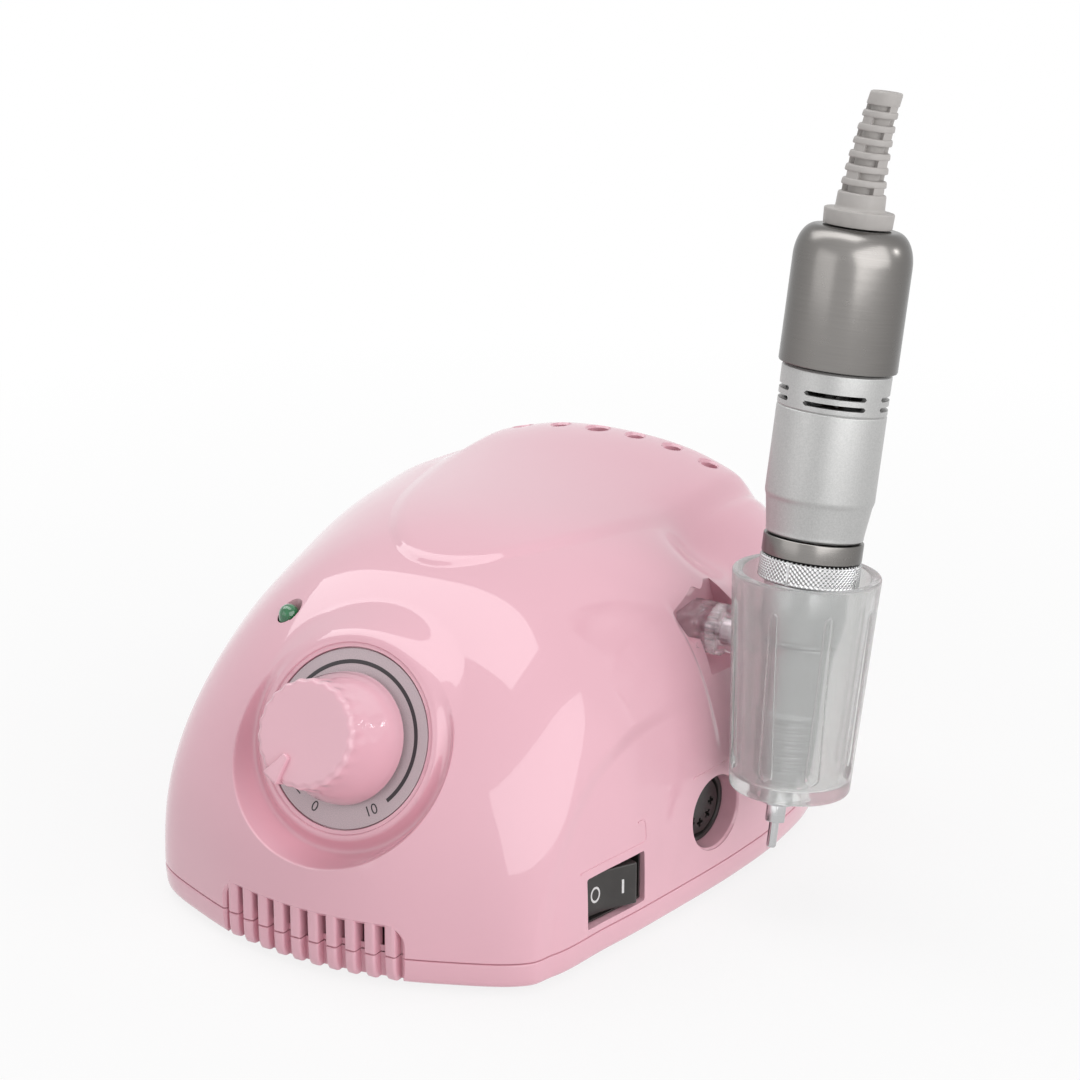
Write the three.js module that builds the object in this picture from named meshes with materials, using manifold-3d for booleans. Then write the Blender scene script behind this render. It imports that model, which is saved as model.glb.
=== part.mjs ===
// Electric nail drill: a pink control box with a speed dial, and its handpiece standing in a side cradle.
// Millimetres, +Z up, +X the side with the power switch, the motor socket and the cradle, -Y the dial side.
import * as THREE from 'three';
import { mergeVertices } from 'three/addons/utils/BufferGeometryUtils.js';
import Module from 'manifold-3d';

const wasm = await Module();
wasm.setup();

// Driving dimensions of the control box
const caseHalfWidth = 66.6;
const caseFrontY = -80.3;
const caseRearY = 84.2;
const caseCrownZ = 86.7;
const partingZ = 8;
const partingGap = 0.3;
const caseWall = 3;
const floorZ = 1.8;
const floorThickness = 2.4;
const baseTuckIn = 2.2;
const fit = 0.3;
const overrun = 5;
const sliver = 0.1;

// Roof of the box: how far it falls at the ends and sides
const roofTilt = 0.9;
const roofBend = 13.7;
const roofTwist = 24.1;
const roofSideFall = 12.2;

// Dial and knob
const dialY = -59.3;
const dialZ = 51.4;
const dialTiltDeg = 24.8;
const dialRadius = 21.1;
const dialThickness = 0.8;
const podRimRadius = 24.2;
const podRimHeight = 0.8;
const podBackDepth = 5.4;
const moatRadius = 27.2;
const moatDepth = 2.6;
const moatEdgeRadius = 30.6;
const moatEdgeHeight = 7.4;
const moatOuterRadius = 33;
const knobBaseRadius = 15.6;
const knobFaceRadius = 12.2;
const knobHeight = 19.2;
const knobFluteDepth = 0.55;
const knobFlutes = 16;
const knobRestAngleDeg = 231;

// Handpiece and its cradle
const handpieceOutset = 14.4;
const handpieceX = caseHalfWidth + handpieceOutset;
const handpieceY = 17.8;
const handpieceZ = 92.1;
const handpieceLeanDeg = 13.2;
const handpieceSideLeanDeg = 0.5;
const cupTopX = handpieceX;
const cupTopY = 14.6;
const cupTopZ = 83.9;
const cupLeanDeg = 7;
const cupLength = 53.6;
const cupTopRadius = 17.7;
const cupBottomRadius = 14.4;
const cupWall = 2.6;
const cupFloor = 2.8;
const pivotY = 17;
const pivotZ = 63.3;
const pivotInset = 11.2;
const pivotX = caseHalfWidth - pivotInset;
const pivotDiscRadius = 6.3;
const armRadius = 5.3;

const colours = {
  pink: 0xe9b4c4,
  greyPlate: 0x8f8f91,
  black: 0x1b1b1d,
  green: 0x0c7a3c,
  rubber: 0x2b2b2c,
  steel: 0xb9b9ba,
  silver: 0xc4c5c7,
  darkNickel: 0x77736f,
  frosted: 0xd7dadb,
  clear: 0xe7dadd,
  relief: 0xbdb9b5,
  board: 0x1f6b3a,
  copper: 0xb5652c,
  lamination: 0x6d6e72,
  brass: 0xc9a24a,
  aluminium: 0xb4b6b9,
  blackPlastic: 0x242427,
  capacitorBlue: 0x23304f,
};

const finish = {
  pinkPlastic: [colours.pink, 0.22, 0],
  satinPlate: [colours.greyPlate, 0.45, 0.4],
  blackPlastic: [colours.blackPlastic, 0.4, 0],
  greenLens: [colours.green, 0.12, 0],
  rubber: [colours.rubber, 0.8, 0],
  steel: [colours.steel, 0.3, 1],
  silver: [colours.silver, 0.42, 1],
  darkNickel: [colours.darkNickel, 0.36, 1],
  frosted: [colours.frosted, 0.55, 0],
  clear: [colours.clear, 0.15, 0],
  relief: [colours.relief, 0.6, 0],
  board: [colours.board, 0.5, 0],
  copper: [colours.copper, 0.4, 0.8],
  lamination: [colours.lamination, 0.5, 0.8],
  brass: [colours.brass, 0.3, 1],
  aluminium: [colours.aluminium, 0.4, 1],
  capacitor: [colours.capacitorBlue, 0.35, 0],
};

const radians = THREE.MathUtils.degToRad;
const clamp01 = (value) => Math.min(1, Math.max(0, value));
const smooth = (low, high, value) => {
  const t = clamp01((value - low) / (high - low));
  return t * t * (3 - 2 * t);
};

// Solids: three.js geometry in, manifold solid out, and back

function solid(geometry, matrix) {
  const bare = geometry.clone();
  bare.deleteAttribute('normal');
  bare.deleteAttribute('uv');
  if (matrix) bare.applyMatrix4(matrix);
  const merged = mergeVertices(bare);
  const index = merged.index.array;
  const triangles = [];
  for (let i = 0; i < index.length; i += 3) {
    const [a, b, c] = [index[i], index[i + 1], index[i + 2]];
    if (a !== b && b !== c && a !== c) triangles.push(a, b, c);
  }
  return new wasm.Manifold(new wasm.Mesh({
    numProp: 3,
    vertProperties: new Float32Array(merged.attributes.position.array),
    triVerts: new Uint32Array(triangles),
  }));
}

function geometryOf(manifold) {
  const mesh = manifold.getMesh();
  const geometry = new THREE.BufferGeometry();
  geometry.setAttribute('position', new THREE.BufferAttribute(new Float32Array(mesh.vertProperties), 3));
  geometry.setIndex(new THREE.BufferAttribute(new Uint32Array(mesh.triVerts), 1));
  const faceted = geometry.toNonIndexed();
  faceted.computeVertexNormals();
  return faceted;
}

const joined = (first, ...others) => others.reduce((sum, other) => sum.add(other), first);
const cutBy = (first, ...others) => others.reduce((rest, other) => rest.subtract(other), first);

function at(x, y, z, turnX = 0, turnY = 0, turnZ = 0) {
  const turn = new THREE.Euler(turnX, turnY, turnZ, 'XYZ');
  const place = new THREE.Matrix4().makeRotationFromEuler(turn);
  return place.setPosition(x, y, z);
}

// A round bar along +Z, standing on z = 0
function bar(radius, height, sides = 24, topRadius = radius) {
  const geometry = new THREE.CylinderGeometry(topRadius, radius, height, sides);
  geometry.rotateX(Math.PI / 2);
  geometry.translate(0, 0, height / 2);
  return geometry;
}

// A block centred on x and y, standing on z = 0
function block(width, depth, height) {
  const geometry = new THREE.BoxGeometry(width, depth, height);
  geometry.translate(0, 0, height / 2);
  return geometry;
}

// A profile of [radius, height] points turned about +Z
function turned(profile, sides = 32) {
  const points = profile.map(([radius, height]) => new THREE.Vector2(radius, height));
  const geometry = new THREE.LatheGeometry(points, sides);
  geometry.rotateX(Math.PI / 2);
  return geometry;
}

// A flat outline raised along +Z
function raised(outline, height, curveSegments = 6) {
  const shape = outline instanceof THREE.Shape ? outline : new THREE.Shape(outline.map(([x, y]) => new THREE.Vector2(x, y)));
  return new THREE.ExtrudeGeometry(shape, { depth: height, bevelEnabled: false, curveSegments });
}

function roundedRectangle(width, depth, radius) {
  const shape = new THREE.Shape();
  const [w, d] = [width / 2, depth / 2];
  shape.moveTo(-w + radius, -d);
  shape.lineTo(w - radius, -d);
  shape.absarc(w - radius, -d + radius, radius, -Math.PI / 2, 0);
  shape.absarc(w - radius, d - radius, radius, 0, Math.PI / 2);
  shape.absarc(-w + radius, d - radius, radius, Math.PI / 2, Math.PI);
  shape.absarc(-w + radius, -d + radius, radius, Math.PI, Math.PI * 1.5);
  return shape;
}

const product = new THREE.Group();

function addPart(name, shape, look, parent = product) {
  const [color, roughness, metalness] = finish[look];
  const geometry = shape.isBufferGeometry ? geometryOf(solid(shape)) : geometryOf(shape);
  const mesh = new THREE.Mesh(geometry, new THREE.MeshStandardMaterial({ color, roughness, metalness }));
  mesh.name = name;
  parent.add(mesh);
  return mesh;
}

function addGroup(matrix, parent = product) {
  const group = new THREE.Group();
  group.applyMatrix4(matrix);
  parent.add(group);
  return group;
}

// The case surface
// The plan outline at the parting line goes round the half plan from the front to the rear, as shares of
// the half width and of the half depth; the left half mirrors it.

const planCentreY = (caseFrontY + caseRearY) / 2;
const planHalfDepth = (caseRearY - caseFrontY) / 2;
const planOutlineShares = [
  [0, -1], [0.33, -0.96], [0.616, -0.841], [0.785, -0.68], [0.871, -0.461], [0.931, -0.194],
  [0.985, 0.122], [1, 0.39], [0.953, 0.669], [0.781, 0.87], [0.435, 0.977], [0, 1],
];
const hubY = 5;
const outlineSteps = 24;
const halvings = 30;

function planOutline() {
  const right = planOutlineShares.map(([x, y]) => new THREE.Vector3(x, y, 0));
  const left = right.slice(1, -1).reverse().map((point) => new THREE.Vector3(-point.x, point.y, 0));
  const curve = new THREE.CatmullRomCurve3([...right, ...left], true, 'centripetal');
  const points = [];
  const count = (right.length + left.length) * outlineSteps;
  for (let i = 0; i < count; i += 1) {
    const point = curve.getPoint(i / count);
    const x = point.x * caseHalfWidth;
    const y = planCentreY + point.y * planHalfDepth;
    points.push({ angle: Math.atan2(x, hubY - y), radius: Math.hypot(x, y - hubY) });
  }
  return points.sort((a, b) => a.angle - b.angle);
}

const outlinePoints = planOutline();

// Distance from the hub to the plan outline; the angle is 0 towards the front and grows towards +X
function outlineRadius(angle) {
  const turn = Math.PI * 2;
  const wrapped = ((angle + Math.PI) % turn + turn) % turn - Math.PI;
  const count = outlinePoints.length;
  let high = outlinePoints.findIndex((point) => point.angle > wrapped);
  if (high < 0) high = 0;
  const next = outlinePoints[high];
  const previous = outlinePoints[(high + count - 1) % count];
  const span = ((next.angle - previous.angle) % turn + turn) % turn;
  const part = ((wrapped - previous.angle) % turn + turn) % turn;
  return previous.radius + (next.radius - previous.radius) * (part / span);
}

// Where the right half of the plan outline crosses a line straight across the box
function outlineX(y) {
  let [front, rear] = [0, Math.PI];
  for (let i = 0; i < halvings; i += 1) {
    const middle = (front + rear) / 2;
    if (hubY - outlineRadius(middle) * Math.cos(middle) < y) front = middle;
    else rear = middle;
  }
  return outlineRadius(front) * Math.sin(front);
}

function roofHeight(x, y) {
  const along = y / planHalfDepth;
  const across = x / caseHalfWidth;
  return caseCrownZ + roofTilt * along - roofBend * along ** 2 + roofTwist * along ** 3
    - roofSideFall * across ** 2;
}

// Shoulder roundness round the plan: how square the walls stand and how tightly they turn into the roof
function shoulder(angle) {
  const [c1, c2] = [Math.cos(angle), Math.cos(2 * angle)];
  return { wall: 3.7 - 1.05 * c1 - 0.35 * c2, roof: 4.35 - 1.55 * c1 + 1.2 * c2 };
}

function plainSurface(angle, rise, footZ = partingZ) {
  const { wall, roof } = shoulder(angle);
  const turn = rise * Math.PI / 2;
  const reach = outlineRadius(angle) * Math.cos(turn) ** (2 / wall);
  const x = reach * Math.sin(angle);
  const y = hubY - reach * Math.cos(angle);
  const height = Math.sin(turn) ** (2 / roof);
  return new THREE.Vector3(x, y, footZ + (roofHeight(x, y) - footZ) * height);
}

// Local directions of the dial: its normal leans up by the tilt
const dialTilt = radians(dialTiltDeg);
const dialNormal = new THREE.Vector3(0, -Math.cos(dialTilt), Math.sin(dialTilt));
const dialCentre = new THREE.Vector3(0, dialY, dialZ);
const dialPlace = at(0, dialY, dialZ, Math.PI / 2 - dialTilt, 0, 0);

// Front fenders: a corner that swells low down, and an edge arching back over the side panel
const fenderSwell = 3.2;
const fenderAngle = radians(38);
const fenderSpread = radians(9);
const fenderTopZ = 62;
const archCentreY = -12;
const archReachY = 45;
const archRise = 44;
const archPower = 2.2;
const archLip = 1.3;
const archEdgeShare = 0.05;
const archFadeShare = 0.55;
const archEndY = 6;

function fender(point, angle) {
  const low = 1 - smooth(partingZ, fenderTopZ, point.z);
  const corner = Math.exp(-(((Math.abs(angle) - fenderAngle) / fenderSpread) ** 2)) * fenderSwell * low;
  const back = Math.max(0, archCentreY - point.y) / archReachY;
  const up = Math.max(0, point.z - partingZ) / archRise;
  const arch = (back ** archPower + up ** archPower) ** (1 / archPower);
  const edge = smooth(1 - archEdgeShare, 1 + archEdgeShare, arch);
  const fade = 1 - smooth(1, 1 + archFadeShare, arch);
  const end = 1 - smooth(archCentreY - archReachY / 3, archEndY, point.y);
  return corner + archLip * edge * fade * end;
}

// Raised teardrop on the roof, round at the front and running out at the rear; its outline is shares of
// its half width and its reach ahead of its widest place
const tearWideY = 56;
const tearReach = 81;
const tearHalfWidth = 37.5;
const tearEndReach = 8;
const tearHeight = 0.9;
const tearFloorZ = 70;
const tearSteps = 14;
const tearPower = 1.62;

// Soft scoop in the shoulder over the cradle pocket, on the cradle side only
const scoopInset = 16.6;
const scoopX = caseHalfWidth - scoopInset;
const scoopY = 30;
const scoopZ = 76;
const scoopRadius = 13;
const scoopDepth = 3.4;

function scoop(point) {
  const away = Math.hypot(point.x - scoopX, point.y - scoopY, point.z - scoopZ) / scoopRadius;
  return scoopDepth * Math.exp(-away * away);
}

function caseSurface(angle, rise, footZ) {
  const point = plainSurface(angle, rise, footZ);
  const out = fender(point, angle);
  point.x += out * Math.sin(angle);
  point.y -= out * Math.cos(angle);
  const dent = scoop(point);
  point.x -= dent * Math.SQRT1_2;
  point.z -= dent * Math.SQRT1_2;
  return point;
}

const shellAngles = 56;
const shellRises = 16;
const riseCrowding = 1.6;

// Rings of the case surface, each a list of points, from the parting line up to the crown
function surfaceRings(footZ, inset, angles, rises) {
  const hub = new THREE.Vector3(0, hubY, footZ);
  const rings = [];
  for (let r = 0; r < rises; r += 1) {
    const ring = [];
    for (let a = 0; a < angles; a += 1) {
      const point = caseSurface(a / angles * Math.PI * 2 - Math.PI, (r / rises) ** riseCrowding, footZ);
      const ray = point.clone().sub(hub);
      ring.push(point.addScaledVector(ray, -inset / ray.length()));
    }
    rings.push(ring);
  }
  return rings;
}

// A closed solid from rings of points, with a fan to a point at each end
function ringSolid(rings, bottom, top) {
  const count = rings[0].length;
  const positions = [...rings.flat(), bottom, top].flatMap((point) => [point.x, point.y, point.z]);
  const bottomIndex = rings.length * count;
  const triangles = [];
  for (let r = 0; r < rings.length - 1; r += 1) {
    for (let a = 0; a < count; a += 1) {
      const b = (a + 1) % count;
      const [low, lowNext, high, highNext] = [r * count + a, r * count + b, (r + 1) * count + a, (r + 1) * count + b];
      triangles.push(low, lowNext, highNext, low, highNext, high);
    }
  }
  const last = (rings.length - 1) * count;
  for (let a = 0; a < count; a += 1) {
    const b = (a + 1) % count;
    triangles.push(a, bottomIndex, b);
    triangles.push(last + a, last + b, bottomIndex + 1);
  }
  const geometry = new THREE.BufferGeometry();
  geometry.setAttribute('position', new THREE.BufferAttribute(new Float32Array(positions), 3));
  geometry.setIndex(triangles);
  return solid(geometry);
}

function domeSolid(footZ, inset, skirt, angles, rises) {
  const rings = surfaceRings(footZ, inset, angles, rises);
  if (skirt) rings.unshift(rings[0].map((point) => new THREE.Vector3(point.x, point.y, footZ - skirt)));
  const crown = caseSurface(0, 1, footZ);
  crown.z -= inset;
  return ringSolid(rings, new THREE.Vector3(0, hubY, footZ - skirt), crown);
}

// A slab with the plan outline; each level is [height, how far the outline is drawn in]
function planSolid(levels, angles) {
  const rings = levels.map(([z, drawnIn]) => {
    const ring = [];
    for (let a = 0; a < angles; a += 1) {
      const angle = a / angles * Math.PI * 2 - Math.PI;
      const point = caseSurface(angle, 0, partingZ);
      const reach = Math.hypot(point.x, point.y - hubY) - drawnIn;
      ring.push(new THREE.Vector3(reach * Math.sin(angle), hubY - reach * Math.cos(angle), z));
    }
    return ring;
  });
  const [lowest, highest] = [levels[0][0], levels[levels.length - 1][0]];
  return ringSolid(rings, new THREE.Vector3(0, hubY, lowest), new THREE.Vector3(0, hubY, highest));
}

// A point of the surface over a place in plan, found by halving the rise
function surfaceOver(x, y) {
  const angle = Math.atan2(x, hubY - y);
  let [low, high] = [0, 1];
  for (let i = 0; i < halvings; i += 1) {
    const middle = (low + high) / 2;
    const point = plainSurface(angle, middle);
    if (Math.hypot(point.x, point.y - hubY) > Math.hypot(x, y - hubY)) low = middle;
    else high = middle;
  }
  return caseSurface(angle, low);
}

// Places on the two side walls: a frame whose +Z points out of the wall and whose +Y points up
const switchY = -35.2;
const switchZ = 16.4;
const switchWallInset = 0.1;
const switchWallX = outlineX(switchY) - switchWallInset;
const switchTurnDeg = 12.8;
const socketY = 2.8;
const socketZ = 22.4;
const socketWallInset = 0.35;
const socketWallX = outlineX(socketY) - socketWallInset;
const socketTurnDeg = 8.2;

function sidePlace(side, x, y, z, turnDeg) {
  const out = new THREE.Vector3(side * Math.cos(radians(turnDeg)), -Math.sin(radians(turnDeg)), 0);
  const up = new THREE.Vector3(0, 0, 1);
  const along = new THREE.Vector3().crossVectors(up, out);
  return new THREE.Matrix4().makeBasis(along, up, out).setPosition(side * x, y, z);
}

const powerPlace = sidePlace(1, switchWallX, switchY, switchZ, switchTurnDeg);
const directionPlace = sidePlace(-1, switchWallX, switchY, switchZ, switchTurnDeg);
const socketPlace = sidePlace(1, socketWallX, socketY, socketZ, socketTurnDeg);

// Rocker switches
const switchWidth = 20.6;
const switchHeight = 13;
const switchDepth = 17;
const switchSetBack = 1.4;
const bezelWidth = 0.9;
const rockerWidth = switchWidth - 2 * (bezelWidth + fit);
const rockerHeight = switchHeight - 2 * (bezelWidth + fit);
const rockerPivotDepth = 5.2;
const rockerRestDeg = 12.5;
const rockerProud = 1;
const rockerValley = 1.05;
const rockerEndClearance = 1.2;

// Motor socket
const socketRadius = 8.8;
const socketRecess = 4.6;
const socketBodyLength = 13;
const socketCollarWall = 1.8;
const socketCollarGrip = 5;
const socketGrooveRadius = 6.9;
const socketGrooveWidth = 0.7;
const socketGrooveDepth = 2;
const contactCircleRadius = 4.3;
const contactRadius = 0.9;
const contactDepth = 3;
const contactSpreadDeg = 45;
const contactCount = 5;

// Cradle pocket in the wall: an outline in Y and Z, as shares of its own width and height
const pocketLowY = 5.4;
const pocketHighY = 29;
const pocketLowZ = 54;
const pocketHighZ = 73.6;
const pocketFloorInset = 17.4;
const pocketFloorX = caseHalfWidth - pocketFloorInset;
const pocketWall = 2;
const pocketOutlineShares = [
  [0, 0.82], [0.09, 0.42], [0.21, 0.46], [0.18, 0.02], [0.74, 0], [1, 0.48], [0.82, 1], [0.55, 0.91],
  [0.46, 0.98],
];

// Front grille
const grilleHalfWidth = 24.6;
const grilleTopZ = 15.4;
const grilleRecess = 3;
const ribCount = 10;
const ribPitch = 4.84;
const ribWidth = 2.9;
const ribHeight = 2.6;
const ribCornerShare = 0.3;

// Holes in the roof that hold spare bits
const bitHolePitch = 10.9;
const bitHoleCount = 6;
const bitHoleY = 67.3;
const bitHoleBow = 0.0016;
const bitHoleRadius = 2.2;
const wideBitHoleRadius = 2.8;
const wideBitHole = 2;
const bitHoleDepth = 20;
const bitTubeWall = 1.4;

// Power lamp
const lampX = -28.7;
const lampY = -40.5;
const lampRadius = 2.5;
const lampRecessRadius = 3.2;
const lampRecessDepth = 1.1;
const lampLength = 8.6;

// Rear panel
const rearPanelHalfWidth = 36;
const rearPanelLowZ = 12.5;
const rearPanelHighZ = 37.5;
const rearPanelY = 81.2;
const rearPanelWall = 2.8;
const rearRowZ = 25;
const inletX = -23;
const fuseX = 3;
const jackX = 24;
const inletWidth = 18.6;
const inletHeight = 11.6;
const inletDepth = 20;
const fuseRadius = 6;
const fuseLength = 26;
const jackRadius = 3.9;
const jackLength = 17;
const jackBoreRadius = 1.8;

// Case screws and their posts
const frontScrewInset = 28.6;
const frontScrewX = caseHalfWidth - frontScrewInset;
const frontScrewY = -54;
const rearScrewInset = 18.6;
const rearScrewX = caseHalfWidth - rearScrewInset;
const rearScrewY = 57;
const postRadius = 4;
const screwRadius = 1.5;
const screwHeadRadius = 3;
const screwHeadHeight = 2.2;
const screwLength = 13;
const screwSeatZ = floorZ + 1.3;
const screwPlaces = [
  [frontScrewX, frontScrewY], [-frontScrewX, frontScrewY], [rearScrewX, rearScrewY], [-rearScrewX, rearScrewY],
];

const footRadius = 7;
const frontFootX = caseHalfWidth - frontScrewInset;
const frontFootY = -44;
const rearFootInset = 22.6;
const rearFootX = caseHalfWidth - rearFootInset;
const rearFootY = 64;
const footPlaces = [
  [frontFootX, frontFootY], [-frontFootX, frontFootY], [rearFootX, rearFootY], [-rearFootX, rearFootY],
];

function ribOutline() {
  const corner = ribWidth * ribCornerShare;
  const half = ribWidth / 2;
  return [[-half, overrun], [-half, -ribHeight + corner], [-half + corner, -ribHeight],
    [half - corner, -ribHeight], [half, -ribHeight + corner], [half, overrun]];
}

function grilleFrontY(x, drawnIn) {
  const angle = Math.atan2(x, hubY - caseFrontY);
  return hubY - (outlineRadius(angle) - drawnIn) * Math.cos(angle);
}

function grilleRibs(lowZ, highZ, drawnIn) {
  const ribs = [];
  for (let i = 0; i < ribCount; i += 1) {
    const x = (i - (ribCount - 1) / 2) * ribPitch;
    const floorY = grilleFrontY(x, drawnIn);
    ribs.push(solid(raised(ribOutline(), highZ - lowZ), at(x, floorY, lowZ)));
  }
  return ribs;
}

function grilleSlots(lowZ, highZ, drawnIn, wall) {
  const slots = [];
  const slotWidth = ribPitch - ribWidth;
  for (let i = 0; i < ribCount - 1; i += 1) {
    const x = (i - (ribCount - 2) / 2) * ribPitch;
    const floorY = grilleFrontY(x, drawnIn);
    slots.push(solid(block(slotWidth, wall * 2 + overrun, highZ - lowZ), at(x, floorY, lowZ)));
  }
  return slots;
}

function grillePocket(lowZ, highZ, drawnIn, wall) {
  const outer = planSolid([[lowZ, -overrun], [highZ, -overrun]], shellAngles);
  const inner = planSolid([[lowZ - overrun, drawnIn], [highZ + overrun, drawnIn]], shellAngles);
  const window = solid(block(grilleHalfWidth * 2, planHalfDepth, highZ - lowZ + wall), at(0, caseFrontY, lowZ));
  return outer.subtract(inner).intersect(window);
}

function bitHolePlaces() {
  const places = [];
  for (let i = 0; i < bitHoleCount; i += 1) {
    const x = (i - (bitHoleCount - 1) / 2) * bitHolePitch;
    const y = bitHoleY - bitHoleBow * x * x;
    places.push({ x, y, z: surfaceOver(x, y).z, radius: i === wideBitHole ? wideBitHoleRadius : bitHoleRadius });
  }
  return places;
}

function pocketShape(grow) {
  const [spanY, spanZ] = [pocketHighY - pocketLowY, pocketHighZ - pocketLowZ];
  const [midY, midZ] = [(pocketHighY + pocketLowY) / 2, (pocketHighZ + pocketLowZ) / 2];
  return pocketOutlineShares.map(([shareY, shareZ]) => {
    const y = pocketLowY + shareY * spanY;
    const z = pocketLowZ + shareZ * spanZ;
    const [stretchY, stretchZ] = [1 + 2 * grow / spanY, 1 + 2 * grow / spanZ];
    return [midY + (y - midY) * stretchY, midZ + (z - midZ) * stretchZ];
  });
}

// Turns an outline in Y and Z, raised along +Z, so that it lies in Y and Z and runs along +X
const alongX = (x) => new THREE.Matrix4().makeBasis(
  new THREE.Vector3(0, 1, 0), new THREE.Vector3(0, 0, 1), new THREE.Vector3(1, 0, 0),
).setPosition(x, 0, 0);

function teardropPlateau(outer) {
  const outline = [[-tearHalfWidth, tearWideY + tearEndReach], [-tearHalfWidth, tearWideY]];
  for (let i = 1; i < tearSteps; i += 1) {
    const across = Math.cos(i / tearSteps * Math.PI);
    outline.push([-tearHalfWidth * across, tearWideY - tearReach * (1 - across * across) ** (1 / tearPower)]);
  }
  outline.push([tearHalfWidth, tearWideY], [tearHalfWidth, tearWideY + tearEndReach]);
  const prism = solid(raised(outline, caseCrownZ), at(0, 0, tearFloorZ));
  return outer.translate([0, 0, tearHeight]).intersect(prism);
}

function upperShell() {
  const footZ = partingZ + partingGap / 2;
  const outer = domeSolid(footZ, 0, 0, shellAngles, shellRises);
  const inner = domeSolid(footZ, caseWall, overrun, shellAngles / 2, shellRises / 2);
  let shell = outer.add(teardropPlateau(outer)).subtract(inner);

  const posts = screwPlaces.map(([x, y]) => solid(bar(postRadius, caseCrownZ, 8), at(x, y, footZ)).intersect(outer));
  const tubes = bitHolePlaces().map(({ x, y, z, radius }) => (
    solid(bar(radius + bitTubeWall, bitHoleDepth + overrun, 8), at(x, y, z - bitHoleDepth - bitTubeWall))
      .intersect(outer)));
  const tub = solid(raised(pocketShape(pocketWall), caseHalfWidth), alongX(pocketFloorX - pocketWall)).intersect(outer);
  const collarLength = socketRecess + socketCollarGrip;
  const collar = solid(bar(socketRadius + fit + socketCollarWall, collarLength, 16),
    socketPlace.clone().multiply(at(0, 0, -collarLength))).intersect(outer);
  const rearPad = solid(
    block(rearPanelHalfWidth * 2 - overrun, rearPanelWall, rearPanelHighZ - rearPanelLowZ),
    at(0, rearPanelY - rearPanelWall / 2, rearPanelLowZ),
  ).intersect(outer);
  shell = joined(shell, ...posts, ...tubes, tub, collar, rearPad, podBacking(outer), podCone());

  const pocket = solid(raised(pocketShape(0), caseHalfWidth), alongX(pocketFloorX));
  const bitHoles = bitHolePlaces().map(({ x, y, z, radius }) => (
    solid(bar(radius, bitHoleDepth + overrun, 12), at(x, y, z - bitHoleDepth))));
  const rearCut = solid(
    block(rearPanelHalfWidth * 2, overrun, rearPanelHighZ - rearPanelLowZ),
    at(0, rearPanelY + overrun / 2, rearPanelLowZ),
  );
  const screwHoles = screwPlaces.map(([x, y]) => (
    solid(bar(screwRadius + fit, screwLength + overrun, 10), at(x, y, footZ - overrun))));
  const lamp = surfaceOver(lampX, lampY);
  const lampHole = solid(bar(lampRadius + fit, lampLength * 2, 12), at(lamp.x, lamp.y, lamp.z - lampLength));
  const lampSink = solid(bar(lampRecessRadius, overrun, 12), at(lamp.x, lamp.y, lamp.z - lampRecessDepth));
  const potHole = solid(bar(potBushRadius + fit, overrun * 3, 12), dialPlace.clone().multiply(at(0, 0, -overrun * 2)));
  shell = cutBy(
    shell, podCutter(), pocket, ...bitHoles, rearCut, ...screwHoles, lampHole, lampSink, potHole,
    ...sideHoles(), ...rearHoles(),
  );

  const grilleFoot = partingZ - overrun;
  shell = shell.subtract(grillePocket(grilleFoot, grilleTopZ, grilleRecess, caseWall));
  shell = cutBy(shell, ...grilleSlots(grilleFoot, grilleTopZ - ribWidth / 2, grilleRecess, caseWall));
  const ribs = grilleRibs(footZ, grilleTopZ + fit, grilleRecess).map((rib) => cutBy(rib, inner));
  return joined(shell, ...ribs).simplify(sliver);
}

const dialSeat = -dialThickness - fit;

// Backing under the dial and its moat, kept inside the case, and the conical pod that carries the rim
function podBacking(outer) {
  const disc = solid(turned([
    [0, -podBackDepth], [moatOuterRadius, -podBackDepth], [moatOuterRadius, moatEdgeHeight + overrun],
    [0, moatEdgeHeight + overrun],
  ], 20), dialPlace);
  return disc.intersect(outer);
}

function podCone() {
  return solid(turned([
    [0, -podBackDepth], [moatRadius, -podBackDepth], [moatRadius, -moatDepth], [podRimRadius, podRimHeight],
    [0, podRimHeight],
  ], 32), dialPlace);
}

// All that is cleared in front of the dial: its seat, the air over the rim and the moat round it
function podCutter() {
  const seatRadius = dialRadius + fit;
  const top = moatEdgeHeight + overrun * 3;
  return solid(turned([
    [0, dialSeat], [seatRadius, dialSeat], [seatRadius, podRimHeight], [podRimRadius, podRimHeight],
    [moatRadius, -moatDepth], [(moatRadius + moatEdgeRadius) / 2, -moatDepth / 2], [moatEdgeRadius, moatEdgeHeight],
    [moatEdgeRadius, top], [0, top],
  ], 32), dialPlace);
}

function sideHoles() {
  const window = block(switchWidth, switchHeight, switchDepth * 2);
  const right = solid(window, powerPlace.clone().multiply(at(0, 0, -switchDepth)));
  const left = solid(window, directionPlace.clone().multiply(at(0, 0, -switchDepth)));
  const socket = solid(bar(socketRadius + fit, socketBodyLength * 2, 20),
    socketPlace.clone().multiply(at(0, 0, -socketBodyLength)));
  return [right, left, socket];
}

const rearPlace = (x) => at(x, rearPanelY, rearRowZ, -Math.PI / 2, 0, 0);

function rearHoles() {
  const inlet = solid(raised(roundedRectangle(inletWidth + 2 * fit, inletHeight + 2 * fit, inletHeight / 2), inletDepth * 2, 3),
    rearPlace(inletX).multiply(at(0, 0, -inletDepth)));
  const fuse = solid(bar(fuseRadius + fit, fuseLength * 2, 16), rearPlace(fuseX).multiply(at(0, 0, -fuseLength)));
  const jack = solid(bar(jackRadius + fit, jackLength * 2, 12), rearPlace(jackX).multiply(at(0, 0, -jackLength)));
  return [inlet, fuse, jack];
}

// Base tray
const baseInset = 2.4;
const bossRadius = 5;

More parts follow.
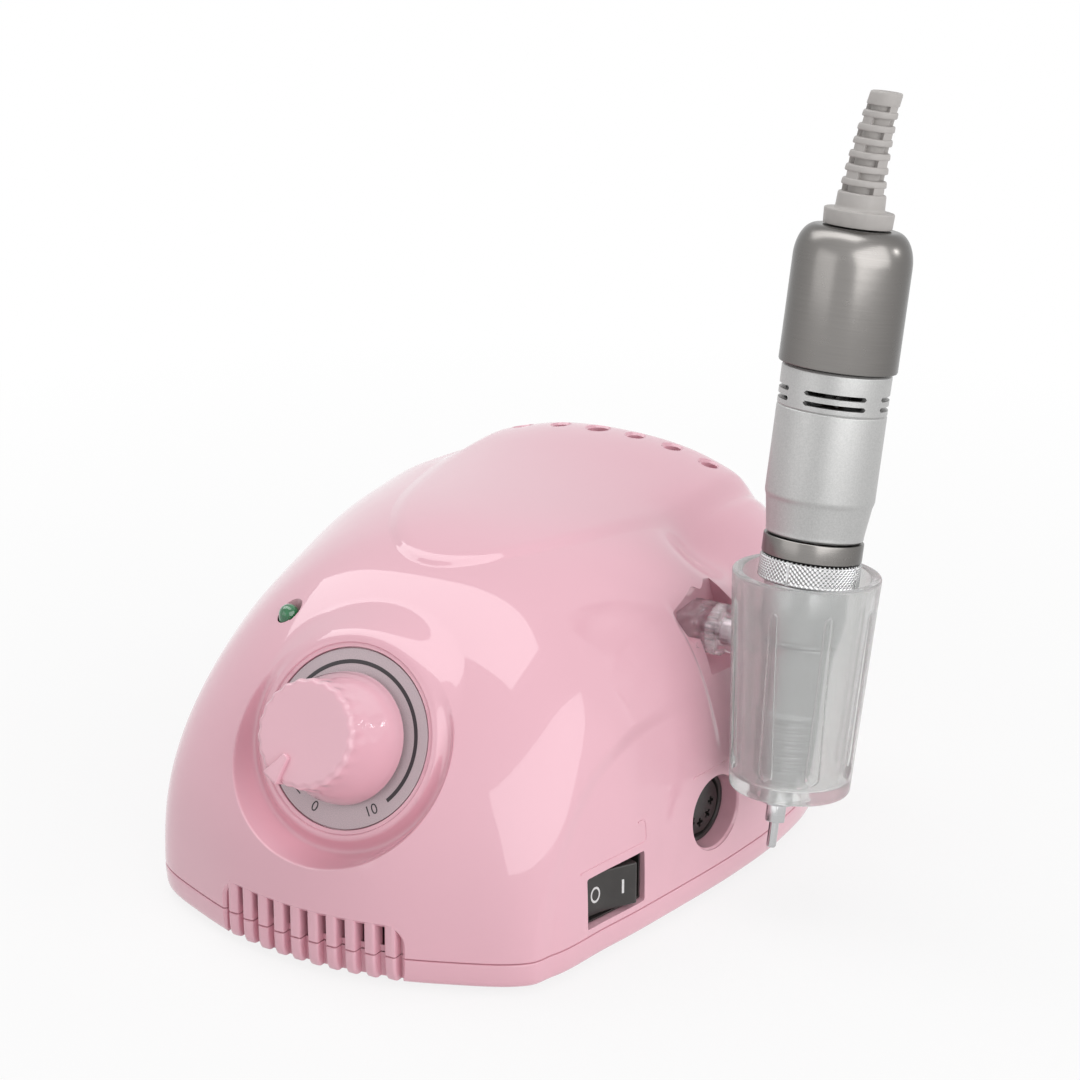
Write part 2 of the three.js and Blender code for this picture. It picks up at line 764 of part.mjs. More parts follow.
function baseShell() {
  const topZ = partingZ - partingGap / 2;
  const shoulderZ = floorZ + baseTuckIn / 2;
  const outer = planSolid([[floorZ, baseTuckIn], [shoulderZ, baseTuckIn / 3], [topZ, 0]], shellAngles);
  const hollow = planSolid([[floorZ + floorThickness, baseTuckIn + baseInset], [topZ + overrun, baseInset]], shellAngles / 2);
  let tray = outer.subtract(hollow);
  const bosses = screwPlaces.map(([x, y]) => solid(bar(bossRadius, topZ - floorZ, 10), at(x, y, floorZ)));
  const stands = [...boardStandPlaces(), ...transformerScrewPlaces()].map(([x, y]) => (
    solid(bar(standRadius, standTopZ - floorZ, 8), at(x, y, floorZ))));
  tray = joined(tray, ...bosses, ...stands);
  const screwHoles = screwPlaces.map(([x, y]) => joined(
    solid(bar(screwRadius + fit, topZ + overrun, 10), at(x, y, -overrun)),
    solid(bar(screwHeadRadius + fit, screwSeatZ + screwHeadHeight + fit, 12), at(x, y, 0)),
  ));
  const standHoles = [...transformerScrewPlaces()].map(([x, y]) => (
    solid(bar(smallScrewRadius + fit, standTopZ, 8), at(x, y, floorZ + floorThickness / 2))));
  const socketRelief = solid(bar(socketRadius + fit, socketBodyLength * 2, 20),
    socketPlace.clone().multiply(at(0, 0, -socketBodyLength)));
  tray = cutBy(tray, ...screwHoles, ...standHoles, socketRelief);
  tray = tray.subtract(grillePocket(-overrun, topZ + overrun, grilleRecess, caseWall));
  const ribs = grilleRibs(floorZ, topZ, grilleRecess).map((rib) => rib.subtract(hollow));
  return joined(tray, ...ribs).simplify(sliver);
}

// Inside the box
const standRadius = 3.4;
const standTopZ = 8.2;
const boardWidth = 66;
const boardDepth = 40;
const boardThickness = 1.6;
const boardX = 0;
const boardY = -24;
const boardZ = standTopZ + fit;
const boardHoleInset = 5;
const transformerX = -8;
const transformerY = 34;
const coreWidth = 46;
const coreDepth = 18;
const coreHeight = 38;
const coreLimb = 8;
const windingDepth = 34;
const smallScrewRadius = 1.25;
const smallScrewHeadRadius = 2.6;
const smallScrewHeadHeight = 1.8;
const smallScrewLength = 6.5;
const bracketFoot = 9;
const bracketSheet = 1;
const potBushRadius = 3.4;
const potShaftRadius = 3;
const potBodyRadius = 8.2;
const potBodyLength = 9;

function boardStandPlaces() {
  const [w, d] = [boardWidth / 2 - boardHoleInset, boardDepth / 2 - boardHoleInset];
  return [[-w, -d], [w, -d], [-w, d], [w, d]].map(([x, y]) => [boardX + x, boardY + y]);
}

function transformerScrewPlaces() {
  const reach = coreWidth / 2 + bracketFoot / 2 + fit;
  return [[transformerX - reach, transformerY], [transformerX + reach, transformerY]];
}

function addBaseAndShell() {
  addPart('base_shell', baseShell(), 'pinkPlastic');
  addPart('upper_shell', upperShell(), 'pinkPlastic');
}

function addFeet() {
  const profile = [[0, 0], [footRadius - fit * 2, 0], [footRadius, fit * 2], [footRadius, floorZ - fit], [0, floorZ - fit]];
  footPlaces.forEach(([x, y], i) => {
    addPart(`foot_${i + 1}`, turned(profile, 20), 'rubber', addGroup(at(x, y, 0)));
  });
}

function screwProfile(radius, length, headRadius, headHeight) {
  return [[0, 0], [headRadius, 0], [headRadius, headHeight], [radius, headHeight],
    [radius, headHeight + length - radius], [0, headHeight + length]];
}

function addCaseScrews() {
  const profile = screwProfile(screwRadius, screwLength, screwHeadRadius, screwHeadHeight);
  const slot = [-1, 1].map((turn) => solid(block(screwHeadRadius * 1.2, screwRadius / 2, screwHeadHeight),
    at(0, 0, -screwHeadHeight / 2, 0, 0, turn * Math.PI / 4)));
  screwPlaces.forEach(([x, y], i) => {
    const screw = cutBy(solid(turned(profile, 14)), ...slot);
    addPart(`case_screw_${i + 1}`, screw, 'steel', addGroup(at(x, y, screwSeatZ)));
  });
}

function addTransformer() {
  const group = addGroup(at(transformerX, transformerY, standTopZ + bracketSheet + fit));
  const core = cutBy(
    solid(block(coreWidth, coreDepth, coreHeight)),
    ...[-1, 1].map((side) => solid(
      block((coreWidth - 4 * coreLimb) / 2, coreDepth * 2, coreHeight - 2 * coreLimb),
      at(side * (coreLimb + (coreWidth - 4 * coreLimb) / 4), 0, coreLimb),
    )),
  );
  addPart('transformer_core', core, 'lamination', group);
  const windingHeight = coreHeight - 2 * coreLimb - 2 * fit;
  const windingWidth = coreWidth - 2 * coreLimb - 2 * fit;
  const winding = cutBy(
    solid(raised(roundedRectangle(windingWidth, windingDepth, coreLimb / 2), windingHeight, 3), at(0, 0, coreLimb + fit)),
    solid(block(2 * (coreLimb + fit), coreDepth + 2 * fit, coreHeight)),
  );
  addPart('transformer_winding', winding, 'copper', group);
  const reach = coreWidth / 2 + fit;
  const rise = coreHeight + fit;
  const outline = [
    [-reach - bracketSheet, 0], [-reach - bracketFoot, 0], [-reach - bracketFoot, -bracketSheet], [-reach, -bracketSheet],
    [-reach, rise], [reach, rise], [reach, -bracketSheet], [reach + bracketFoot, -bracketSheet],
    [reach + bracketFoot, 0], [reach + bracketSheet, 0], [reach + bracketSheet, rise + bracketSheet],
    [-reach - bracketSheet, rise + bracketSheet],
  ].reverse();
  const strap = solid(raised(outline, coreDepth * 0.6), at(0, coreDepth * 0.3, 0, Math.PI / 2));
  const strapHoles = [-1, 1].map((side) => solid(bar(smallScrewRadius + fit, overrun, 8),
    at(side * (reach + bracketFoot / 2), 0, -overrun / 2)));
  addPart('transformer_bracket', cutBy(strap, ...strapHoles), 'steel', group);
  transformerScrewPlaces().forEach(([x, y], i) => {
    const profile = screwProfile(smallScrewRadius, smallScrewLength, smallScrewHeadRadius, smallScrewHeadHeight);
    const top = standTopZ + bracketSheet + 2 * fit + smallScrewHeadHeight;
    addPart(`transformer_screw_${i + 1}`, turned(profile, 10), 'steel', addGroup(at(x, y, top, Math.PI)));
  });
}

const capacitorRadius = 8;
const capacitorHeight = 27;
const sinkWidth = 24;
const sinkDepth = 14;
const sinkHeight = 22;
const sinkFins = 5;
const sinkSheet = 1.6;

function addBoard() {
  const group = addGroup(at(boardX, boardY, boardZ));
  const board = cutBy(
    solid(block(boardWidth, boardDepth, boardThickness)),
    ...boardStandPlaces().map(([x, y]) => solid(bar(smallScrewRadius, overrun, 8), at(x - boardX, y - boardY, -overrun / 2))),
  );
  addPart('control_board', board, 'board', group);
  const partZ = boardThickness + fit;
  const can = [[0, 0], [capacitorRadius, 0], [capacitorRadius, capacitorHeight - fit], [capacitorRadius - fit, capacitorHeight],
    [0, capacitorHeight]];
  addPart('filter_capacitor', turned(can, 20), 'capacitor', addGroup(at(-boardWidth / 4, 0, partZ), group));
  const fins = [];
  for (let i = 0; i < sinkFins; i += 1) {
    const x = (i / (sinkFins - 1) - 1 / 2) * (sinkWidth - sinkSheet);
    fins.push(solid(block(sinkSheet, sinkDepth, sinkHeight), at(x, 0, 0)));
  }
  const web = solid(block(sinkWidth, sinkSheet * 1.5, sinkHeight), at(0, -sinkDepth / 4, 0));
  addPart('heat_sink', joined(web, ...fins), 'aluminium', addGroup(at(boardWidth / 5, 0, partZ), group));
}

// Dial: plate, potentiometer, nut and knob, on the dial axis
const potNutRadius = 5.2;
const potNutHeight = 2;
const plateHoleRadius = 5.8;
const knobGap = 0.9;
const knobWall = 1.8;
const knobEdge = 1.4;
const knobBoreRadius = potShaftRadius + fit;
const knobBossRadius = 5;
const knobFluteTopShare = 0.3;
const pointerInnerReach = 6.2;
const pointerOuterReach = 13.7;
const pointerWidth = 4.3;
const pointerTipWidth = 1.2;
const pointerRise = 1.5;
const knobRings = 5;
const knobSides = 48;

function knobBody() {
  const rings = [];
  const levels = [];
  for (let i = 0; i <= knobRings; i += 1) {
    const share = i / knobRings;
    const z = share * (knobHeight - knobEdge);
    const belly = Math.sin(share * Math.PI / 2) ** 1.6;
    levels.push([z, knobBaseRadius + (knobFaceRadius + knobEdge / 2 - knobBaseRadius) * belly, share]);
  }
  for (let i = 1; i <= 2; i += 1) {
    const turn = i / 2 * Math.PI / 2;
    const radius = knobFaceRadius - knobEdge / 2 + knobEdge * Math.cos(turn);
    levels.push([knobHeight - knobEdge + knobEdge * Math.sin(turn), radius, 1]);
  }
  levels.forEach(([z, radius, share]) => {
    const ring = [];
    for (let a = 0; a < knobSides; a += 1) {
      const angle = a / knobSides * Math.PI * 2;
      const flute = knobFluteDepth * smooth(knobFluteTopShare, 1, share) * (1 - Math.cos(angle * knobFlutes)) / 2;
      ring.push(new THREE.Vector3((radius - flute) * Math.cos(angle), (radius - flute) * Math.sin(angle), z));
    }
    rings.push(ring);
  });
  return ringSolid(rings, new THREE.Vector3(0, 0, 0), new THREE.Vector3(0, 0, knobHeight));
}

// A raised arrow on the knob's face, narrow at its inner end
function pointerWedge() {
  const [tip, end] = [pointerTipWidth / 2, pointerWidth / 2];
  const outline = [[pointerInnerReach, -tip], [pointerOuterReach, -end], [pointerOuterReach, end], [pointerInnerReach, tip]];
  return solid(raised(outline, pointerRise * 3), at(0, 0, -pointerRise * 2));
}

function speedKnob() {
  const hollow = solid(bar(knobFaceRadius - knobWall, knobHeight - knobWall + overrun, 28), at(0, 0, -overrun));
  const boss = solid(bar(knobBossRadius, knobHeight - knobWall + fit, 18));
  const bore = solid(bar(knobBoreRadius, knobHeight - knobWall * 2 + overrun, 16), at(0, 0, -overrun));
  const wedge = pointerWedge().translate([0, 0, knobHeight]);
  let knob = joined(knobBody().subtract(hollow), boss.subtract(bore), wedge);
  knob = knob.subtract(solid(bar(plateHoleRadius + fit, potNutHeight + 2 * fit + overrun, 18), at(0, 0, -overrun)));
  return knob;
}

function addDial() {
  const group = addGroup(dialPlace);
  const plate = cutBy(
    solid(bar(dialRadius, dialThickness, 36), at(0, 0, -dialThickness)),
    solid(bar(plateHoleRadius, overrun, 20), at(0, 0, -overrun / 2)),
  );
  addPart('dial_plate', plate, 'satinPlate', group);
  const bodyTop = -podBackDepth - fit;
  const body = joined(
    solid(bar(potBodyRadius, potBodyLength, 18), at(0, 0, bodyTop - potBodyLength)),
    solid(bar(potBushRadius, bodyTop * -1 + potNutHeight, 16), at(0, 0, bodyTop - fit)),
  ).subtract(solid(bar(potShaftRadius, overrun * 4, 16), at(0, 0, bodyTop - potBodyLength / 2)));
  addPart('speed_potentiometer', body, 'aluminium', group);
  const nut = cutBy(
    solid(bar(potNutRadius, potNutHeight, 6), at(0, 0, dialSeat + fit)),
    solid(bar(potBushRadius + fit, overrun, 16), at(0, 0, dialSeat - overrun / 2)),
  );
  addPart('potentiometer_nut', nut, 'steel', group);
  const shaftBottom = bodyTop - potBodyLength / 2 + fit;
  const shaftTop = knobGap + knobHeight - knobWall * 2 - fit;
  const shaft = solid(bar(potShaftRadius - fit, shaftTop - shaftBottom, 16), at(0, 0, shaftBottom));
  const turning = addGroup(at(0, 0, 0, 0, 0, radians(knobRestAngleDeg)), group);
  addPart('potentiometer_shaft', shaft, 'aluminium', turning);
  addPart('speed_knob', speedKnob(), 'pinkPlastic', addGroup(at(0, 0, knobGap), turning));
}

function addLamp() {
  const lamp = surfaceOver(lampX, lampY);
  const profile = [[0, 0], [lampRadius, 0]];
  const straight = lampLength - lampRadius;
  profile.push([lampRadius, straight]);
  for (let i = 1; i <= 5; i += 1) {
    const turn = i / 5 * Math.PI / 2;
    profile.push([lampRadius * Math.cos(turn), straight + lampRadius * Math.sin(turn)]);
  }
  const bottom = lamp.z - lampRecessDepth - lampLength + lampRadius + fit;
  addPart('power_lamp', turned(profile, 16), 'greenLens', addGroup(at(lamp.x, lamp.y, bottom)));
}

// A rocker is a shallow V in section, turned at rest so that its off half lies in
function rockerSolid() {
  const end = rockerWidth / 2 - rockerEndClearance;
  const top = rockerPivotDepth + rockerProud;
  const low = rockerPivotDepth / 2;
  const outline = [[-low, -low], [low, -low], [end - fit, low / 2], [end, top], [0, top - rockerValley],
    [-end, top], [-end + fit, low / 2]];
  return solid(raised(outline, rockerHeight), at(0, rockerHeight / 2, 0, Math.PI / 2));
}

function switchBody() {
  const pivotZ = -switchSetBack - rockerPivotDepth;
  const frame = solid(block(switchWidth - 2 * fit, switchHeight - 2 * fit, switchDepth), at(0, 0, -switchDepth - switchSetBack));
  const well = solid(block(rockerWidth + 2 * fit, rockerHeight + 2 * fit, rockerPivotDepth + overrun), at(0, 0, pivotZ));
  const sweep = solid(bar(rockerWidth / 2 + fit, rockerHeight + 2 * fit, 20),
    at(0, rockerHeight / 2 + fit, pivotZ, Math.PI / 2));
  return cutBy(frame, well, sweep);
}

function addSwitch(rockerName, bodyName, place) {
  const group = addGroup(place);
  addPart(bodyName, switchBody(), 'blackPlastic', group);
  const pivot = at(0, 0, -switchSetBack - rockerPivotDepth, 0, -radians(rockerRestDeg), 0);
  addPart(rockerName, rockerSolid(), 'blackPlastic', addGroup(pivot, group));
}

function motorSocket() {
  const length = socketBodyLength;
  const top = -socketRecess;
  const barrel = solid(bar(socketRadius, length, 20), at(0, 0, top - length));
  const groove = cutBy(
    solid(bar(socketGrooveRadius + socketGrooveWidth, overrun, 20), at(0, 0, top - socketGrooveDepth)),
    solid(bar(socketGrooveRadius, overrun * 3, 20), at(0, 0, top - overrun)),
  );
  const contacts = [];
  for (let i = 0; i < contactCount; i += 1) {
    const angle = radians(contactSpreadDeg) * i;
    contacts.push(solid(bar(contactRadius, overrun, 8), at(
      contactCircleRadius * Math.cos(angle), -contactCircleRadius * Math.sin(angle), top - contactDepth,
    )));
  }
  return cutBy(barrel, groove, ...contacts);
}

// Rear panel pieces: each points out of the rear panel along its local +Z
const flangeHeight = 1.6;
const flangeReach = 2;
const inletWellDepth = 9;
const inletPinRadius = 1.2;
const inletPinPitch = 8.6;
const inletPinLength = 6.5;

function mainsInlet() {
  const [w, h] = [inletWidth, inletHeight];
  const body = joined(
    solid(raised(roundedRectangle(w, h, h / 2 - fit), inletDepth, 3), at(0, 0, -inletDepth + fit)),
    solid(raised(roundedRectangle(w + 2 * flangeReach, h + 2 * flangeReach, h / 4), flangeHeight, 3), at(0, 0, fit)),
  );
  const well = solid(raised(roundedRectangle(w - flangeReach, h - flangeReach, h / 2 - flangeReach), inletWellDepth + overrun, 3),
    at(0, 0, flangeHeight + fit - inletWellDepth));
  const pins = [-1, 1].map((side) => solid(bar(inletPinRadius, inletPinLength + fit, 8),
    at(side * inletPinPitch / 2, 0, flangeHeight - inletWellDepth)));
  return joined(body.subtract(well), ...pins);
}

function fuseHolder() {
  return solid(turned([
    [0, -fuseLength], [fuseRadius - 1, -fuseLength], [fuseRadius, -fuseLength + 1], [fuseRadius, fit],
    [fuseRadius + flangeReach, fit], [fuseRadius + flangeReach, flangeHeight + fit],
    [fuseRadius, flangeHeight * 2 + fit], [0, flangeHeight * 2 + fit],
  ], 20))
    .subtract(solid(block(fuseRadius, flangeHeight / 2, flangeHeight * 2), at(0, 0, flangeHeight + fit)));
}

function pedalJack() {
  const top = flangeHeight + fit;
  const body = turned([
    [0, -jackLength], [jackRadius, -jackLength], [jackRadius, fit], [jackRadius + flangeReach, fit],
    [jackRadius + flangeReach, top], [0, top],
  ], 20);
  return solid(body).subtract(solid(bar(jackBoreRadius, jackLength, 12), at(0, 0, top - jackLength * 0.8)));
}

function addRearPanel() {
  addPart('mains_inlet', mainsInlet(), 'blackPlastic', addGroup(rearPlace(inletX)));
  addPart('fuse_holder', fuseHolder(), 'blackPlastic', addGroup(rearPlace(fuseX)));
  addPart('pedal_jack', pedalJack(), 'blackPlastic', addGroup(rearPlace(jackX)));
}

// Cradle: a clear hub in the pocket, and an arm and cup that tilt together about X
const hubLength = pivotX - pocketFloorX - 2 * fit;
const discThickness = 2.6;
const serrations = 24;
const serrationDepth = 0.5;
const armRibs = 6;
const armRibDepth = 0.8;
const pivotScrewRadius = 1.5;
const pivotScrewHeadRadius = 2.8;
const armToCup = 0.4;

const xPlace = (x, y, z) => at(x, y, z, 0, Math.PI / 2, 0);

function serrated(outer, height, phase) {
  const points = [];
  for (let i = 0; i < serrations * 2; i += 1) {
    const angle = i / (serrations * 2) * Math.PI * 2 + phase;
    const radius = outer - (i % 2) * serrationDepth;
    points.push([radius * Math.cos(angle), radius * Math.sin(angle)]);
  }
  return raised(points, height);
}

function cradleHub() {
  const disc = solid(serrated(pivotDiscRadius, hubLength, 0), xPlace(pocketFloorX + fit, pivotY, pivotZ));
  const lug = pivotDiscRadius * 1.35;
  const wedge = solid(raised([
    [pivotY, pivotZ + pivotDiscRadius], [pivotY - lug, pivotZ + pivotDiscRadius * 0.95],
    [pivotY - lug, pivotZ + pivotDiscRadius * 0.3], [pivotY - pivotDiscRadius * 0.4, pivotZ + fit],
  ], hubLength), alongX(pocketFloorX + fit));
  const bore = solid(bar(pivotScrewRadius + fit, hubLength * 2, 12), xPlace(pocketFloorX + hubLength / 3, pivotY, pivotZ));
  return joined(disc, wedge).subtract(bore);
}

const cupLean = radians(cupLeanDeg);
const cupPlace = at(cupTopX, cupTopY, cupTopZ, -cupLean, 0, 0);

function cupOuterRadius(depth) {
  return cupTopRadius + (cupBottomRadius - cupTopRadius) * depth / cupLength;
}

const cupGrooves = 8;
const cupGrooveDepth = 0.9;
const cupGrooveRadius = 1.7;
const cupGrooveTopShare = 0.12;
const cupGrooveBottomShare = 0.9;
const cupHoleRadius = 5.8;
const cupEdge = 1;

function cradleCup() {
  const bottom = -cupLength;
  const innerTop = cupTopRadius - cupWall;
  const innerBottom = cupBottomRadius - cupWall;
  const outer = solid(turned([
    [0, bottom], [cupBottomRadius - cupEdge, bottom], [cupBottomRadius, bottom + cupEdge], [cupTopRadius, -cupEdge / 2],
    [cupTopRadius - cupEdge / 2, 0], [0, 0],
  ], 28));
  const inner = solid(turned([
    [0, bottom + cupFloor], [innerBottom - cupEdge, bottom + cupFloor], [innerBottom, bottom + cupFloor + cupEdge],
    [innerTop, 0], [innerTop + cupEdge / 2, overrun], [0, overrun],
  ], 24));
  const grooves = [];
  for (let i = 0; i < cupGrooves; i += 1) {
    const angle = (i + 0.5) / cupGrooves * Math.PI * 2;
    const highZ = -cupLength * cupGrooveTopShare;
    const lowZ = -cupLength * cupGrooveBottomShare;
    const reach = (depth) => cupOuterRadius(depth) + cupGrooveRadius - cupGrooveDepth;
    const [topReach, bottomReach] = [reach(-highZ), reach(-lowZ)];
    const lean = Math.atan2(topReach - bottomReach, highZ - lowZ);
    const place = at(bottomReach * Math.cos(angle), bottomReach * Math.sin(angle), lowZ, 0, 0, angle)
      .multiply(at(0, 0, 0, 0, lean, 0));
    grooves.push(solid(bar(cupGrooveRadius, (highZ - lowZ) / Math.cos(lean), 6, cupGrooveRadius * 0.7), place));
  }
  const hole = solid(bar(cupHoleRadius, overrun * 2, 20), at(0, cupHoleOffset(), bottom - overrun));
  return cutBy(outer, inner, hole, ...grooves);
}

// The handpiece leans further back than the cup, so it leaves the cup floor ahead of its centre
function cupHoleOffset() {
  const inverse = cupPlace.clone().invert();
  const onAxis = (distance) => new THREE.Vector3(0, 0, distance).applyMatrix4(handpiecePlace).applyMatrix4(inverse);
  const [a, b] = [onAxis(0), onAxis(1)];
  const travel = (-cupLength + cupFloor / 2 - a.z) / (b.z - a.z);
  return a.y + (b.y - a.y) * travel;
}

function armSolid() {
  const discFace = pivotX + fit;
  const disc = solid(serrated(pivotDiscRadius, discThickness, Math.PI / serrations), xPlace(discFace, pivotY, pivotZ));
  const points = [];
  for (let i = 0; i < armRibs * 4; i += 1) {
    const angle = (i + 0.5) / (armRibs * 4) * Math.PI * 2;
    const radius = armRadius - (Math.floor(i / 2) % 2) * armRibDepth;
    points.push([radius * Math.cos(angle), radius * Math.sin(angle)]);
  }
  const length = cupTopX - discFace;
  const beam = solid(raised(points, length), xPlace(discFace, pivotY, pivotZ));
  const cupSpace = solid(turned([
    [0, -cupLength], [cupBottomRadius + armToCup, -cupLength], [cupTopRadius + armToCup, 0], [0, 0],
  ], 28), cupPlace);
  const bore = solid(bar(pivotScrewRadius + fit, length, 12), xPlace(discFace - overrun, pivotY, pivotZ));
  const headRoom = solid(bar(pivotScrewHeadRadius + fit, length, 14), xPlace(discFace + discThickness, pivotY, pivotZ));
  return cutBy(joined(disc, beam), cupSpace, bore, headRoom);
}

function addCradle() {
  addPart('cradle_hub', cradleHub(), 'clear');
  addPart('cradle_arm', armSolid(), 'clear');
  addPart('cradle_cup', cradleCup(), 'frosted', addGroup(cupPlace));
  const screwStart = pocketFloorX + hubLength / 2;
  const headStart = pivotX + fit + discThickness + fit;
  const screw = joined(
    solid(bar(pivotScrewRadius, headStart - screwStart + fit, 12)),
    solid(bar(pivotScrewHeadRadius, screwHeadHeight, 14), at(0, 0, headStart - screwStart)),
  );
  addPart('cradle_screw', screw, 'steel', addGroup(xPlace(screwStart, pivotY, pivotZ)));
}

// Handpiece: heights are measured along its axis from the lower edge of the silver sleeve
const handpiecePlace = at(
  handpieceX, handpieceY, handpieceZ, -radians(handpieceLeanDeg), radians(handpieceSideLeanDeg), 0,
);
const sleeveStepZ = 9.2;
const sleeveTopZ = 40;
const sleeveLowRadius = 11.6;
const sleeveRadius = 13;
const sleeveWall = 1.6;
const ventZ = 33.5;
const ventHeight = 1.1;
const ventPitch = 2.4;
const ventSpanDeg = 68;
const ventTurnDeg = 26.5;
const ventGroups = 4;
const capRadius = 14;
const capTopZ = 73;
const capShoulder = 5;
const capTopRadius = 9.4;
const ringRadius = 11.9;
const ringLength = 4.6;
const lockRadius = 12.1;
const lockLength = 5.8;
const gripTopRadius = 10.2;
const gripLowRadius = 6.4;
const noseDrop = 5;
const gripBottomZ = -cupLength - noseDrop;
const noseRadius = 4.3;
const noseLength = 6.6;
const boreRadius = 5.1;
const spindleRadius = 3;
const spindleBoreRadius = 2.3;
const pinRadius = 1.175;
const pinReach = 17.4;
const pinTipZ = gripBottomZ - pinReach;
const colletHexRadius = 2.6;
const colletLength = 4.4;
const bearingRadius = 5;
const bearingLength = 3;
const motorRadius = 10.2;
const motorLength = 26;
const motorBottomZ = 2;

const ring = (inner, outer, low, high, sides = 32) => turned(
  [[inner, low], [outer, low], [outer, high], [inner, high], [inner, low]], sides,
);

function motorSleeve() {
  const wall = sleeveWall;
  let sleeve = solid(turned([
    [sleeveLowRadius - wall, 0], [sleeveLowRadius, 0], [sleeveRadius - fit, sleeveStepZ - fit], [sleeveRadius, sleeveStepZ],
    [sleeveRadius, sleeveTopZ], [sleeveRadius - wall, sleeveTopZ], [sleeveRadius - wall, sleeveStepZ],
    [sleeveLowRadius - wall, 0],
  ], 24));
  for (let group = 0; group < ventGroups; group += 1) {
    for (const row of [-1, 1]) {
      const angle = radians(ventTurnDeg) + group / ventGroups * Math.PI * 2;
      const span = 2 * sleeveRadius * Math.sin(radians(ventSpanDeg) / 2);
      const slot = solid(block(overrun * 2, span, ventHeight),
        at(sleeveRadius * Math.cos(angle), sleeveRadius * Math.sin(angle), ventZ + row * ventPitch / 2 - ventHeight / 2, 0, 0, angle));
      sleeve = sleeve.subtract(slot);
    }
  }
  return sleeve;
}

function rearCap() {
  const low = sleeveTopZ + fit;
  const profile = [[capRadius - sleeveWall, low], [capRadius - fit, low], [capRadius, low + fit], [capRadius, capTopZ - capShoulder * 1.6]];
  for (let i = 1; i <= 4; i += 1) {
    const turn = i / 4 * Math.PI / 2;
    profile.push([
      capTopRadius + (capRadius - capTopRadius) * Math.cos(turn),
      capTopZ - capShoulder * 1.6 + capShoulder * 1.6 * Math.sin(turn),
    ]);
  }
  const inside = capRadius - sleeveWall;
  profile.push([reliefPlugRadius + fit, capTopZ], [reliefPlugRadius + fit, capTopZ - sleeveWall * 2]);
  profile.push([inside - capShoulder, capTopZ - sleeveWall * 2], [inside, capTopZ - capShoulder * 2.2], [inside, low]);
  return turned(profile, 24);
}

// Bend relief: a flange, a step and a tapering stem with windows cut in turn through it
const reliefPlugRadius = 4;
const reliefFlangeRadius = 8.2;
const reliefFlangeHeight = 3.8;
const reliefTierRadius = 5.9;
const reliefTierHeight = 4.2;
const reliefStemLow = 5.4;
const reliefStemHigh = 3.9;
const reliefRings = 7;
const reliefPitch = 3.05;
const reliefRingHeight = 1.6;
const reliefCollarHeight = 3;
const reliefCollarRadius = 3.8;
const reliefBoreRadius = 2;
const reliefBend = 0.0042;
const reliefBridgeShare = 0.42;

function strainRelief() {
  const start = capTopZ + fit;
  const stemStart = start + reliefFlangeHeight + reliefTierHeight;
  const pieces = [
    solid(bar(reliefPlugRadius, sleeveWall * 3, 12), at(0, 0, start - sleeveWall * 2.5)),
    solid(turned([[0, start], [reliefFlangeRadius - fit, start], [reliefFlangeRadius, start + fit],
      [reliefFlangeRadius, start + reliefFlangeHeight * 0.6], [reliefTierRadius + 1, start + reliefFlangeHeight],
      [0, start + reliefFlangeHeight]], 20)),
    solid(bar(reliefTierRadius, reliefTierHeight + fit, 14, reliefStemLow), at(0, 0, start + reliefFlangeHeight - fit)),
  ];
  for (let i = 0; i < reliefRings; i += 1) {
    const radius = reliefStemLow + (reliefStemHigh - reliefStemLow) * (i + 1) / reliefRings;
    const z = stemStart + reliefPitch * i;
    const bridge = radius * reliefBridgeShare * 2;
    const gap = reliefPitch - reliefRingHeight + 2 * fit;
    const across = solid(block(i % 2 ? bridge : 2 * radius, i % 2 ? 2 * radius : bridge, gap), at(0, 0, z - fit));
    const core = across.intersect(solid(bar(radius, gap, 12), at(0, 0, z - fit)));
    const rest = solid(bar(radius, reliefRingHeight, 12), at(0, 0, z + reliefPitch - reliefRingHeight));
    pieces.push(core, rest);
  }
  const top = stemStart + reliefPitch * reliefRings;
  pieces.push(solid(bar(reliefCollarRadius, reliefCollarHeight, 12), at(0, 0, top - fit)));
  const straight = joined(...pieces).subtract(
    solid(bar(reliefBoreRadius, top + reliefCollarHeight, 8), at(0, 0, start - overrun)),
  );
  const bendFrom = start + reliefFlangeHeight;
  return straight.warp((point) => {
    const above = Math.max(0, point[2] - bendFrom);
    point[0] += reliefBend * above * above;
  });
}

function knurledRing() {
  const points = [];
  const teeth = 28;
  const depth = 0.35;
  for (let i = 0; i < teeth * 2; i += 1) {
    const angle = i / (teeth * 2) * Math.PI * 2;
    const radius = lockRadius - (i % 2) * depth;
    points.push([radius * Math.cos(angle), radius * Math.sin(angle)]);
  }
  const low = -ringLength - 2 * fit - lockLength;
  return cutBy(
    solid(raised(points, lockLength), at(0, 0, low)),
    solid(bar(gripTopRadius - fit * 4, lockLength * 2, 28), at(0, 0, low - lockLength / 2)),
  );
}

function frontGrip() {
  const top = -fit;
  const neck = gripTopRadius - fit * 6;
  const under = -ringLength - lockLength - 3 * fit;
  const profile = [[boreRadius, gripBottomZ], [gripLowRadius - 0.8, gripBottomZ], [gripLowRadius, gripBottomZ + 1.2]];
  const grooves = 6;
  const groovePitch = 3;
  const grooveDepth = 0.6;
  const gripStart = gripBottomZ + 6;
  for (let i = 0; i < grooves; i += 1) {
    const z = gripStart + groovePitch * i;
    const radius = gripLowRadius + (gripTopRadius - gripLowRadius) * ((z - gripBottomZ) / (under - gripBottomZ)) ** 0.8;
    profile.push([radius, z], [radius - grooveDepth, z + groovePitch / 2]);
  }
  const bandZ = under - 7;
  profile.push([gripTopRadius - 1, bandZ - 1], [gripTopRadius, bandZ], [gripTopRadius, under], [neck, under],
    [neck, top], [boreRadius, top], [boreRadius, gripBottomZ]);
  return turned(profile, 20);
}

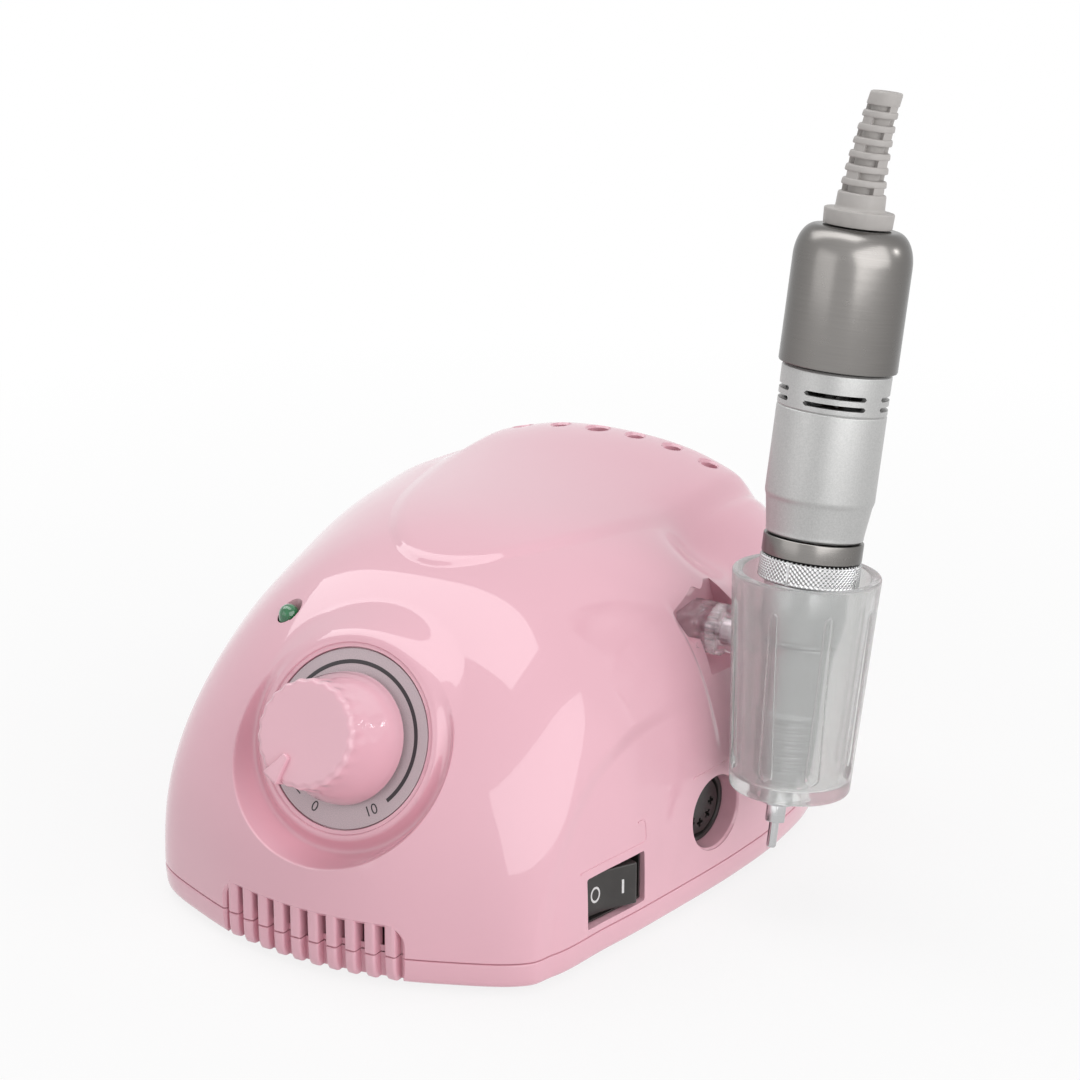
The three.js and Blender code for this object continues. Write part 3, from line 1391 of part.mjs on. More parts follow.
function bearing(low) {
  return solid(turned([[spindleRadius + fit, low], [boreRadius - fit, low], [boreRadius - fit, low + bearingLength],
    [spindleRadius + fit, low + bearingLength], [spindleRadius + fit, low]], 20));
}

function addHandpiece() {
  const group = addGroup(handpiecePlace);
  addPart('motor_sleeve', motorSleeve(), 'silver', group);
  addPart('rear_cap', rearCap(), 'darkNickel', group);
  addPart('strain_relief', strainRelief(), 'relief', group);
  addPart('front_grip', frontGrip(), 'silver', group);
  addPart('spacer_ring', ring(gripTopRadius - fit * 4, ringRadius, -fit - ringLength, -fit, 28), 'steel', group);
  addPart('lock_ring', knurledRing(), 'steel', group);

  const motorHollow = motorRadius - sleeveWall;
  const can = turned([
    [boreRadius, motorBottomZ], [sleeveLowRadius - sleeveWall - 2 * fit, motorBottomZ],
    [motorRadius, motorBottomZ + sleeveStepZ], [motorRadius, motorBottomZ + motorLength],
    [motorHollow, motorBottomZ + motorLength], [motorHollow, motorBottomZ + sleeveStepZ],
    [boreRadius, motorBottomZ + sleeveWall], [boreRadius, motorBottomZ],
  ], 20);
  addPart('motor_can', can, 'steel', group);
  const brushZ = motorBottomZ + motorLength + fit;
  addPart('brush_plate', ring(spindleRadius + fit, motorRadius, brushZ, brushZ + sleeveWall * 2, 24), 'blackPlastic', group);
  const fanZ = brushZ + sleeveWall * 2 + fit * 2;
  const shaftTop = fanZ + sleeveWall * 2;
  const armature = solid(turned([
    [0, motorBottomZ - fit * 4], [spindleRadius - fit, motorBottomZ - fit * 4], [spindleRadius - fit, motorBottomZ + sleeveStepZ + fit],
    [motorHollow - fit * 4, motorBottomZ + sleeveStepZ + fit], [motorHollow - fit * 4, motorBottomZ + motorLength - sleeveWall],
    [spindleRadius - fit, motorBottomZ + motorLength - sleeveWall], [spindleRadius - fit, shaftTop], [0, shaftTop],
  ], 16));
  addPart('motor_armature', armature, 'copper', group);
  const blades = [];
  const fanBlades = 6;
  for (let i = 0; i < fanBlades; i += 1) {
    const angle = i / fanBlades * Math.PI * 2;
    const reach = motorRadius - fit * 2 - spindleRadius;
    blades.push(solid(block(reach, sleeveWall / 2, sleeveWall * 1.5),
      at((spindleRadius + fit + reach / 2) * Math.cos(angle), (spindleRadius + fit + reach / 2) * Math.sin(angle), fanZ, 0, 0, angle)));
  }
  const fanHub = solid(ring(spindleRadius, spindleRadius + sleeveWall, fanZ, fanZ + sleeveWall * 1.5, 20));
  addPart('cooling_fan', joined(fanHub, ...blades), 'blackPlastic', group);

  const spindleTop = motorBottomZ - fit * 6;
  const spindleLow = gripBottomZ - noseLength + fit;
  const spindle = cutBy(
    solid(bar(spindleRadius, spindleTop - spindleLow, 16), at(0, 0, spindleLow)),
    solid(bar(spindleBoreRadius, spindleTop - spindleLow - overrun * 2, 12), at(0, 0, spindleLow - overrun)),
  );
  addPart('spindle', spindle, 'steel', group);
  addPart('rear_bearing', bearing(-ringLength - overrun), 'steel', group);
  addPart('front_bearing', bearing(gripBottomZ + overrun), 'steel', group);
  const nose = turned([
    [spindleRadius + fit, gripBottomZ - noseLength], [noseRadius - fit * 2, gripBottomZ - noseLength],
    [noseRadius, gripBottomZ - noseLength + fit * 2], [noseRadius, gripBottomZ - fit],
    [spindleRadius + fit, gripBottomZ - fit], [spindleRadius + fit, gripBottomZ - noseLength],
  ], 24);
  addPart('nose_cap', nose, 'steel', group);
  const colletLow = spindleLow - fit - colletLength;
  const collet = cutBy(
    joined(
      solid(bar(colletHexRadius, colletLength, 6), at(0, 0, colletLow)),
      solid(bar(spindleBoreRadius - fit, overrun + fit, 12), at(0, 0, colletLow + colletLength - fit)),
    ),
    solid(bar(pinRadius + fit / 2, overrun * 4, 12), at(0, 0, colletLow - overrun)),
  );
  addPart('collet', collet, 'steel', group);
  const pinTop = spindleLow + overrun / 2;
  const pin = turned([
    [0, pinTipZ], [pinRadius - fit / 2, pinTipZ], [pinRadius, pinTipZ + fit], [pinRadius, pinTop], [0, pinTop],
  ], 16);
  addPart('bit_shank', pin, 'steel', group);
}

addBaseAndShell();
addFeet();
addCaseScrews();
addTransformer();
addBoard();
addDial();
addLamp();
addSwitch('power_rocker', 'power_switch_body', powerPlace);
addSwitch('direction_rocker', 'direction_switch_body', directionPlace);
addPart('motor_socket', motorSocket(), 'blackPlastic', addGroup(socketPlace));
addRearPanel();
addCradle();
addHandpiece();

// The origin is the centre of the footprint of the whole drill, at the table
const bounds = new THREE.Box3().setFromObject(product, true);
const centre = bounds.getCenter(new THREE.Vector3());
product.position.set(-centre.x, -centre.y, -bounds.min.z);

export default product;
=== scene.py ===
# Electric nail drill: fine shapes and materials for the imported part's pieces, with floor, lights and camera.
# Shapes are worked out in millimetres in the box's own frame (+X the cradle side, -Y the dial side, +Z up),
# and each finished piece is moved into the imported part's frame, in metres.
from math import atan2, cos, exp, pi, radians, sin, sqrt

import bmesh
import bpy
import numpy as np
from mathutils import Matrix, Vector
from mathutils.bvhtree import BVHTree
from mathutils.interpolate import poly_3d_calc


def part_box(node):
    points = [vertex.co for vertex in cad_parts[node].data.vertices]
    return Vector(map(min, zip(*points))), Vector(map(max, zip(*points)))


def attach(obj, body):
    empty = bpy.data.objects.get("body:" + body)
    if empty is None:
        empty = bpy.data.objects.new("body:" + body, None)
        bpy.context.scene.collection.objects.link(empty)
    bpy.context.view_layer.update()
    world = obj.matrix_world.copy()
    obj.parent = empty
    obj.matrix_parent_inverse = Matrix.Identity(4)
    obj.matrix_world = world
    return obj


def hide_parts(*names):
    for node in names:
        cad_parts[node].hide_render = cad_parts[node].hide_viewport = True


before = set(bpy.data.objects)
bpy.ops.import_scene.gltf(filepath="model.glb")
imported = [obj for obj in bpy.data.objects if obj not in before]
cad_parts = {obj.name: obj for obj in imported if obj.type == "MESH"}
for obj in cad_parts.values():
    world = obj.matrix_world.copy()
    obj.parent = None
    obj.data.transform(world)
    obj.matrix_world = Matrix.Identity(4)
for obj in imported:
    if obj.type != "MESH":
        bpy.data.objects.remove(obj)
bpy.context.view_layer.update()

TURN = 2 * pi
METRES = 0.001
TINY = 1e-6

# Control box
HALF_WIDTH = 66.6
FRONT_Y = -80.3
REAR_Y = 84.2
CROWN_Z = 86.7
PARTING_Z = 8.0
PARTING_GAP = 0.3
CASE_WALL = 3.0
FLOOR_Z = 1.8
FLOOR_THICKNESS = 2.4
BASE_TUCK_IN = 1.1
HUB_Y = 5.0
FIT = 0.3
OVERRUN = 5.0
SEAM_OVERLAP = 0.03
ROOF_TILT, ROOF_BEND, ROOF_TWIST, ROOF_SIDE_FALL = 0.9, 13.7, 24.1, 12.2
PLAN_SHARES = [
    (0, -1), (0.33, -0.96), (0.616, -0.841), (0.785, -0.68), (0.871, -0.461), (0.931, -0.194),
    (0.985, 0.122), (1, 0.39), (0.953, 0.669), (0.781, 0.87), (0.435, 0.977), (0, 1),
]
PLAN_STEPS = 24
CASE_COLUMNS = 400
CASE_ROWS = 120
ROW_CROWDING = 1.6
FRONT_CROWDING = 0.45
LINING_COLUMNS = 96
LINING_ROWS = 32

# Dial
DIAL_Y, DIAL_Z, DIAL_TILT = -59.3, 51.4, radians(24.8)
DIAL_RADIUS, DIAL_THICKNESS = 21.1, 0.8
DIAL_SEAT = -DIAL_THICKNESS - FIT
RIM_HEIGHT = 0.8
POD_REACH = 34.6
POD_DEPTH = 6.0
POD_SKIRT, POD_CLEAR = 3.2, 15.0

# Cradle and handpiece
PIVOT_X, PIVOT_Y, PIVOT_Z = 55.4, 17.0, 63.3
CUP_LENGTH, CUP_TOP, CUP_BOTTOM, CUP_WALL, CUP_FLOOR = 53.6, 17.7, 14.4, 2.6, 2.8


def placed(x=0.0, y=0.0, z=0.0, turn_x=0.0, turn_y=0.0, turn_z=0.0):
    """A place in millimetres, turned about X first in its own frame, then Y, then Z."""
    turn = Matrix.Rotation(turn_x, 4, "X") @ Matrix.Rotation(turn_y, 4, "Y") @ Matrix.Rotation(turn_z, 4, "Z")
    return Matrix.Translation((x, y, z)) @ turn


def framed(along, up, out, origin):
    """A place whose own X, Y and Z point along, up and out."""
    matrix = Matrix((along, up, out)).transposed().to_4x4()
    matrix.translation = origin
    return matrix


def side_place(side, x, y, z, turn):
    """A place on a side wall, its own Z pointing out and turned towards the front."""
    out = Vector((side * cos(turn), -sin(turn), 0))
    up = Vector((0, 0, 1))
    return framed(up.cross(out), up, out, (side * x, y, z))


DIAL_PLACE = placed(0, DIAL_Y, DIAL_Z, pi / 2 - DIAL_TILT)
CUP_X = 81
CUP_PLACE = placed(CUP_X, 14.6, 83.9, -radians(7))
HANDPIECE_PLACE = placed(CUP_X, 17.8, 92.1, -radians(13.2), radians(0.5))
POWER_PLACE, DIRECTION_PLACE = (side_place(side, 58.1, -35.2, 16.4, radians(12.8)) for side in (1, -1))
SOCKET_PLACE = side_place(1, 64.2, 2.8, 22.4, radians(8.2))
FOOT_PLACES = [(38, -44), (-38, -44), (44, 64), (-44, 64)]
SCREW_PLACES = [(38, -54), (-38, -54), (48, 57), (-48, 57)]


def box_to_row():
    """The move from the box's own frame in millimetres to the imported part's frame in metres."""
    low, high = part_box("foot_1")
    middle = (low + high) / 2
    x, y = FOOT_PLACES[0]
    shift = Vector((middle.x - x * METRES, middle.y - y * METRES, 0))
    return Matrix.Translation(shift) @ Matrix.Scale(METRES, 4)


TO_ROW = box_to_row()


# Outlines and profiles


def smooth(low, high, value):
    share = np.clip((value - low) / (high - low), 0, 1)
    return share * share * (3 - 2 * share)


def soft_min(a, b, reach):
    """The lower of two heights, with the corner between them rounded over that reach."""
    return np.minimum(a, b) - np.maximum(reach - np.abs(a - b), 0) ** 2 / (4 * reach)


def soft_max(a, b, reach):
    return -soft_min(-a, -b, reach)


def softened(points, radius, steps=4, closed=False):
    """The outline with each corner rounded; a point's own third number stands in for the radius."""
    count = len(points)
    result = []
    for i, point in enumerate(points):
        here = Vector(point[:2])
        own = point[2] if len(point) > 2 else radius
        if own <= 0 or (not closed and i in (0, count - 1)):
            result.append(tuple(here))
            continue
        before = Vector(points[i - 1][:2]) - here
        after = Vector(points[(i + 1) % count][:2]) - here
        reach = min(own, before.length * 0.48, after.length * 0.48)
        start, end = here + before.normalized() * reach, here + after.normalized() * reach
        for step in range(steps + 1):
            t = step / steps
            result.append(tuple(start * (1 - t) ** 2 + here * 2 * t * (1 - t) + end * t * t))
    return result


def rounded(points, radius, steps=4):
    """A closed outline with each corner rounded."""
    return softened(points, radius, steps, closed=True)


def quarter(steps):
    """Cosine and sine of even turns from 0 to a right angle."""
    turns = [i / steps * pi / 2 for i in range(steps + 1)]
    return [(cos(turn), sin(turn)) for turn in turns]


def rectangle(width, height, radius, steps=6):
    w, h = width / 2, height / 2
    return rounded([(-w, -h), (w, -h), (w, h), (-w, h)], radius, steps)


def polar(radius, angle):
    return radius * cos(angle), radius * sin(angle)


def circle(radius, sides):
    return [polar(radius, i / sides * TURN) for i in range(sides)]


def widened(outline, distance):
    """A closed outline moved outwards by the distance, or inwards where it is below zero."""
    points = np.array(outline, float)
    ahead = np.roll(points, -1, 0) - points
    ahead /= np.maximum(np.linalg.norm(ahead, axis=1, keepdims=True), TINY)
    right = np.stack([ahead[:, 1], -ahead[:, 0]], 1)
    both = right + np.roll(right, 1, 0)
    both /= np.maximum((1 + (right * np.roll(right, 1, 0)).sum(1, keepdims=True)), 0.2)
    return points + both * distance


class Shape:
    """Points in millimetres and the faces that join them."""

    def __init__(self, points, faces):
        self.points = np.array(points, float).reshape(-1, 3)
        self.faces = [tuple(face) for face in faces]

    def at(self, matrix):
        turn = np.array(matrix.to_3x3())
        return Shape(self.points @ turn.T + np.array(matrix.translation), self.faces)

    def __add__(self, other):
        start = len(self.points)
        more = [tuple(i + start for i in face) for face in other.faces]
        return Shape(np.vstack([self.points, other.points]), self.faces + more)


def together(shapes):
    total = shapes[0]
    for shape in shapes[1:]:
        total = total + shape
    return total


def rings_shape(rings, caps=True, loop=False):
    """A skin over rings of points; a ring whose points all coincide closes to one point."""
    rings = np.array(rings, float)
    count = rings.shape[1]
    points, index = [], []
    for ring in rings:
        if np.ptp(ring, axis=0).max() < TINY:
            index.append([len(points)] * count)
            points.append(ring[0])
        else:
            index.append(list(range(len(points), len(points) + count)))
            points.extend(ring)
    faces = []
    pairs = list(zip(index, index[1:])) + ([(index[-1], index[0])] if loop else [])
    for low, high in pairs:
        for a in range(count):
            b = (a + 1) % count
            face = list(dict.fromkeys((low[a], low[b], high[b], high[a])))
            if len(face) > 2:
                faces.append(face)
    if caps and not loop:
        if index[0][0] != index[0][1]:
            faces.append(index[0][::-1])
        if index[-1][0] != index[-1][1]:
            faces.append(index[-1])
    return Shape(points, faces)


def lathe(profile, sides=96, loop=False):
    """A profile of (radius, height) points turned about Z."""
    angle = np.arange(sides) / sides * TURN
    rings = [np.stack([r * np.cos(angle), r * np.sin(angle), np.full(sides, z)], 1) for r, z in profile]
    return rings_shape(rings, loop=loop)


def solid_lathe(profile, radius=0.3, sides=96, steps=3):
    """A profile from the axis to the axis, with its corners rounded."""
    return lathe(softened(profile, radius, steps), sides)


def ring_lathe(profile, radius=0.2, sides=96, steps=3):
    """A closed profile that doesn't touch the axis, with its corners rounded."""
    return lathe(rounded(profile, radius, steps), sides, loop=True)


def plug(radius, low, high, sides=96):
    """A plain round plug on Z from low to high."""
    return lathe([(0, low), (radius, low), (radius, high), (0, high)], sides)


def pipe(inner, outer, low, high, sides=96):
    """A plain round pipe on Z from low to high."""
    return lathe([(inner, low), (outer, low), (outer, high), (inner, high)], sides, loop=True)


def prism(outline, low, high, edge=0.0, steps=3):
    """A closed outline raised from low to high, with both edges rounded."""
    foot = [(edge * (1 - c), -edge * (1 - s)) for c, s in (quarter(steps) if edge > 0 else [(1, 0)])]
    levels = [(low + rise, inset) for rise, inset in foot]
    levels += [(high - rise, inset) for rise, inset in reversed(foot)]
    rings = []
    for z, inset in levels:
        points = widened(outline, inset)
        rings.append(np.column_stack([points, np.full(len(points), z)]))
    return rings_shape(rings)


def rod(radius, low, high, sides=24, x=0.0, y=0.0, edge=0.0):
    """An upright round bar over a point of the plan."""
    return prism(circle(radius, sides), low, high, edge).at(placed(x, y))


def lattice(points, open_side=None):
    """The closed skin of a three-way array of points; open_side leaves out the last index of that way."""
    points = np.array(points, float)
    counts = points.shape[:3]
    number = np.arange(np.prod(counts)).reshape(counts)
    faces = []
    for way in range(3):
        for end in (0, -1):
            if open_side == (way, end):
                continue
            sheet = np.take(number, end, axis=way)
            corners = np.stack([sheet[:-1, :-1], sheet[1:, :-1], sheet[1:, 1:], sheet[:-1, 1:]], -1)
            faces.extend(corners.reshape(-1, 4).tolist())
    used = sorted({i for face in faces for i in face})
    renumber = {old: new for new, old in enumerate(used)}
    return Shape(points.reshape(-1, 3)[used], [[renumber[i] for i in face] for face in faces])


# Blender objects


def solid(name, shape):
    """A mesh object of the shape, its doubled points joined and its faces turned outwards."""
    mesh = bpy.data.meshes.new(name)
    mesh.from_pydata(shape.points.tolist(), [], shape.faces)
    work = bmesh.new()
    work.from_mesh(mesh)
    bmesh.ops.remove_doubles(work, verts=work.verts, dist=1e-4)
    bmesh.ops.dissolve_degenerate(work, edges=work.edges, dist=1e-5)
    bmesh.ops.recalc_face_normals(work, faces=work.faces)
    work.to_mesh(mesh)
    work.free()
    piece = bpy.data.objects.new(name, mesh)
    bpy.context.scene.collection.objects.link(piece)
    return piece


def settled(piece):
    """Bakes the piece's modifiers into its mesh."""
    graph = bpy.context.evaluated_depsgraph_get()
    mesh = bpy.data.meshes.new_from_object(piece.evaluated_get(graph))
    piece.modifiers.clear()
    old = piece.data
    piece.data = mesh
    bpy.data.meshes.remove(old)
    return piece


def combined(piece, operation, *shapes):
    """Cuts the shapes from the piece, joins them to it or keeps what they share."""
    for shape in shapes:
        other = shape if isinstance(shape, bpy.types.Object) else solid("other", shape)
        modifier = piece.modifiers.new("combine", "BOOLEAN")
        modifier.operation = operation
        modifier.solver = "MANIFOLD"
        modifier.object = other
        settled(piece)
        mesh = other.data
        bpy.data.objects.remove(other)
        bpy.data.meshes.remove(mesh)
    return piece


def cut(piece, *shapes):
    return combined(piece, "DIFFERENCE", *shapes)


def join(piece, *shapes):
    return combined(piece, "UNION", *shapes)


class Skin:
    """A smooth surface sampled as rows of points with their exact normals."""

    def __init__(self, points, normals, closed):
        rows, columns = points.shape[:2]
        number = np.arange(rows * columns).reshape(rows, columns)
        if closed:
            number = np.column_stack([number, number[:, 0]])
        corners = [number[:-1, :-1], number[:-1, 1:], number[1:, 1:], number[1:, :-1]]
        a, b, c, d = (corner.reshape(-1) for corner in corners)
        self.triangles = np.vstack([np.column_stack([a, b, c]), np.column_stack([a, c, d])]).tolist()
        self.points = [Vector(point) for point in points.reshape(-1, 3)]
        self.normals = [Vector(normal) for normal in normals.reshape(-1, 3)]
        self.tree = BVHTree.FromPolygons(self.points, self.triangles, all_triangles=True)

    def normal_at(self, place, index):
        corners = self.triangles[index]
        weights = poly_3d_calc([self.points[i] for i in corners], place)
        return sum((self.normals[i] * w for i, w in zip(corners, weights)), Vector()).normalized()

    def nearest(self, point):
        place, _, index, distance = self.tree.find_nearest(point)
        return self.normal_at(place, index), distance

    def met(self, start, direction):
        """Where a straight line meets the skin, and the skin's normal there."""
        place, _, index, _ = self.tree.ray_cast(start, direction)
        return place, self.normal_at(place, index)


SKIN_TOLERANCE = 0.08
SKIN_AGREEMENT = 0.8
SLIVER_WIDTH = 0.07
SHARP_ANGLE = radians(32)


def shaded(piece, angle=SHARP_ANGLE):
    mesh = piece.data
    mesh.shade_smooth()
    mesh.set_sharp_from_angle(angle=angle)
    return piece


def polished(piece, skins):
    """Gives each face on one of the skins that skin's exact normals, so cuts leave no marks in the gloss."""
    shaded(piece)
    mesh = piece.data
    normals = np.zeros((len(mesh.loops), 3))
    known = {}
    for polygon in mesh.polygons:
        best, least = None, SKIN_TOLERANCE
        corners = [mesh.vertices[i].co for i in polygon.vertices]
        girth = sum((a - b).length for a, b in zip(corners, corners[1:] + corners[:1]))
        thin = 2 * polygon.area < SLIVER_WIDTH * girth
        for number, skin in enumerate(skins):
            normal, distance = skin.nearest(polygon.center)
            agrees = thin or normal.dot(polygon.normal) > SKIN_AGREEMENT
            if distance < least and agrees:
                best, least = number, distance
        if best is None:
            continue
        for loop in polygon.loop_indices:
            vertex = mesh.loops[loop].vertex_index
            key = (best, vertex)
            if key not in known:
                known[key] = skins[best].nearest(mesh.vertices[vertex].co)[0]
            normals[loop] = known[key]
    mesh.normals_split_custom_set(normals.tolist())
    return piece


def finished(piece, name, body, material, *nodes, slot=None, place=None, angle=SHARP_ANGLE):
    """Shades the piece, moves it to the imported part's frame, dresses it and lets it stand for its nodes."""
    if angle:
        shaded(piece, angle)
    mesh = piece.data
    own = mesh.attributes.new("place", "FLOAT_VECTOR", "POINT")
    points = np.empty(len(mesh.vertices) * 3, np.float32)
    mesh.vertices.foreach_get("co", points)
    own.data.foreach_set("vector", points)
    mesh.transform(TO_ROW @ (place or Matrix.Identity(4)))
    mesh.materials.clear()
    mesh.materials.append(MATERIALS[material])
    piece.name = mesh.name = name
    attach(piece, body)
    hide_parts(*nodes)
    return piece


# Node trees


class Wire:
    """One output in a node tree; arithmetic on it adds Math nodes."""

    def __init__(self, graph, socket):
        self.graph, self.socket = graph, socket

    def math(self, operation, *others, clamp=False):
        inputs = dict(enumerate((self, *others)))
        return self.graph.add("ShaderNodeMath", {"operation": operation, "use_clamp": clamp}, inputs)

    def __add__(self, other):
        return self.math("ADD", other)

    def __sub__(self, other):
        return self.math("SUBTRACT", other)

    def __mul__(self, other):
        return self.math("MULTIPLY", other)

    def __truediv__(self, other):
        return self.math("DIVIDE", other)

    def __rsub__(self, other):
        return self.graph.add("ShaderNodeMath", {"operation": "SUBTRACT"}, {0: other, 1: self})

    __radd__ = __add__
    __rmul__ = __mul__


class Graph:
    """A node tree under construction."""

    def __init__(self, tree):
        self.tree = tree

    def add(self, kind, settings=None, inputs=None, output=0):
        """Adds a node of the kind and returns the wire from one of its outputs."""
        node = self.tree.nodes.new(kind)
        for key, value in (settings or {}).items():
            setattr(node, key, value)
        for key, value in (inputs or {}).items():
            if isinstance(value, Wire):
                self.tree.links.new(value.socket, node.inputs[key])
            else:
                node.inputs[key].default_value = value
        return Wire(self, node.outputs[output])

    def split(self, vector):
        node = self.tree.nodes.new("ShaderNodeSeparateXYZ")
        self.tree.links.new(vector.socket, node.inputs[0])
        return [Wire(self, output) for output in node.outputs]


def linear(red, green, blue):
    """A colour as it looks on a screen, 0 to 255, as the light it stands for."""
    shares = [value / 255 for value in (red, green, blue)]
    return [s / 12.92 if s <= 0.04045 else ((s + 0.055) / 1.055) ** 2.4 for s in shares]


class Look(Graph):
    """A material under construction."""

    def __init__(self, name, colour, roughness, metallic=0.0, own_place=False, **sockets):
        self.material = bpy.data.materials.new(name)
        self.material.use_nodes = True
        super().__init__(self.material.node_tree)
        self.shader = self.tree.nodes["Principled BSDF"]
        self.colour, self.roughness = colour, roughness
        self.set(Base_Color=(*colour, 1), Roughness=roughness, Metallic=metallic, **sockets)
        self.place = self.own_millimetres() if own_place else self.row_millimetres()
        self.height = None

    def set(self, **sockets):
        """Sets or links the shader's inputs, named with underscores for spaces."""
        for key, value in sockets.items():
            socket = self.shader.inputs[key.replace("_", " ")]
            if isinstance(value, Wire):
                self.tree.links.new(value.socket, socket)
            else:
                socket.default_value = value

    def row_millimetres(self):
        point = self.add("ShaderNodeTexCoord", output=3)
        return self.add("ShaderNodeVectorMath", {"operation": "SCALE"}, {0: point, "Scale": 1 / METRES})

    def own_millimetres(self):
        return self.add("ShaderNodeAttribute", {"attribute_name": "place"}, output=1)

    def stretched(self, x=1.0, y=1.0, z=1.0):
        return self.add("ShaderNodeVectorMath", {"operation": "MULTIPLY"}, {0: self.place, 1: (x, y, z)})

    def noise(self, scale, detail=2.0, place=None, roughness=0.5):
        inputs = {"Vector": place or self.place, "Scale": scale, "Detail": detail, "Roughness": roughness}
        return self.add("ShaderNodeTexNoise", {}, inputs)

    def cells(self, scale, feature="F1", place=None):
        inputs = {"Vector": place or self.place, "Scale": scale}
        return self.add("ShaderNodeTexVoronoi", {"feature": feature}, inputs)

    def vary_colour(self, share, other):
        """Lets the base colour run towards another colour by a share wire."""
        mixed = self.add(
            "ShaderNodeMix", {"data_type": "RGBA"}, {0: share, 6: (*self.colour, 1), 7: (*other, 1)},
            output=2,
        )
        self.set(Base_Color=mixed)
        return mixed

    def vary_roughness(self, share, spread):
        self.set(Roughness=share * (2 * spread) + (self.roughness - spread))

    def uneven(self, colour, roughness, height):
        """Varies the colour, the roughness and the height, each by a share wire and a measure."""
        self.vary_colour(*colour)
        self.vary_roughness(*roughness)
        self.raise_by(*height)
        return self.material

    def paint_shade_at_edges(self, mixed, blend, other):
        """Paints shade: runs a mixed colour towards another, darker one where the surface turns away from
        view.
        """
        turned = self.add("ShaderNodeLayerWeight", {}, {"Blend": blend}, output=1)
        painted_shade_mix = self.add(
            "ShaderNodeMix", {"data_type": "RGBA"}, {0: turned, 6: mixed, 7: (*other, 1)}, output=2,
        )
        self.set(Base_Color=painted_shade_mix)

    def raise_by(self, height, distance, strength=1.0):
        """Bumps the surface by the height wire; the distance is in millimetres."""
        inputs = {"Height": height, "Distance": distance * METRES, "Strength": strength}
        if self.height:
            inputs["Normal"] = self.height
        self.height = self.add("ShaderNodeBump", {}, inputs)
        self.set(Normal=self.height)


PINK = linear(233, 181, 194)


def pink_plastic():
    look = Look(
        "glossy_pink_plastic", PINK, 0.3,
        Coat_Weight=1.0, Coat_Roughness=0.035, Specular_IOR_Level=0.1,
    )
    cloud = look.noise(0.02, 3)
    look.vary_colour(cloud, linear(235, 184, 197))
    look.vary_roughness(look.noise(0.3, 4), 0.04)
    look.raise_by(look.noise(0.22, 2), 0.012)
    look.raise_by(look.noise(2.4, 3), 0.0012)
    return look.material


def foot_rubber():
    look = Look("matt_black_rubber", (0.03, 0.03, 0.031), 0.78)
    grain = look.noise(3, 5)
    return look.uneven((grain, (0.055, 0.055, 0.056)), (grain, 0.08), (grain, 0.05))


def turned_steel():
    look = Look("turned_bright_steel", (0.42, 0.42, 0.425), 0.2, 1.0, own_place=True)
    rings = look.noise(1.0, 4, look.stretched(0.05, 0.05, 9))
    return look.uneven((rings, (0.62, 0.62, 0.625)), (look.noise(0.6, 3), 0.05), (rings, 0.006))


def plain_steel():
    look = Look("plain_steel", (0.5, 0.5, 0.51), 0.34, 1.0)
    grain = look.noise(1.2, 5, look.stretched(1, 1, 6))
    return look.uneven((grain, (0.66, 0.66, 0.67)), (look.noise(0.4, 3), 0.1), (grain, 0.004))


def dial_grey():
    look = Look("satin_grey_plate", linear(216, 197, 203), 0.42, 0.1, own_place=True)
    fleck = look.noise(4.5, 2)
    return look.uneven((fleck, linear(158, 151, 153)), (look.noise(6, 2), 0.08), (fleck, 0.008))


def brushed_aluminium():
    look = Look("brushed_aluminium", (0.6, 0.61, 0.62), 0.36, 1.0)
    brush = look.noise(1.0, 4, look.stretched(0.4, 7, 0.4))
    return look.uneven((brush, (0.74, 0.75, 0.76)), (brush, 0.06), (brush, 0.005))


def green_lens():
    look = Look(
        "clear_green_lens", (0.006, 0.3, 0.09), 0.08,
        Coat_Weight=1.0, Coat_Roughness=0.02, Transmission_Weight=0.35,
    )
    facets = look.cells(0.7)
    look.vary_colour(facets, (0.003, 0.15, 0.045))
    look.raise_by(look.noise(0.5, 1), 0.01)
    return look.material


def black_plastic():
    look = Look("black_moulded_plastic", (0.022, 0.02, 0.019), 0.36)
    grain = look.noise(4.0, 3)
    return look.uneven((look.noise(0.3, 3), (0.04, 0.036, 0.034)), (grain, 0.07), (grain, 0.012))


def laminated_iron():
    look = Look("varnished_laminations", (0.17, 0.16, 0.15), 0.42, 0.7)
    _, y, _ = look.split(look.place)
    sheet = (y * TURN * 2).math("SINE") * 0.5 + 0.5
    return look.uneven((sheet, (0.05, 0.05, 0.055)), (look.noise(0.8, 3), 0.1), (sheet, 0.05))


def copper_wire():
    look = Look("enamelled_copper_wire", (0.42, 0.13, 0.035), 0.3, 0.9)
    _, _, z = look.split(look.place)
    strand = (z * TURN * 1.6).math("SINE").math("ABSOLUTE")
    return look.uneven((strand, (0.72, 0.3, 0.1)), (look.noise(1.5, 3), 0.08), (strand, 0.12))


def circuit_board():
    look = Look(
        "green_circuit_board", (0.015, 0.13, 0.045), 0.32, Coat_Weight=0.5, Coat_Roughness=0.15,
    )
    tracks = look.cells(0.28, "DISTANCE_TO_EDGE").math("GREATER_THAN", 0.06)
    return look.uneven((tracks, (0.03, 0.26, 0.09)), (look.noise(0.7, 3), 0.06), (tracks, 0.03))


def capacitor_sleeve():
    look = Look("blue_shrink_sleeve", (0.012, 0.03, 0.12), 0.28, Coat_Weight=0.4)
    x, _, _ = look.split(look.place)
    stripe = (x * 0.21).math("SINE").math("GREATER_THAN", 0.9)
    return look.uneven(
        (stripe, (0.6, 0.62, 0.66)),
        (look.noise(1, 3), 0.05),
        (look.noise(0.5, 2, look.stretched(1, 1, 0.2)), 0.03),
    )


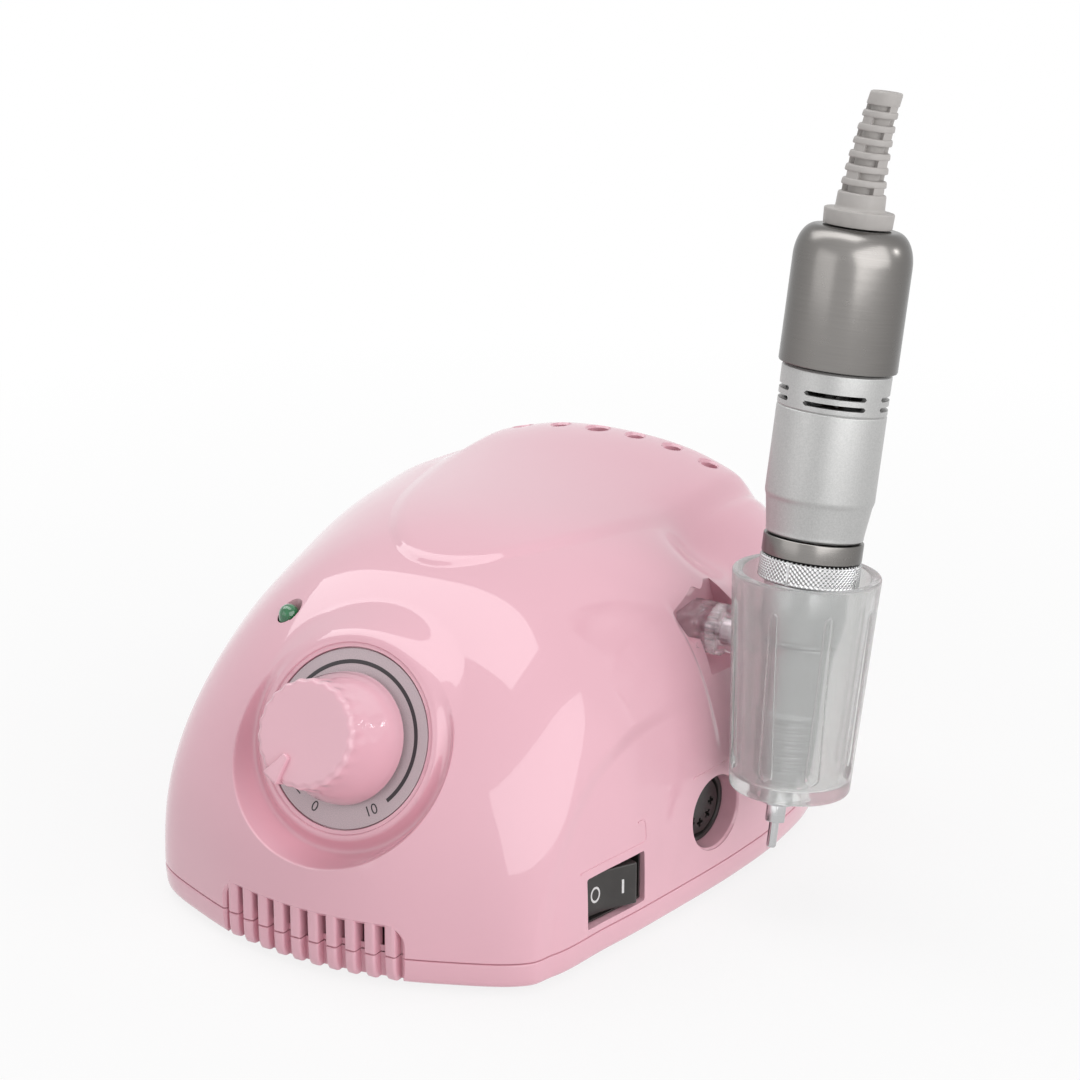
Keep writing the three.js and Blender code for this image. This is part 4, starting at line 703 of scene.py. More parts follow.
def clear_plastic():
    look = Look(
        "clear_moulded_plastic", (0.84, 0.74, 0.77), 0.08,
        Transmission_Weight=0.9, IOR=1.42, Alpha=0.62,
    )
    flow = look.noise(0.25, 3, look.stretched(0.5, 1, 1))
    return look.uneven((flow, (0.72, 0.6, 0.64)), (look.noise(1.2, 2), 0.05), (flow, 0.06))


def frosted_plastic():
    look = Look(
        "frosted_cup_plastic", (0.86, 0.87, 0.86), 0.17, own_place=True,
        Transmission_Weight=0.84, IOR=1.36, Alpha=0.9,
    )
    frost = look.noise(1.1, 3)
    return look.uneven((look.noise(0.12, 2), (0.83, 0.84, 0.83)), (frost, 0.06), (frost, 0.008))


def silver_metal():
    look = Look("blasted_silver_metal", (0.31, 0.31, 0.31), 0.42, 0.7, own_place=True)
    grain = look.noise(2.6, 4, roughness=0.75)
    return look.uneven((grain, (0.6, 0.6, 0.59)), (look.noise(0.5, 4), 0.06), (grain, 0.03))


def dark_nickel():
    look = Look("satin_dark_nickel_painted_edge_shade", (0.23, 0.219, 0.21), 0.26, 1.0, own_place=True)
    satin = look.noise(1.0, 4, look.stretched(0.08, 0.08, 8))
    # painted shade: the satin colour runs towards near black on the sides that turn away from view
    look.paint_shade_at_edges(look.vary_colour(satin, (0.3, 0.287, 0.275)), 0.5, (0.05, 0.047, 0.044))
    look.vary_roughness(look.noise(0.4, 3), 0.04)
    look.raise_by(satin, 0.003)
    return look.material


def relief_rubber():
    look = Look("warm_grey_relief", linear(184, 180, 177), 0.5, own_place=True)
    grain = look.noise(3.2, 4)
    return look.uneven((look.noise(0.35, 3), linear(170, 166, 163)), (grain, 0.08), (grain, 0.02))


def ink(name, colour, other):
    """Printed paint, a little worn and uneven."""
    look = Look(name, colour, 0.5)
    wear = look.noise(3.0, 4)
    return look.uneven((wear, other), (wear, 0.1), (wear, 0.004))


MATERIALS = {
    "pink_plastic": pink_plastic(),
    "foot_rubber": foot_rubber(),
    "steel": turned_steel(),
    "plain_steel": plain_steel(),
    "dial_plate": dial_grey(),
    "aluminium": brushed_aluminium(),
    "green_lens": green_lens(),
    "black_plastic": black_plastic(),
    "laminations": laminated_iron(),
    "copper_winding": copper_wire(),
    "circuit_board": circuit_board(),
    "capacitor_sleeve": capacitor_sleeve(),
    "clear_plastic": clear_plastic(),
    "frosted_plastic": frosted_plastic(),
    "silver_metal": silver_metal(),
    "dark_nickel": dark_nickel(),
    "relief_rubber": relief_rubber(),
    "dark_ink": ink("dark_grey_ink", linear(38, 35, 38), linear(60, 56, 60)),
    "white_ink": ink("white_ink", linear(232, 232, 232), linear(208, 208, 208)),
}


# Geometry node trees for what repeats


def tree_with(name, inputs):
    """A geometry node tree with a geometry input, a material input and the named number inputs."""
    tree = bpy.data.node_groups.new(name, "GeometryNodeTree")
    tree.interface.new_socket("Geometry", in_out="INPUT", socket_type="NodeSocketGeometry")
    for label, kind, value in inputs:
        socket = tree.interface.new_socket(label, in_out="INPUT", socket_type=f"NodeSocket{kind}")
        socket.default_value = value
    tree.interface.new_socket("Material", in_out="INPUT", socket_type="NodeSocketMaterial")
    tree.interface.new_socket("Geometry", in_out="OUTPUT", socket_type="NodeSocketGeometry")
    graph = Graph(tree)
    source = tree.nodes.new("NodeGroupInput")
    wires = {output.name: Wire(graph, output) for output in source.outputs if output.name}
    return tree, graph, wires


def tree_end(tree, graph, geometry, material):
    real = graph.add("GeometryNodeRealizeInstances", {}, {0: geometry})
    painted = graph.add("GeometryNodeSetMaterial", {}, {"Geometry": real, "Material": material})
    end = tree.nodes.new("NodeGroupOutput")
    tree.links.new(painted.socket, end.inputs[0])
    return tree


def copies_tree():
    """Copies in a row along X, bowed along Y, or turned about Z."""
    tree, graph, wires = tree_with("copies", [
        ("Count", "Int", 2), ("Pitch", "Float", 0.0), ("Bow", "Float", 0.0), ("Turn", "Float", 0.0),
        ("Start", "Float", 0.0),
    ])
    index = graph.add("GeometryNodeInputIndex")
    along = (index - (wires["Count"] - 1) * 0.5) * wires["Pitch"]
    offset = graph.add("ShaderNodeCombineXYZ", {}, {0: along, 1: along * along * wires["Bow"]})
    line = graph.add("GeometryNodeMeshLine", {}, {"Count": wires["Count"], "Offset": (0, 0, 0)})
    line = graph.add("GeometryNodeSetPosition", {}, {"Geometry": line, "Offset": offset})
    angles = graph.add("ShaderNodeCombineXYZ", {}, {2: index * wires["Turn"] + wires["Start"]})
    rotation = graph.add("FunctionNodeEulerToRotation", {}, {0: angles})
    copies = graph.add(
        "GeometryNodeInstanceOnPoints", {},
        {"Points": line, "Instance": wires["Geometry"], "Rotation": rotation},
    )
    return tree_end(tree, graph, copies, wires["Material"])


def waves_tree():
    """Waves round Z that press the surface in: count, depth, twist per millimetre and where they fade in."""
    tree, graph, wires = tree_with("waves", [
        ("Waves", "Float", 12.0), ("Depth", "Float", 0.5), ("Twist", "Float", 0.0), ("Low", "Float", 0.0),
        ("High", "Float", 1.0),
    ])
    x, y, z = graph.split(graph.add("GeometryNodeInputPosition"))
    angle = y.math("ARCTAN2", x) + z * wires["Twist"]
    wave = 0.5 - (angle * wires["Waves"]).math("COSINE") * 0.5
    fade = ((z - wires["Low"]) / (wires["High"] - wires["Low"])).math("ADD", 0.0, clamp=True)
    radius = (x * x + y * y).math("SQRT").math("MAXIMUM", 0.001)
    press = wave * fade * wires["Depth"] * -1.0 / radius
    offset = graph.add("ShaderNodeCombineXYZ", {}, {0: x * press, 1: y * press})
    moved = graph.add("GeometryNodeSetPosition", {}, {"Geometry": wires["Geometry"], "Offset": offset})
    return tree_end(tree, graph, moved, wires["Material"])


COPIES = copies_tree()
WAVES = waves_tree()


def grown(piece, tree, material="pink_plastic", **inputs):
    """Runs the piece through a geometry node tree and keeps the result as a plain mesh."""
    modifier = piece.modifiers.new("grown", "NODES")
    modifier.node_group = tree
    for item in tree.interface.items_tree:
        if item.in_out == "INPUT" and item.name in inputs:
            modifier[item.identifier] = inputs[item.name]
        if item.in_out == "INPUT" and item.name == "Material":
            modifier[item.identifier] = MATERIALS[material]
    return settled(piece)


def repeated(shape, **inputs):
    return grown(solid("copies", shape), COPIES, **inputs)


# The case surface


def plan_outline():
    """The plan at the parting line, a smooth closed curve, as angles about the hub and distances from it."""
    left = [(-x, y) for x, y in PLAN_SHARES[1:-1]][::-1]
    knots = np.array(PLAN_SHARES + left, float)
    count = len(knots)
    points = []
    for i in range(count):
        before, start, end, after = (knots[(i + k) % count] for k in (-1, 0, 1, 2))
        gaps = [sqrt(np.linalg.norm(b - a)) for a, b in ((before, start), (start, end), (end, after))]
        leave = (start - before) / gaps[0] - (end - before) / (gaps[0] + gaps[1]) + (end - start) / gaps[1]
        arrive = (end - start) / gaps[1] - (after - start) / (gaps[1] + gaps[2]) + (after - end) / gaps[2]
        leave, arrive = leave * gaps[1], arrive * gaps[1]
        for t in np.arange(PLAN_STEPS) / PLAN_STEPS:
            bend = 3 * (end - start) - 2 * leave - arrive
            twist = 2 * (start - end) + leave + arrive
            points.append(start + leave * t + bend * t * t + twist * t ** 3)
    points = np.array(points)
    x = points[:, 0] * HALF_WIDTH
    y = (FRONT_Y + REAR_Y) / 2 + points[:, 1] * (REAR_Y - FRONT_Y) / 2
    angle = np.arctan2(x, HUB_Y - y)
    order = np.argsort(angle)
    return angle[order], np.hypot(x, y - HUB_Y)[order]


PLAN_ANGLES, PLAN_RADII = plan_outline()


def plan_radius(angle):
    return np.interp(angle, PLAN_ANGLES, PLAN_RADII, period=TURN)


def roof_height(x, y):
    """The roof without its panel, valley and scoop."""
    along, across = y / ((REAR_Y - FRONT_Y) / 2), x / HALF_WIDTH
    middle = CROWN_Z + ROOF_TILT * along - ROOF_BEND * along ** 2 + ROOF_TWIST * along ** 3
    return middle - ROOF_SIDE_FALL * across ** 2


FENDER_SWELL, FENDER_ANGLE, FENDER_SPREAD, FENDER_TOP = 3.2, radians(38), radians(9), 62.0
ARCH_CENTRE_Y, ARCH_REACH, ARCH_RISE, ARCH_POWER = -12.0, 45.0, 44.0, 2.2
ARCH_LIP, ARCH_EDGE, ARCH_FADE, ARCH_END_Y = 1.3, 0.05, 0.55, 6.0
SCOOP_CENTRE, SCOOP_RADIUS, SCOOP_DEPTH = (46.2, 38.0, 78.4), 11.8, 8.0
WALL_POWER, ROOF_POWER = (3.7, -1.05, -0.35), (4.35, -1.55, 1.2)
CHANNEL_DEPTH, CHANNEL_FRONT, CHANNEL_REAR = 1.6, (4.2, 6.6), (30.0, 38.0)
CHANNEL_LOW, CHANNEL_HIGH = (30.0, 54.0), (66.0, 74.0)
CORNER_DROP, CORNER_SIDE, CORNER_REAR, CORNER_LEVEL = 1.9, (37.5, 42.5), (40.0, 64.0), (50.0, 70.0)
VALLEY_DEPTH, VALLEY_X, VALLEY_SPREAD, VALLEY_REAR, VALLEY_LEVEL = 2.2, 37.4, 2.7, (36.0, 62.0), (60.0, 73.0)


def fender(angle, y, z):
    """How far the case swells at its front corners, and under the lip of the arch on each side."""
    low = 1 - smooth(PARTING_Z, FENDER_TOP, z)
    corner = np.exp(-(((np.abs(angle) - FENDER_ANGLE) / FENDER_SPREAD) ** 2)) * FENDER_SWELL * low
    back = np.maximum(0, ARCH_CENTRE_Y - y) / ARCH_REACH
    up = np.maximum(0, z - PARTING_Z) / ARCH_RISE
    arch = (back ** ARCH_POWER + up ** ARCH_POWER) ** (1 / ARCH_POWER)
    edge = smooth(1 - ARCH_EDGE, 1 + ARCH_EDGE, arch) * (1 - smooth(1, 1 + ARCH_FADE, arch))
    return corner + ARCH_LIP * edge * (1 - smooth(ARCH_CENTRE_Y - ARCH_REACH / 3, ARCH_END_Y, y))


def channel(y, z):
    """The upright hollow in the cradle side that the cup stands before."""
    along = smooth(*CHANNEL_FRONT, y) * (1 - smooth(*CHANNEL_REAR, y))
    return CHANNEL_DEPTH * along * smooth(*CHANNEL_LOW, z) * (1 - smooth(*CHANNEL_HIGH, z))


def corner_drop(x, y, z):
    """How far the roof falls beside the raised panel at the rear corners."""
    drop = CORNER_DROP * smooth(*CORNER_SIDE, np.abs(x)) * smooth(*CORNER_REAR, y) * smooth(*CORNER_LEVEL, z)
    valley = VALLEY_DEPTH * np.exp(-(((np.abs(x) - VALLEY_X) / VALLEY_SPREAD) ** 2))
    return drop + valley * smooth(*VALLEY_REAR, y) * smooth(*VALLEY_LEVEL, z)


def around(waves, angle):
    """A value that changes round the plan: its middle, and the shares of its first two waves."""
    return waves[0] + waves[1] * np.cos(angle) + waves[2] * np.cos(2 * angle)


def case_surface(angle, rise, foot=PARTING_Z):
    """The case at angles in the plan and shares of the way up from the parting line to the roof's middle."""
    turn = rise * pi / 2
    reach = plan_radius(angle) * np.clip(np.cos(turn), 0, 1) ** (2 / around(WALL_POWER, angle))
    x, y = reach * np.sin(angle), HUB_Y - reach * np.cos(angle)
    z = foot + (roof_height(x, y) - foot) * np.sin(turn) ** (2 / around(ROOF_POWER, angle))
    out = fender(angle, y, z)
    x, y = x + out * np.sin(angle), y - out * np.cos(angle)
    away = sum((value - centre) ** 2 for value, centre in zip((x, y, z), SCOOP_CENTRE))
    dent = SCOOP_DEPTH * np.exp(-away / SCOOP_RADIUS ** 2) / sqrt(2)
    z = z - corner_drop(x, y, z)
    x = x - channel(y, z) * (angle > 0)
    return np.stack([x - dent, y, z - dent], -1)


SURFACE_STEP = 1e-4


def case_angles(columns):
    even = (np.arange(columns) / columns - 0.5) * TURN
    return even - FRONT_CROWDING * np.sin(even)


def case_grid(columns, rows, foot):
    """Points of the case surface in rows from the parting line up, with the surface's normals."""
    rise = (np.arange(rows + 1) / rows) ** ROW_CROWDING
    angle, rise = np.meshgrid(case_angles(columns), np.clip(rise, 0, 1))
    points = case_surface(angle, rise, foot)
    step = SURFACE_STEP
    inward = np.clip(rise, step, 1 - step)
    along = case_surface(angle + step, inward, foot) - case_surface(angle - step, inward, foot)
    low, high = np.clip(rise - step, step / 10, 1 - step), np.clip(rise + step, step, 1 - step / 10)
    upward = case_surface(angle, high, foot) - case_surface(angle, low, foot)
    normals = np.cross(along, upward)
    normals /= np.linalg.norm(normals, axis=-1, keepdims=True)
    crown = normals[-2].mean(0)
    normals[-1] = crown / np.linalg.norm(crown)
    return points, normals


FOOT_Z = PARTING_Z + PARTING_GAP / 2
TRAY_TOP = PARTING_Z - PARTING_GAP / 2
CASE_POINTS, CASE_NORMALS = case_grid(CASE_COLUMNS, CASE_ROWS, FOOT_Z)
CASE_SKIN = Skin(CASE_POINTS, CASE_NORMALS, closed=True)
LIP_EDGE, LIP_RISE, LIP_SHARES = 0.35, 0.4, (1.0, 0.55, 0.2)


def case_block():
    """The whole case above the parting line, filled, with its lower edge eased."""
    first = CASE_POINTS[0]
    outward = (first - (0, HUB_Y, 0)) * (1, 1, 0)
    outward /= np.linalg.norm(outward, axis=1, keepdims=True)
    eased = []
    for share in LIP_SHARES:
        ring = first - outward * LIP_EDGE * share
        ring[:, 2] = FOOT_Z + LIP_EDGE * LIP_RISE * (1 - share) ** 2
        eased.append(ring)
    rings = [ring for ring in CASE_POINTS if ring[0, 2] > FOOT_Z + LIP_EDGE]
    return rings_shape(eased + rings)


def case_lining():
    """The hollow of the case, down through the parting line."""
    points, _ = case_grid(LINING_COLUMNS, LINING_ROWS, FOOT_Z)
    hub = np.array([0, HUB_Y, FOOT_Z])
    rays = points - hub
    inner = points - rays * CASE_WALL / np.linalg.norm(rays, axis=-1, keepdims=True)
    skirt = inner[0].copy()
    skirt[:, 2] = FOOT_Z - OVERRUN
    return rings_shape([skirt, *inner])


def over_roof(x, y, skin):
    """Where an upright line through a point of the plan meets the skin from above, and the normal there."""
    return skin.met(Vector((x, y, CROWN_Z + OVERRUN)), Vector((0, 0, -1)))


def case_height(x, y):
    place, _ = over_roof(x, y, CASE_SKIN)
    return place.z


# Collar and bowl round the dial

LIP_RADIUS = 24.0
LIP_ROUNDING = 0.12
LEDGE_RADIUS, LEDGE_HEIGHT, LEDGE_SLOPE, LEDGE_ROUNDING = 22.3, 0.25, 2.2, 0.43
STEEP_REACH, WIDE_REACH = 27.6, 34.0
STEEP_ABOVE, WIDE_ABOVE = 1.0, -5.0
BOWL_FLOOR, BOWL_RADIUS, BOWL_SLOPE, BOWL_FILLET, BOWL_EDGE = -2.6, 27.2, 2.9, 1.2, 1.2
POD_COLUMNS = 288
POD_ROWS = 72
COLLAR_HARMONICS = 4
POD_STEP = 1e-3
SEAT_EASE = 0.1


def pod_height(radius, above, reach):
    """Height over the dial plane at a distance from the dial's axis, where the plain case would lie at the
    height above, and the collar's skirt runs out at its reach."""
    out = radius - BOWL_RADIUS
    bowl = BOWL_FLOOR + BOWL_SLOPE * (np.sqrt(out ** 2 + BOWL_FILLET ** 2) + out) / 2
    base = soft_min(above, bowl, BOWL_EDGE)
    out = (radius - LIP_RADIUS) / (reach - LIP_RADIUS)
    share = np.clip(1 - (np.sqrt(out ** 2 + LIP_ROUNDING ** 2) + out) / 2, 0, 1) ** 2
    collar = base + (RIM_HEIGHT - base) * share
    return soft_min(collar, LEDGE_HEIGHT + (radius - LEDGE_RADIUS) * LEDGE_SLOPE, LEDGE_ROUNDING)


def collar_reach(above):
    """How far the collar's skirt runs at each angle: steep over the bowl, wide where the case lies low."""
    waves = np.fft.rfft(above)
    waves[COLLAR_HARMONICS:] = 0
    level = np.fft.irfft(waves, len(above))
    return STEEP_REACH + (WIDE_REACH - STEEP_REACH) * smooth(STEEP_ABOVE, WIDE_ABOVE, level)


def case_under_pod(radii, theta):
    """How high the plain case lies over the dial plane round the dial's axis, and how it slopes there."""
    down = (DIAL_PLACE.to_3x3() @ Vector((0, 0, -1))).normalized()
    inverse = DIAL_PLACE.inverted()
    back = inverse.to_3x3()
    above = np.empty((len(radii), len(theta)))
    slope = np.empty((len(radii), len(theta), 2))
    for i, radius in enumerate(radii):
        for j, angle in enumerate(theta):
            start = DIAL_PLACE @ Vector((*polar(radius, angle), POD_REACH))
            place, normal = CASE_SKIN.met(start, down)
            own = back @ normal
            above[i, j] = (inverse @ place).z
            slope[i, j] = (-own.x / own.z, -own.y / own.z)
    return above, slope


def pod_surface(theta):
    """Points and normals of the ledge, collar and bowl, in the dial's own frame."""
    radii = np.linspace(LEDGE_RADIUS, POD_REACH, POD_ROWS)
    above, slope = case_under_pod(radii, theta)
    radius = np.repeat(radii[:, None], POD_COLUMNS, 1)
    reach = collar_reach(above[np.searchsorted(radii, BOWL_RADIUS)])[None]
    turning = (np.roll(reach, -1) - np.roll(reach, 1)) / (2 * TURN / POD_COLUMNS)
    height = pod_height(radius, above, reach)

    def change(a, b, c):
        ahead = pod_height(radius + a, above + b, reach + c)
        return (ahead - pod_height(radius - a, above - b, reach - c)) / (2 * POD_STEP)

    by_radius, by_case, by_reach = (change(*steps) for steps in (np.eye(3) * POD_STEP).tolist())
    direction = np.stack([np.cos(theta), np.sin(theta)], -1)[None]
    sideways = np.stack([-np.sin(theta), np.cos(theta)], -1)[None]
    gradient = by_radius[..., None] * direction + by_case[..., None] * slope
    gradient = gradient + (by_reach * turning / radius)[..., None] * sideways
    normals = np.concatenate([-gradient, np.ones_like(height)[..., None]], -1)
    normals /= np.linalg.norm(normals, axis=-1, keepdims=True)
    return np.stack([radius * np.cos(theta), radius * np.sin(theta), height], -1), normals


def dial_pod():
    """The plug that carries the dial's seat, collar and bowl, and its skin."""
    theta = np.arange(POD_COLUMNS) / POD_COLUMNS * TURN
    points, normals = pod_surface(theta)
    turn = np.array(DIAL_PLACE.to_3x3())
    skin = Skin(points @ turn.T + np.array(DIAL_PLACE.translation), normals @ turn.T, closed=True)

    def flat_ring(r, z):
        return np.stack([r * np.cos(theta), r * np.sin(theta), np.full(POD_COLUMNS, z)], -1)

    seat = DIAL_RADIUS + FIT
    skirt = flat_ring(POD_REACH, -POD_DEPTH)
    skirt[:, 2] = np.minimum(-POD_DEPTH, points[-1, :, 2] - POD_SKIRT)
    well = [flat_ring(0, -POD_DEPTH), flat_ring(LEDGE_RADIUS, -POD_DEPTH), skirt]
    ledge = [
        (LEDGE_RADIUS - SEAT_EASE, LEDGE_HEIGHT), (seat + SEAT_EASE, LEDGE_HEIGHT),
        (seat, LEDGE_HEIGHT - SEAT_EASE),
        (seat, DIAL_SEAT), (0, DIAL_SEAT),
    ]
    inner = [flat_ring(r, z) for r, z in ledge]
    return rings_shape([*well, *points[::-1], *inner]).at(DIAL_PLACE), skin


def pod_space():
    return plug(POD_REACH - SEAM_OVERLAP, -POD_CLEAR, POD_REACH, POD_COLUMNS).at(DIAL_PLACE)


# Raised teardrop on the roof

TEAR_WIDE_Y, TEAR_END_Y, TEAR_FLOOR_Z = 56.0, 76.0, 58.0
TEAR_HALF_WIDTHS = (37.5, 33.3)
TEAR_REACHES = (81.0, 79.2)
TEAR_POWER = 1.62
TEAR_HEIGHT, TEAR_MIDDLE_SHARE, TEAR_REAR_RISE = 0.95, 0.75, 0.35
TEAR_ROUND = 0.3
TEAR_MIDDLE_Y, TEAR_RISE_Y, TEAR_FADE_Y = (-5, 38), (44, 66), (70, TEAR_END_Y)
TEAR_STEP = 1e-3
TEAR_SPACE_RISE = 0.5
TEAR_SIDE_ROWS, TEAR_NOSE_ROWS, TEAR_BORDER_COLUMNS, TEAR_FIELD_COLUMNS = 24, 220, 14, 22


def tear_outline(half_width, reach):
    """The outline from the left rear round the nose to the right rear."""
    rear = np.linspace(TEAR_END_Y, TEAR_WIDE_Y, TEAR_SIDE_ROWS, endpoint=False)
    left = np.column_stack([np.full(TEAR_SIDE_ROWS, -half_width), rear])
    right = (left * (-1, 1))[::-1]
    turn = np.linspace(0, pi, TEAR_NOSE_ROWS + 1)
    across = -np.cos(turn)
    nose = np.column_stack([half_width * across, TEAR_WIDE_Y - reach * (1 - across ** 2) ** (1 / TEAR_POWER)])
    return np.vstack([left, nose, right])


def tear_amplitude(y):
    """How high the panel stands at a place along the box."""
    middle = 1 - (1 - TEAR_MIDDLE_SHARE) * smooth(*TEAR_MIDDLE_Y, y)
    return (TEAR_HEIGHT * middle + TEAR_REAR_RISE * smooth(*TEAR_RISE_Y, y)) * (1 - smooth(*TEAR_FADE_Y, y))


def tear_ramp(share):
    """The soft climb over the panel's border."""
    top = soft_min(share, np.ones_like(share), TEAR_ROUND)
    return soft_max(top, np.zeros_like(share), TEAR_ROUND) - TEAR_ROUND / 4 * (np.abs(share) < TINY)


def tear_slope(outer, inner, border, field, plan, ramp):
    """How the panel's height changes over the plan."""
    step = TEAR_STEP
    tangent = np.gradient(outer, axis=0)
    normal = np.stack([-tangent[:, 1], tangent[:, 0]], -1)
    normal /= np.linalg.norm(normal, axis=1, keepdims=True)
    across = ((inner - outer) * normal).sum(1)
    y = plan[..., 1]
    climb = (tear_ramp(border[..., 0] + step) - tear_ramp(border[..., 0] - step)) / (2 * step)
    climb = np.where(field[..., 0] > 0, 0, climb)
    slope = (climb * tear_amplitude(y) / across[:, None])[..., None] * normal[:, None]
    slope[..., 1] += ramp * (tear_amplitude(y + step) - tear_amplitude(y - step)) / (2 * step)
    return slope


def teardrop():
    """The plug with the raised roof panel on it, and its skin."""
    outer, inner = (tear_outline(w, r) for w, r in zip(TEAR_HALF_WIDTHS, TEAR_REACHES))
    spine = np.column_stack([np.zeros(len(outer)), np.clip(outer[:, 1], TEAR_WIDE_Y, None)])
    field_shares = 1 + np.linspace(0, 1, TEAR_FIELD_COLUMNS + 1)[1:]
    shares = np.concatenate([np.linspace(0, 1, TEAR_BORDER_COLUMNS + 1), field_shares])
    border = np.clip(shares, 0, 1)[None, :, None]
    field = np.clip(shares - 1, 0, 1)[None, :, None]
    plan = outer[:, None] + (inner - outer)[:, None] * border
    plan = np.where(field > 0, inner[:, None] + (spine - inner)[:, None] * field, plan)
    ramp = np.clip(tear_ramp(np.repeat(border[..., 0], len(outer), 0)), 0, None)
    lift = tear_amplitude(plan[..., 1]) * ramp
    gradient = tear_slope(outer, inner, border, field, plan, ramp)
    heights = np.empty(plan.shape[:2])
    normals = np.empty((*plan.shape[:2], 3))
    for i, row in enumerate(plan):
        for j, (x, y) in enumerate(row):
            place, normal = over_roof(x, y, CASE_SKIN)
            slope = np.array([-normal.x / normal.z, -normal.y / normal.z]) + gradient[i, j]
            heights[i, j] = place.z + lift[i, j]
            normals[i, j] = (-slope[0], -slope[1], 1)
    normals /= np.linalg.norm(normals, axis=-1, keepdims=True)
    top = np.concatenate([plan, heights[..., None]], -1)
    bottom = top.copy()
    bottom[..., 2] = TEAR_FLOOR_Z
    return lattice(np.stack([bottom, top], 2), open_side=(1, -1)), Skin(top, normals, closed=False)


def tear_space():
    """All that stands over the teardrop's outline."""
    outline = tear_outline(TEAR_HALF_WIDTHS[0] - SEAM_OVERLAP, TEAR_REACHES[0] - SEAM_OVERLAP)
    return prism(outline, TEAR_FLOOR_Z + TEAR_SPACE_RISE, CROWN_Z + OVERRUN * 2)


# Openings of the case

GRILLE_HALF_WIDTH, GRILLE_TOP, GRILLE_RECESS, GRILLE_CORNER = 24.6, 15.4, 3.0, 4.2
GRILLE_LIP = 1.1
GRILLE_COLUMNS, FLARE_STEPS = 72, 5
RIB_COUNT, RIB_PITCH, RIB_WIDTH, RIB_HEIGHT, RIB_ROUND = 10, 4.84, 2.9, 2.6, 0.8
RIB_ROOT, RIB_END_EASE = 1.2, 0.2
LOWER_RIB_LEVELS = [(0, 1), (0.5, 0.72), (1.2, 0.42), (2.4, 0.18)]
LOWER_RIB_RISE, LOWER_RIB_INSET = 4, 0.05
SLOT_LOW, SLOT_TOP_GAP = 9.7, 0.6


def front_y(x, drawn_in):
    """Where the front wall stands beside the middle, drawn in by a distance."""
    angle = np.arctan2(x, HUB_Y - FRONT_Y)
    return float(HUB_Y - (plan_radius(angle) - drawn_in) * np.cos(angle))


def grille_space(low, high):
    """The recess of the grille, flared at its mouth."""
    flare = [(GRILLE_LIP * s, GRILLE_LIP * (1 - s)) for _, s in quarter(FLARE_STEPS)]
    flare = [(-OVERRUN, GRILLE_LIP), *flare, (GRILLE_RECESS, 0)]
    points = []
    for share in np.sin(np.linspace(-1, 1, GRILLE_COLUMNS) * pi / 2):
        column = []
        for depth, wide in flare:
            half = GRILLE_HALF_WIDTH + wide
            x = share * half
            corner = GRILLE_CORNER + wide
            past = max(0.0, abs(x) - (half - corner))
            top = high + wide - corner + sqrt(max(corner ** 2 - past ** 2, 0))
            y = front_y(x, depth)
            column.append([(x, y, low), (x, y, top)])
        points.append(column)
    return lattice(points)


def in_rib_row(shape, count):
    """Copies of a shape at the middle, in a row that follows the bow of the grille's floor."""
    reach = RIB_PITCH * (RIB_COUNT - 1) / 2
    bow = (front_y(reach, GRILLE_RECESS) - front_y(0.0, GRILLE_RECESS)) / reach ** 2
    return repeated(shape, Count=count, Pitch=RIB_PITCH, Bow=bow)


def rib(levels):
    """One upright rib at the middle; each level is a height and how far the rib's face is drawn in there."""
    floor_y = front_y(0.0, GRILLE_RECESS)
    half, root = RIB_WIDTH / 2, floor_y + RIB_ROOT
    rings = []
    for z, drawn_in in levels:
        face = floor_y - RIB_HEIGHT + drawn_in
        corners = [(-half, root, 0), (-half, face), (half, face), (half, root, 0)]
        rings.append([(x, y, z) for x, y in rounded(corners, RIB_ROUND, 4)])
    return rings_shape(rings)


def upper_ribs():
    ease = RIB_END_EASE
    return in_rib_row(rib([(FOOT_Z, ease), (FOOT_Z + ease, 0), (GRILLE_TOP + 1, 0)]), RIB_COUNT)


def lower_ribs():
    levels = [(FLOOR_Z + rise, BASE_TUCK_IN * share) for rise, share in LOWER_RIB_LEVELS]
    levels += [
        (FLOOR_Z + LOWER_RIB_RISE, LOWER_RIB_INSET), (TRAY_TOP - RIB_END_EASE, 0), (TRAY_TOP, RIB_END_EASE),
    ]
    return in_rib_row(rib(levels), RIB_COUNT)


def grille_slots():
    outline = rectangle(RIB_PITCH - RIB_WIDTH, CASE_WALL * 3, 0.1, 1)
    slot = prism(outline, SLOT_LOW, GRILLE_TOP - SLOT_TOP_GAP).at(placed(0, front_y(0.0, GRILLE_RECESS)))
    return in_rib_row(slot, RIB_COUNT - 1)


BIT_COUNT, BIT_PITCH, BIT_Y, BIT_BOW = 6, 10.9, 67.3, 0.0016
BIT_RADIUS, WIDE_BIT_RADIUS, WIDE_BIT, BIT_DEPTH = 2.2, 2.8, 2, 20.0
BIT_CHAMFER, BIT_TUBE_WALL, BIT_TUBE_FLOOR = 0.75, 1.4, 1.4


def bit_places():
    """The plan place and radius of each hole for a spare bit, along a shallow bow."""
    for i in range(BIT_COUNT):
        x = (i - (BIT_COUNT - 1) / 2) * BIT_PITCH
        yield x, BIT_Y - BIT_BOW * x * x, WIDE_BIT_RADIUS if i == WIDE_BIT else BIT_RADIUS


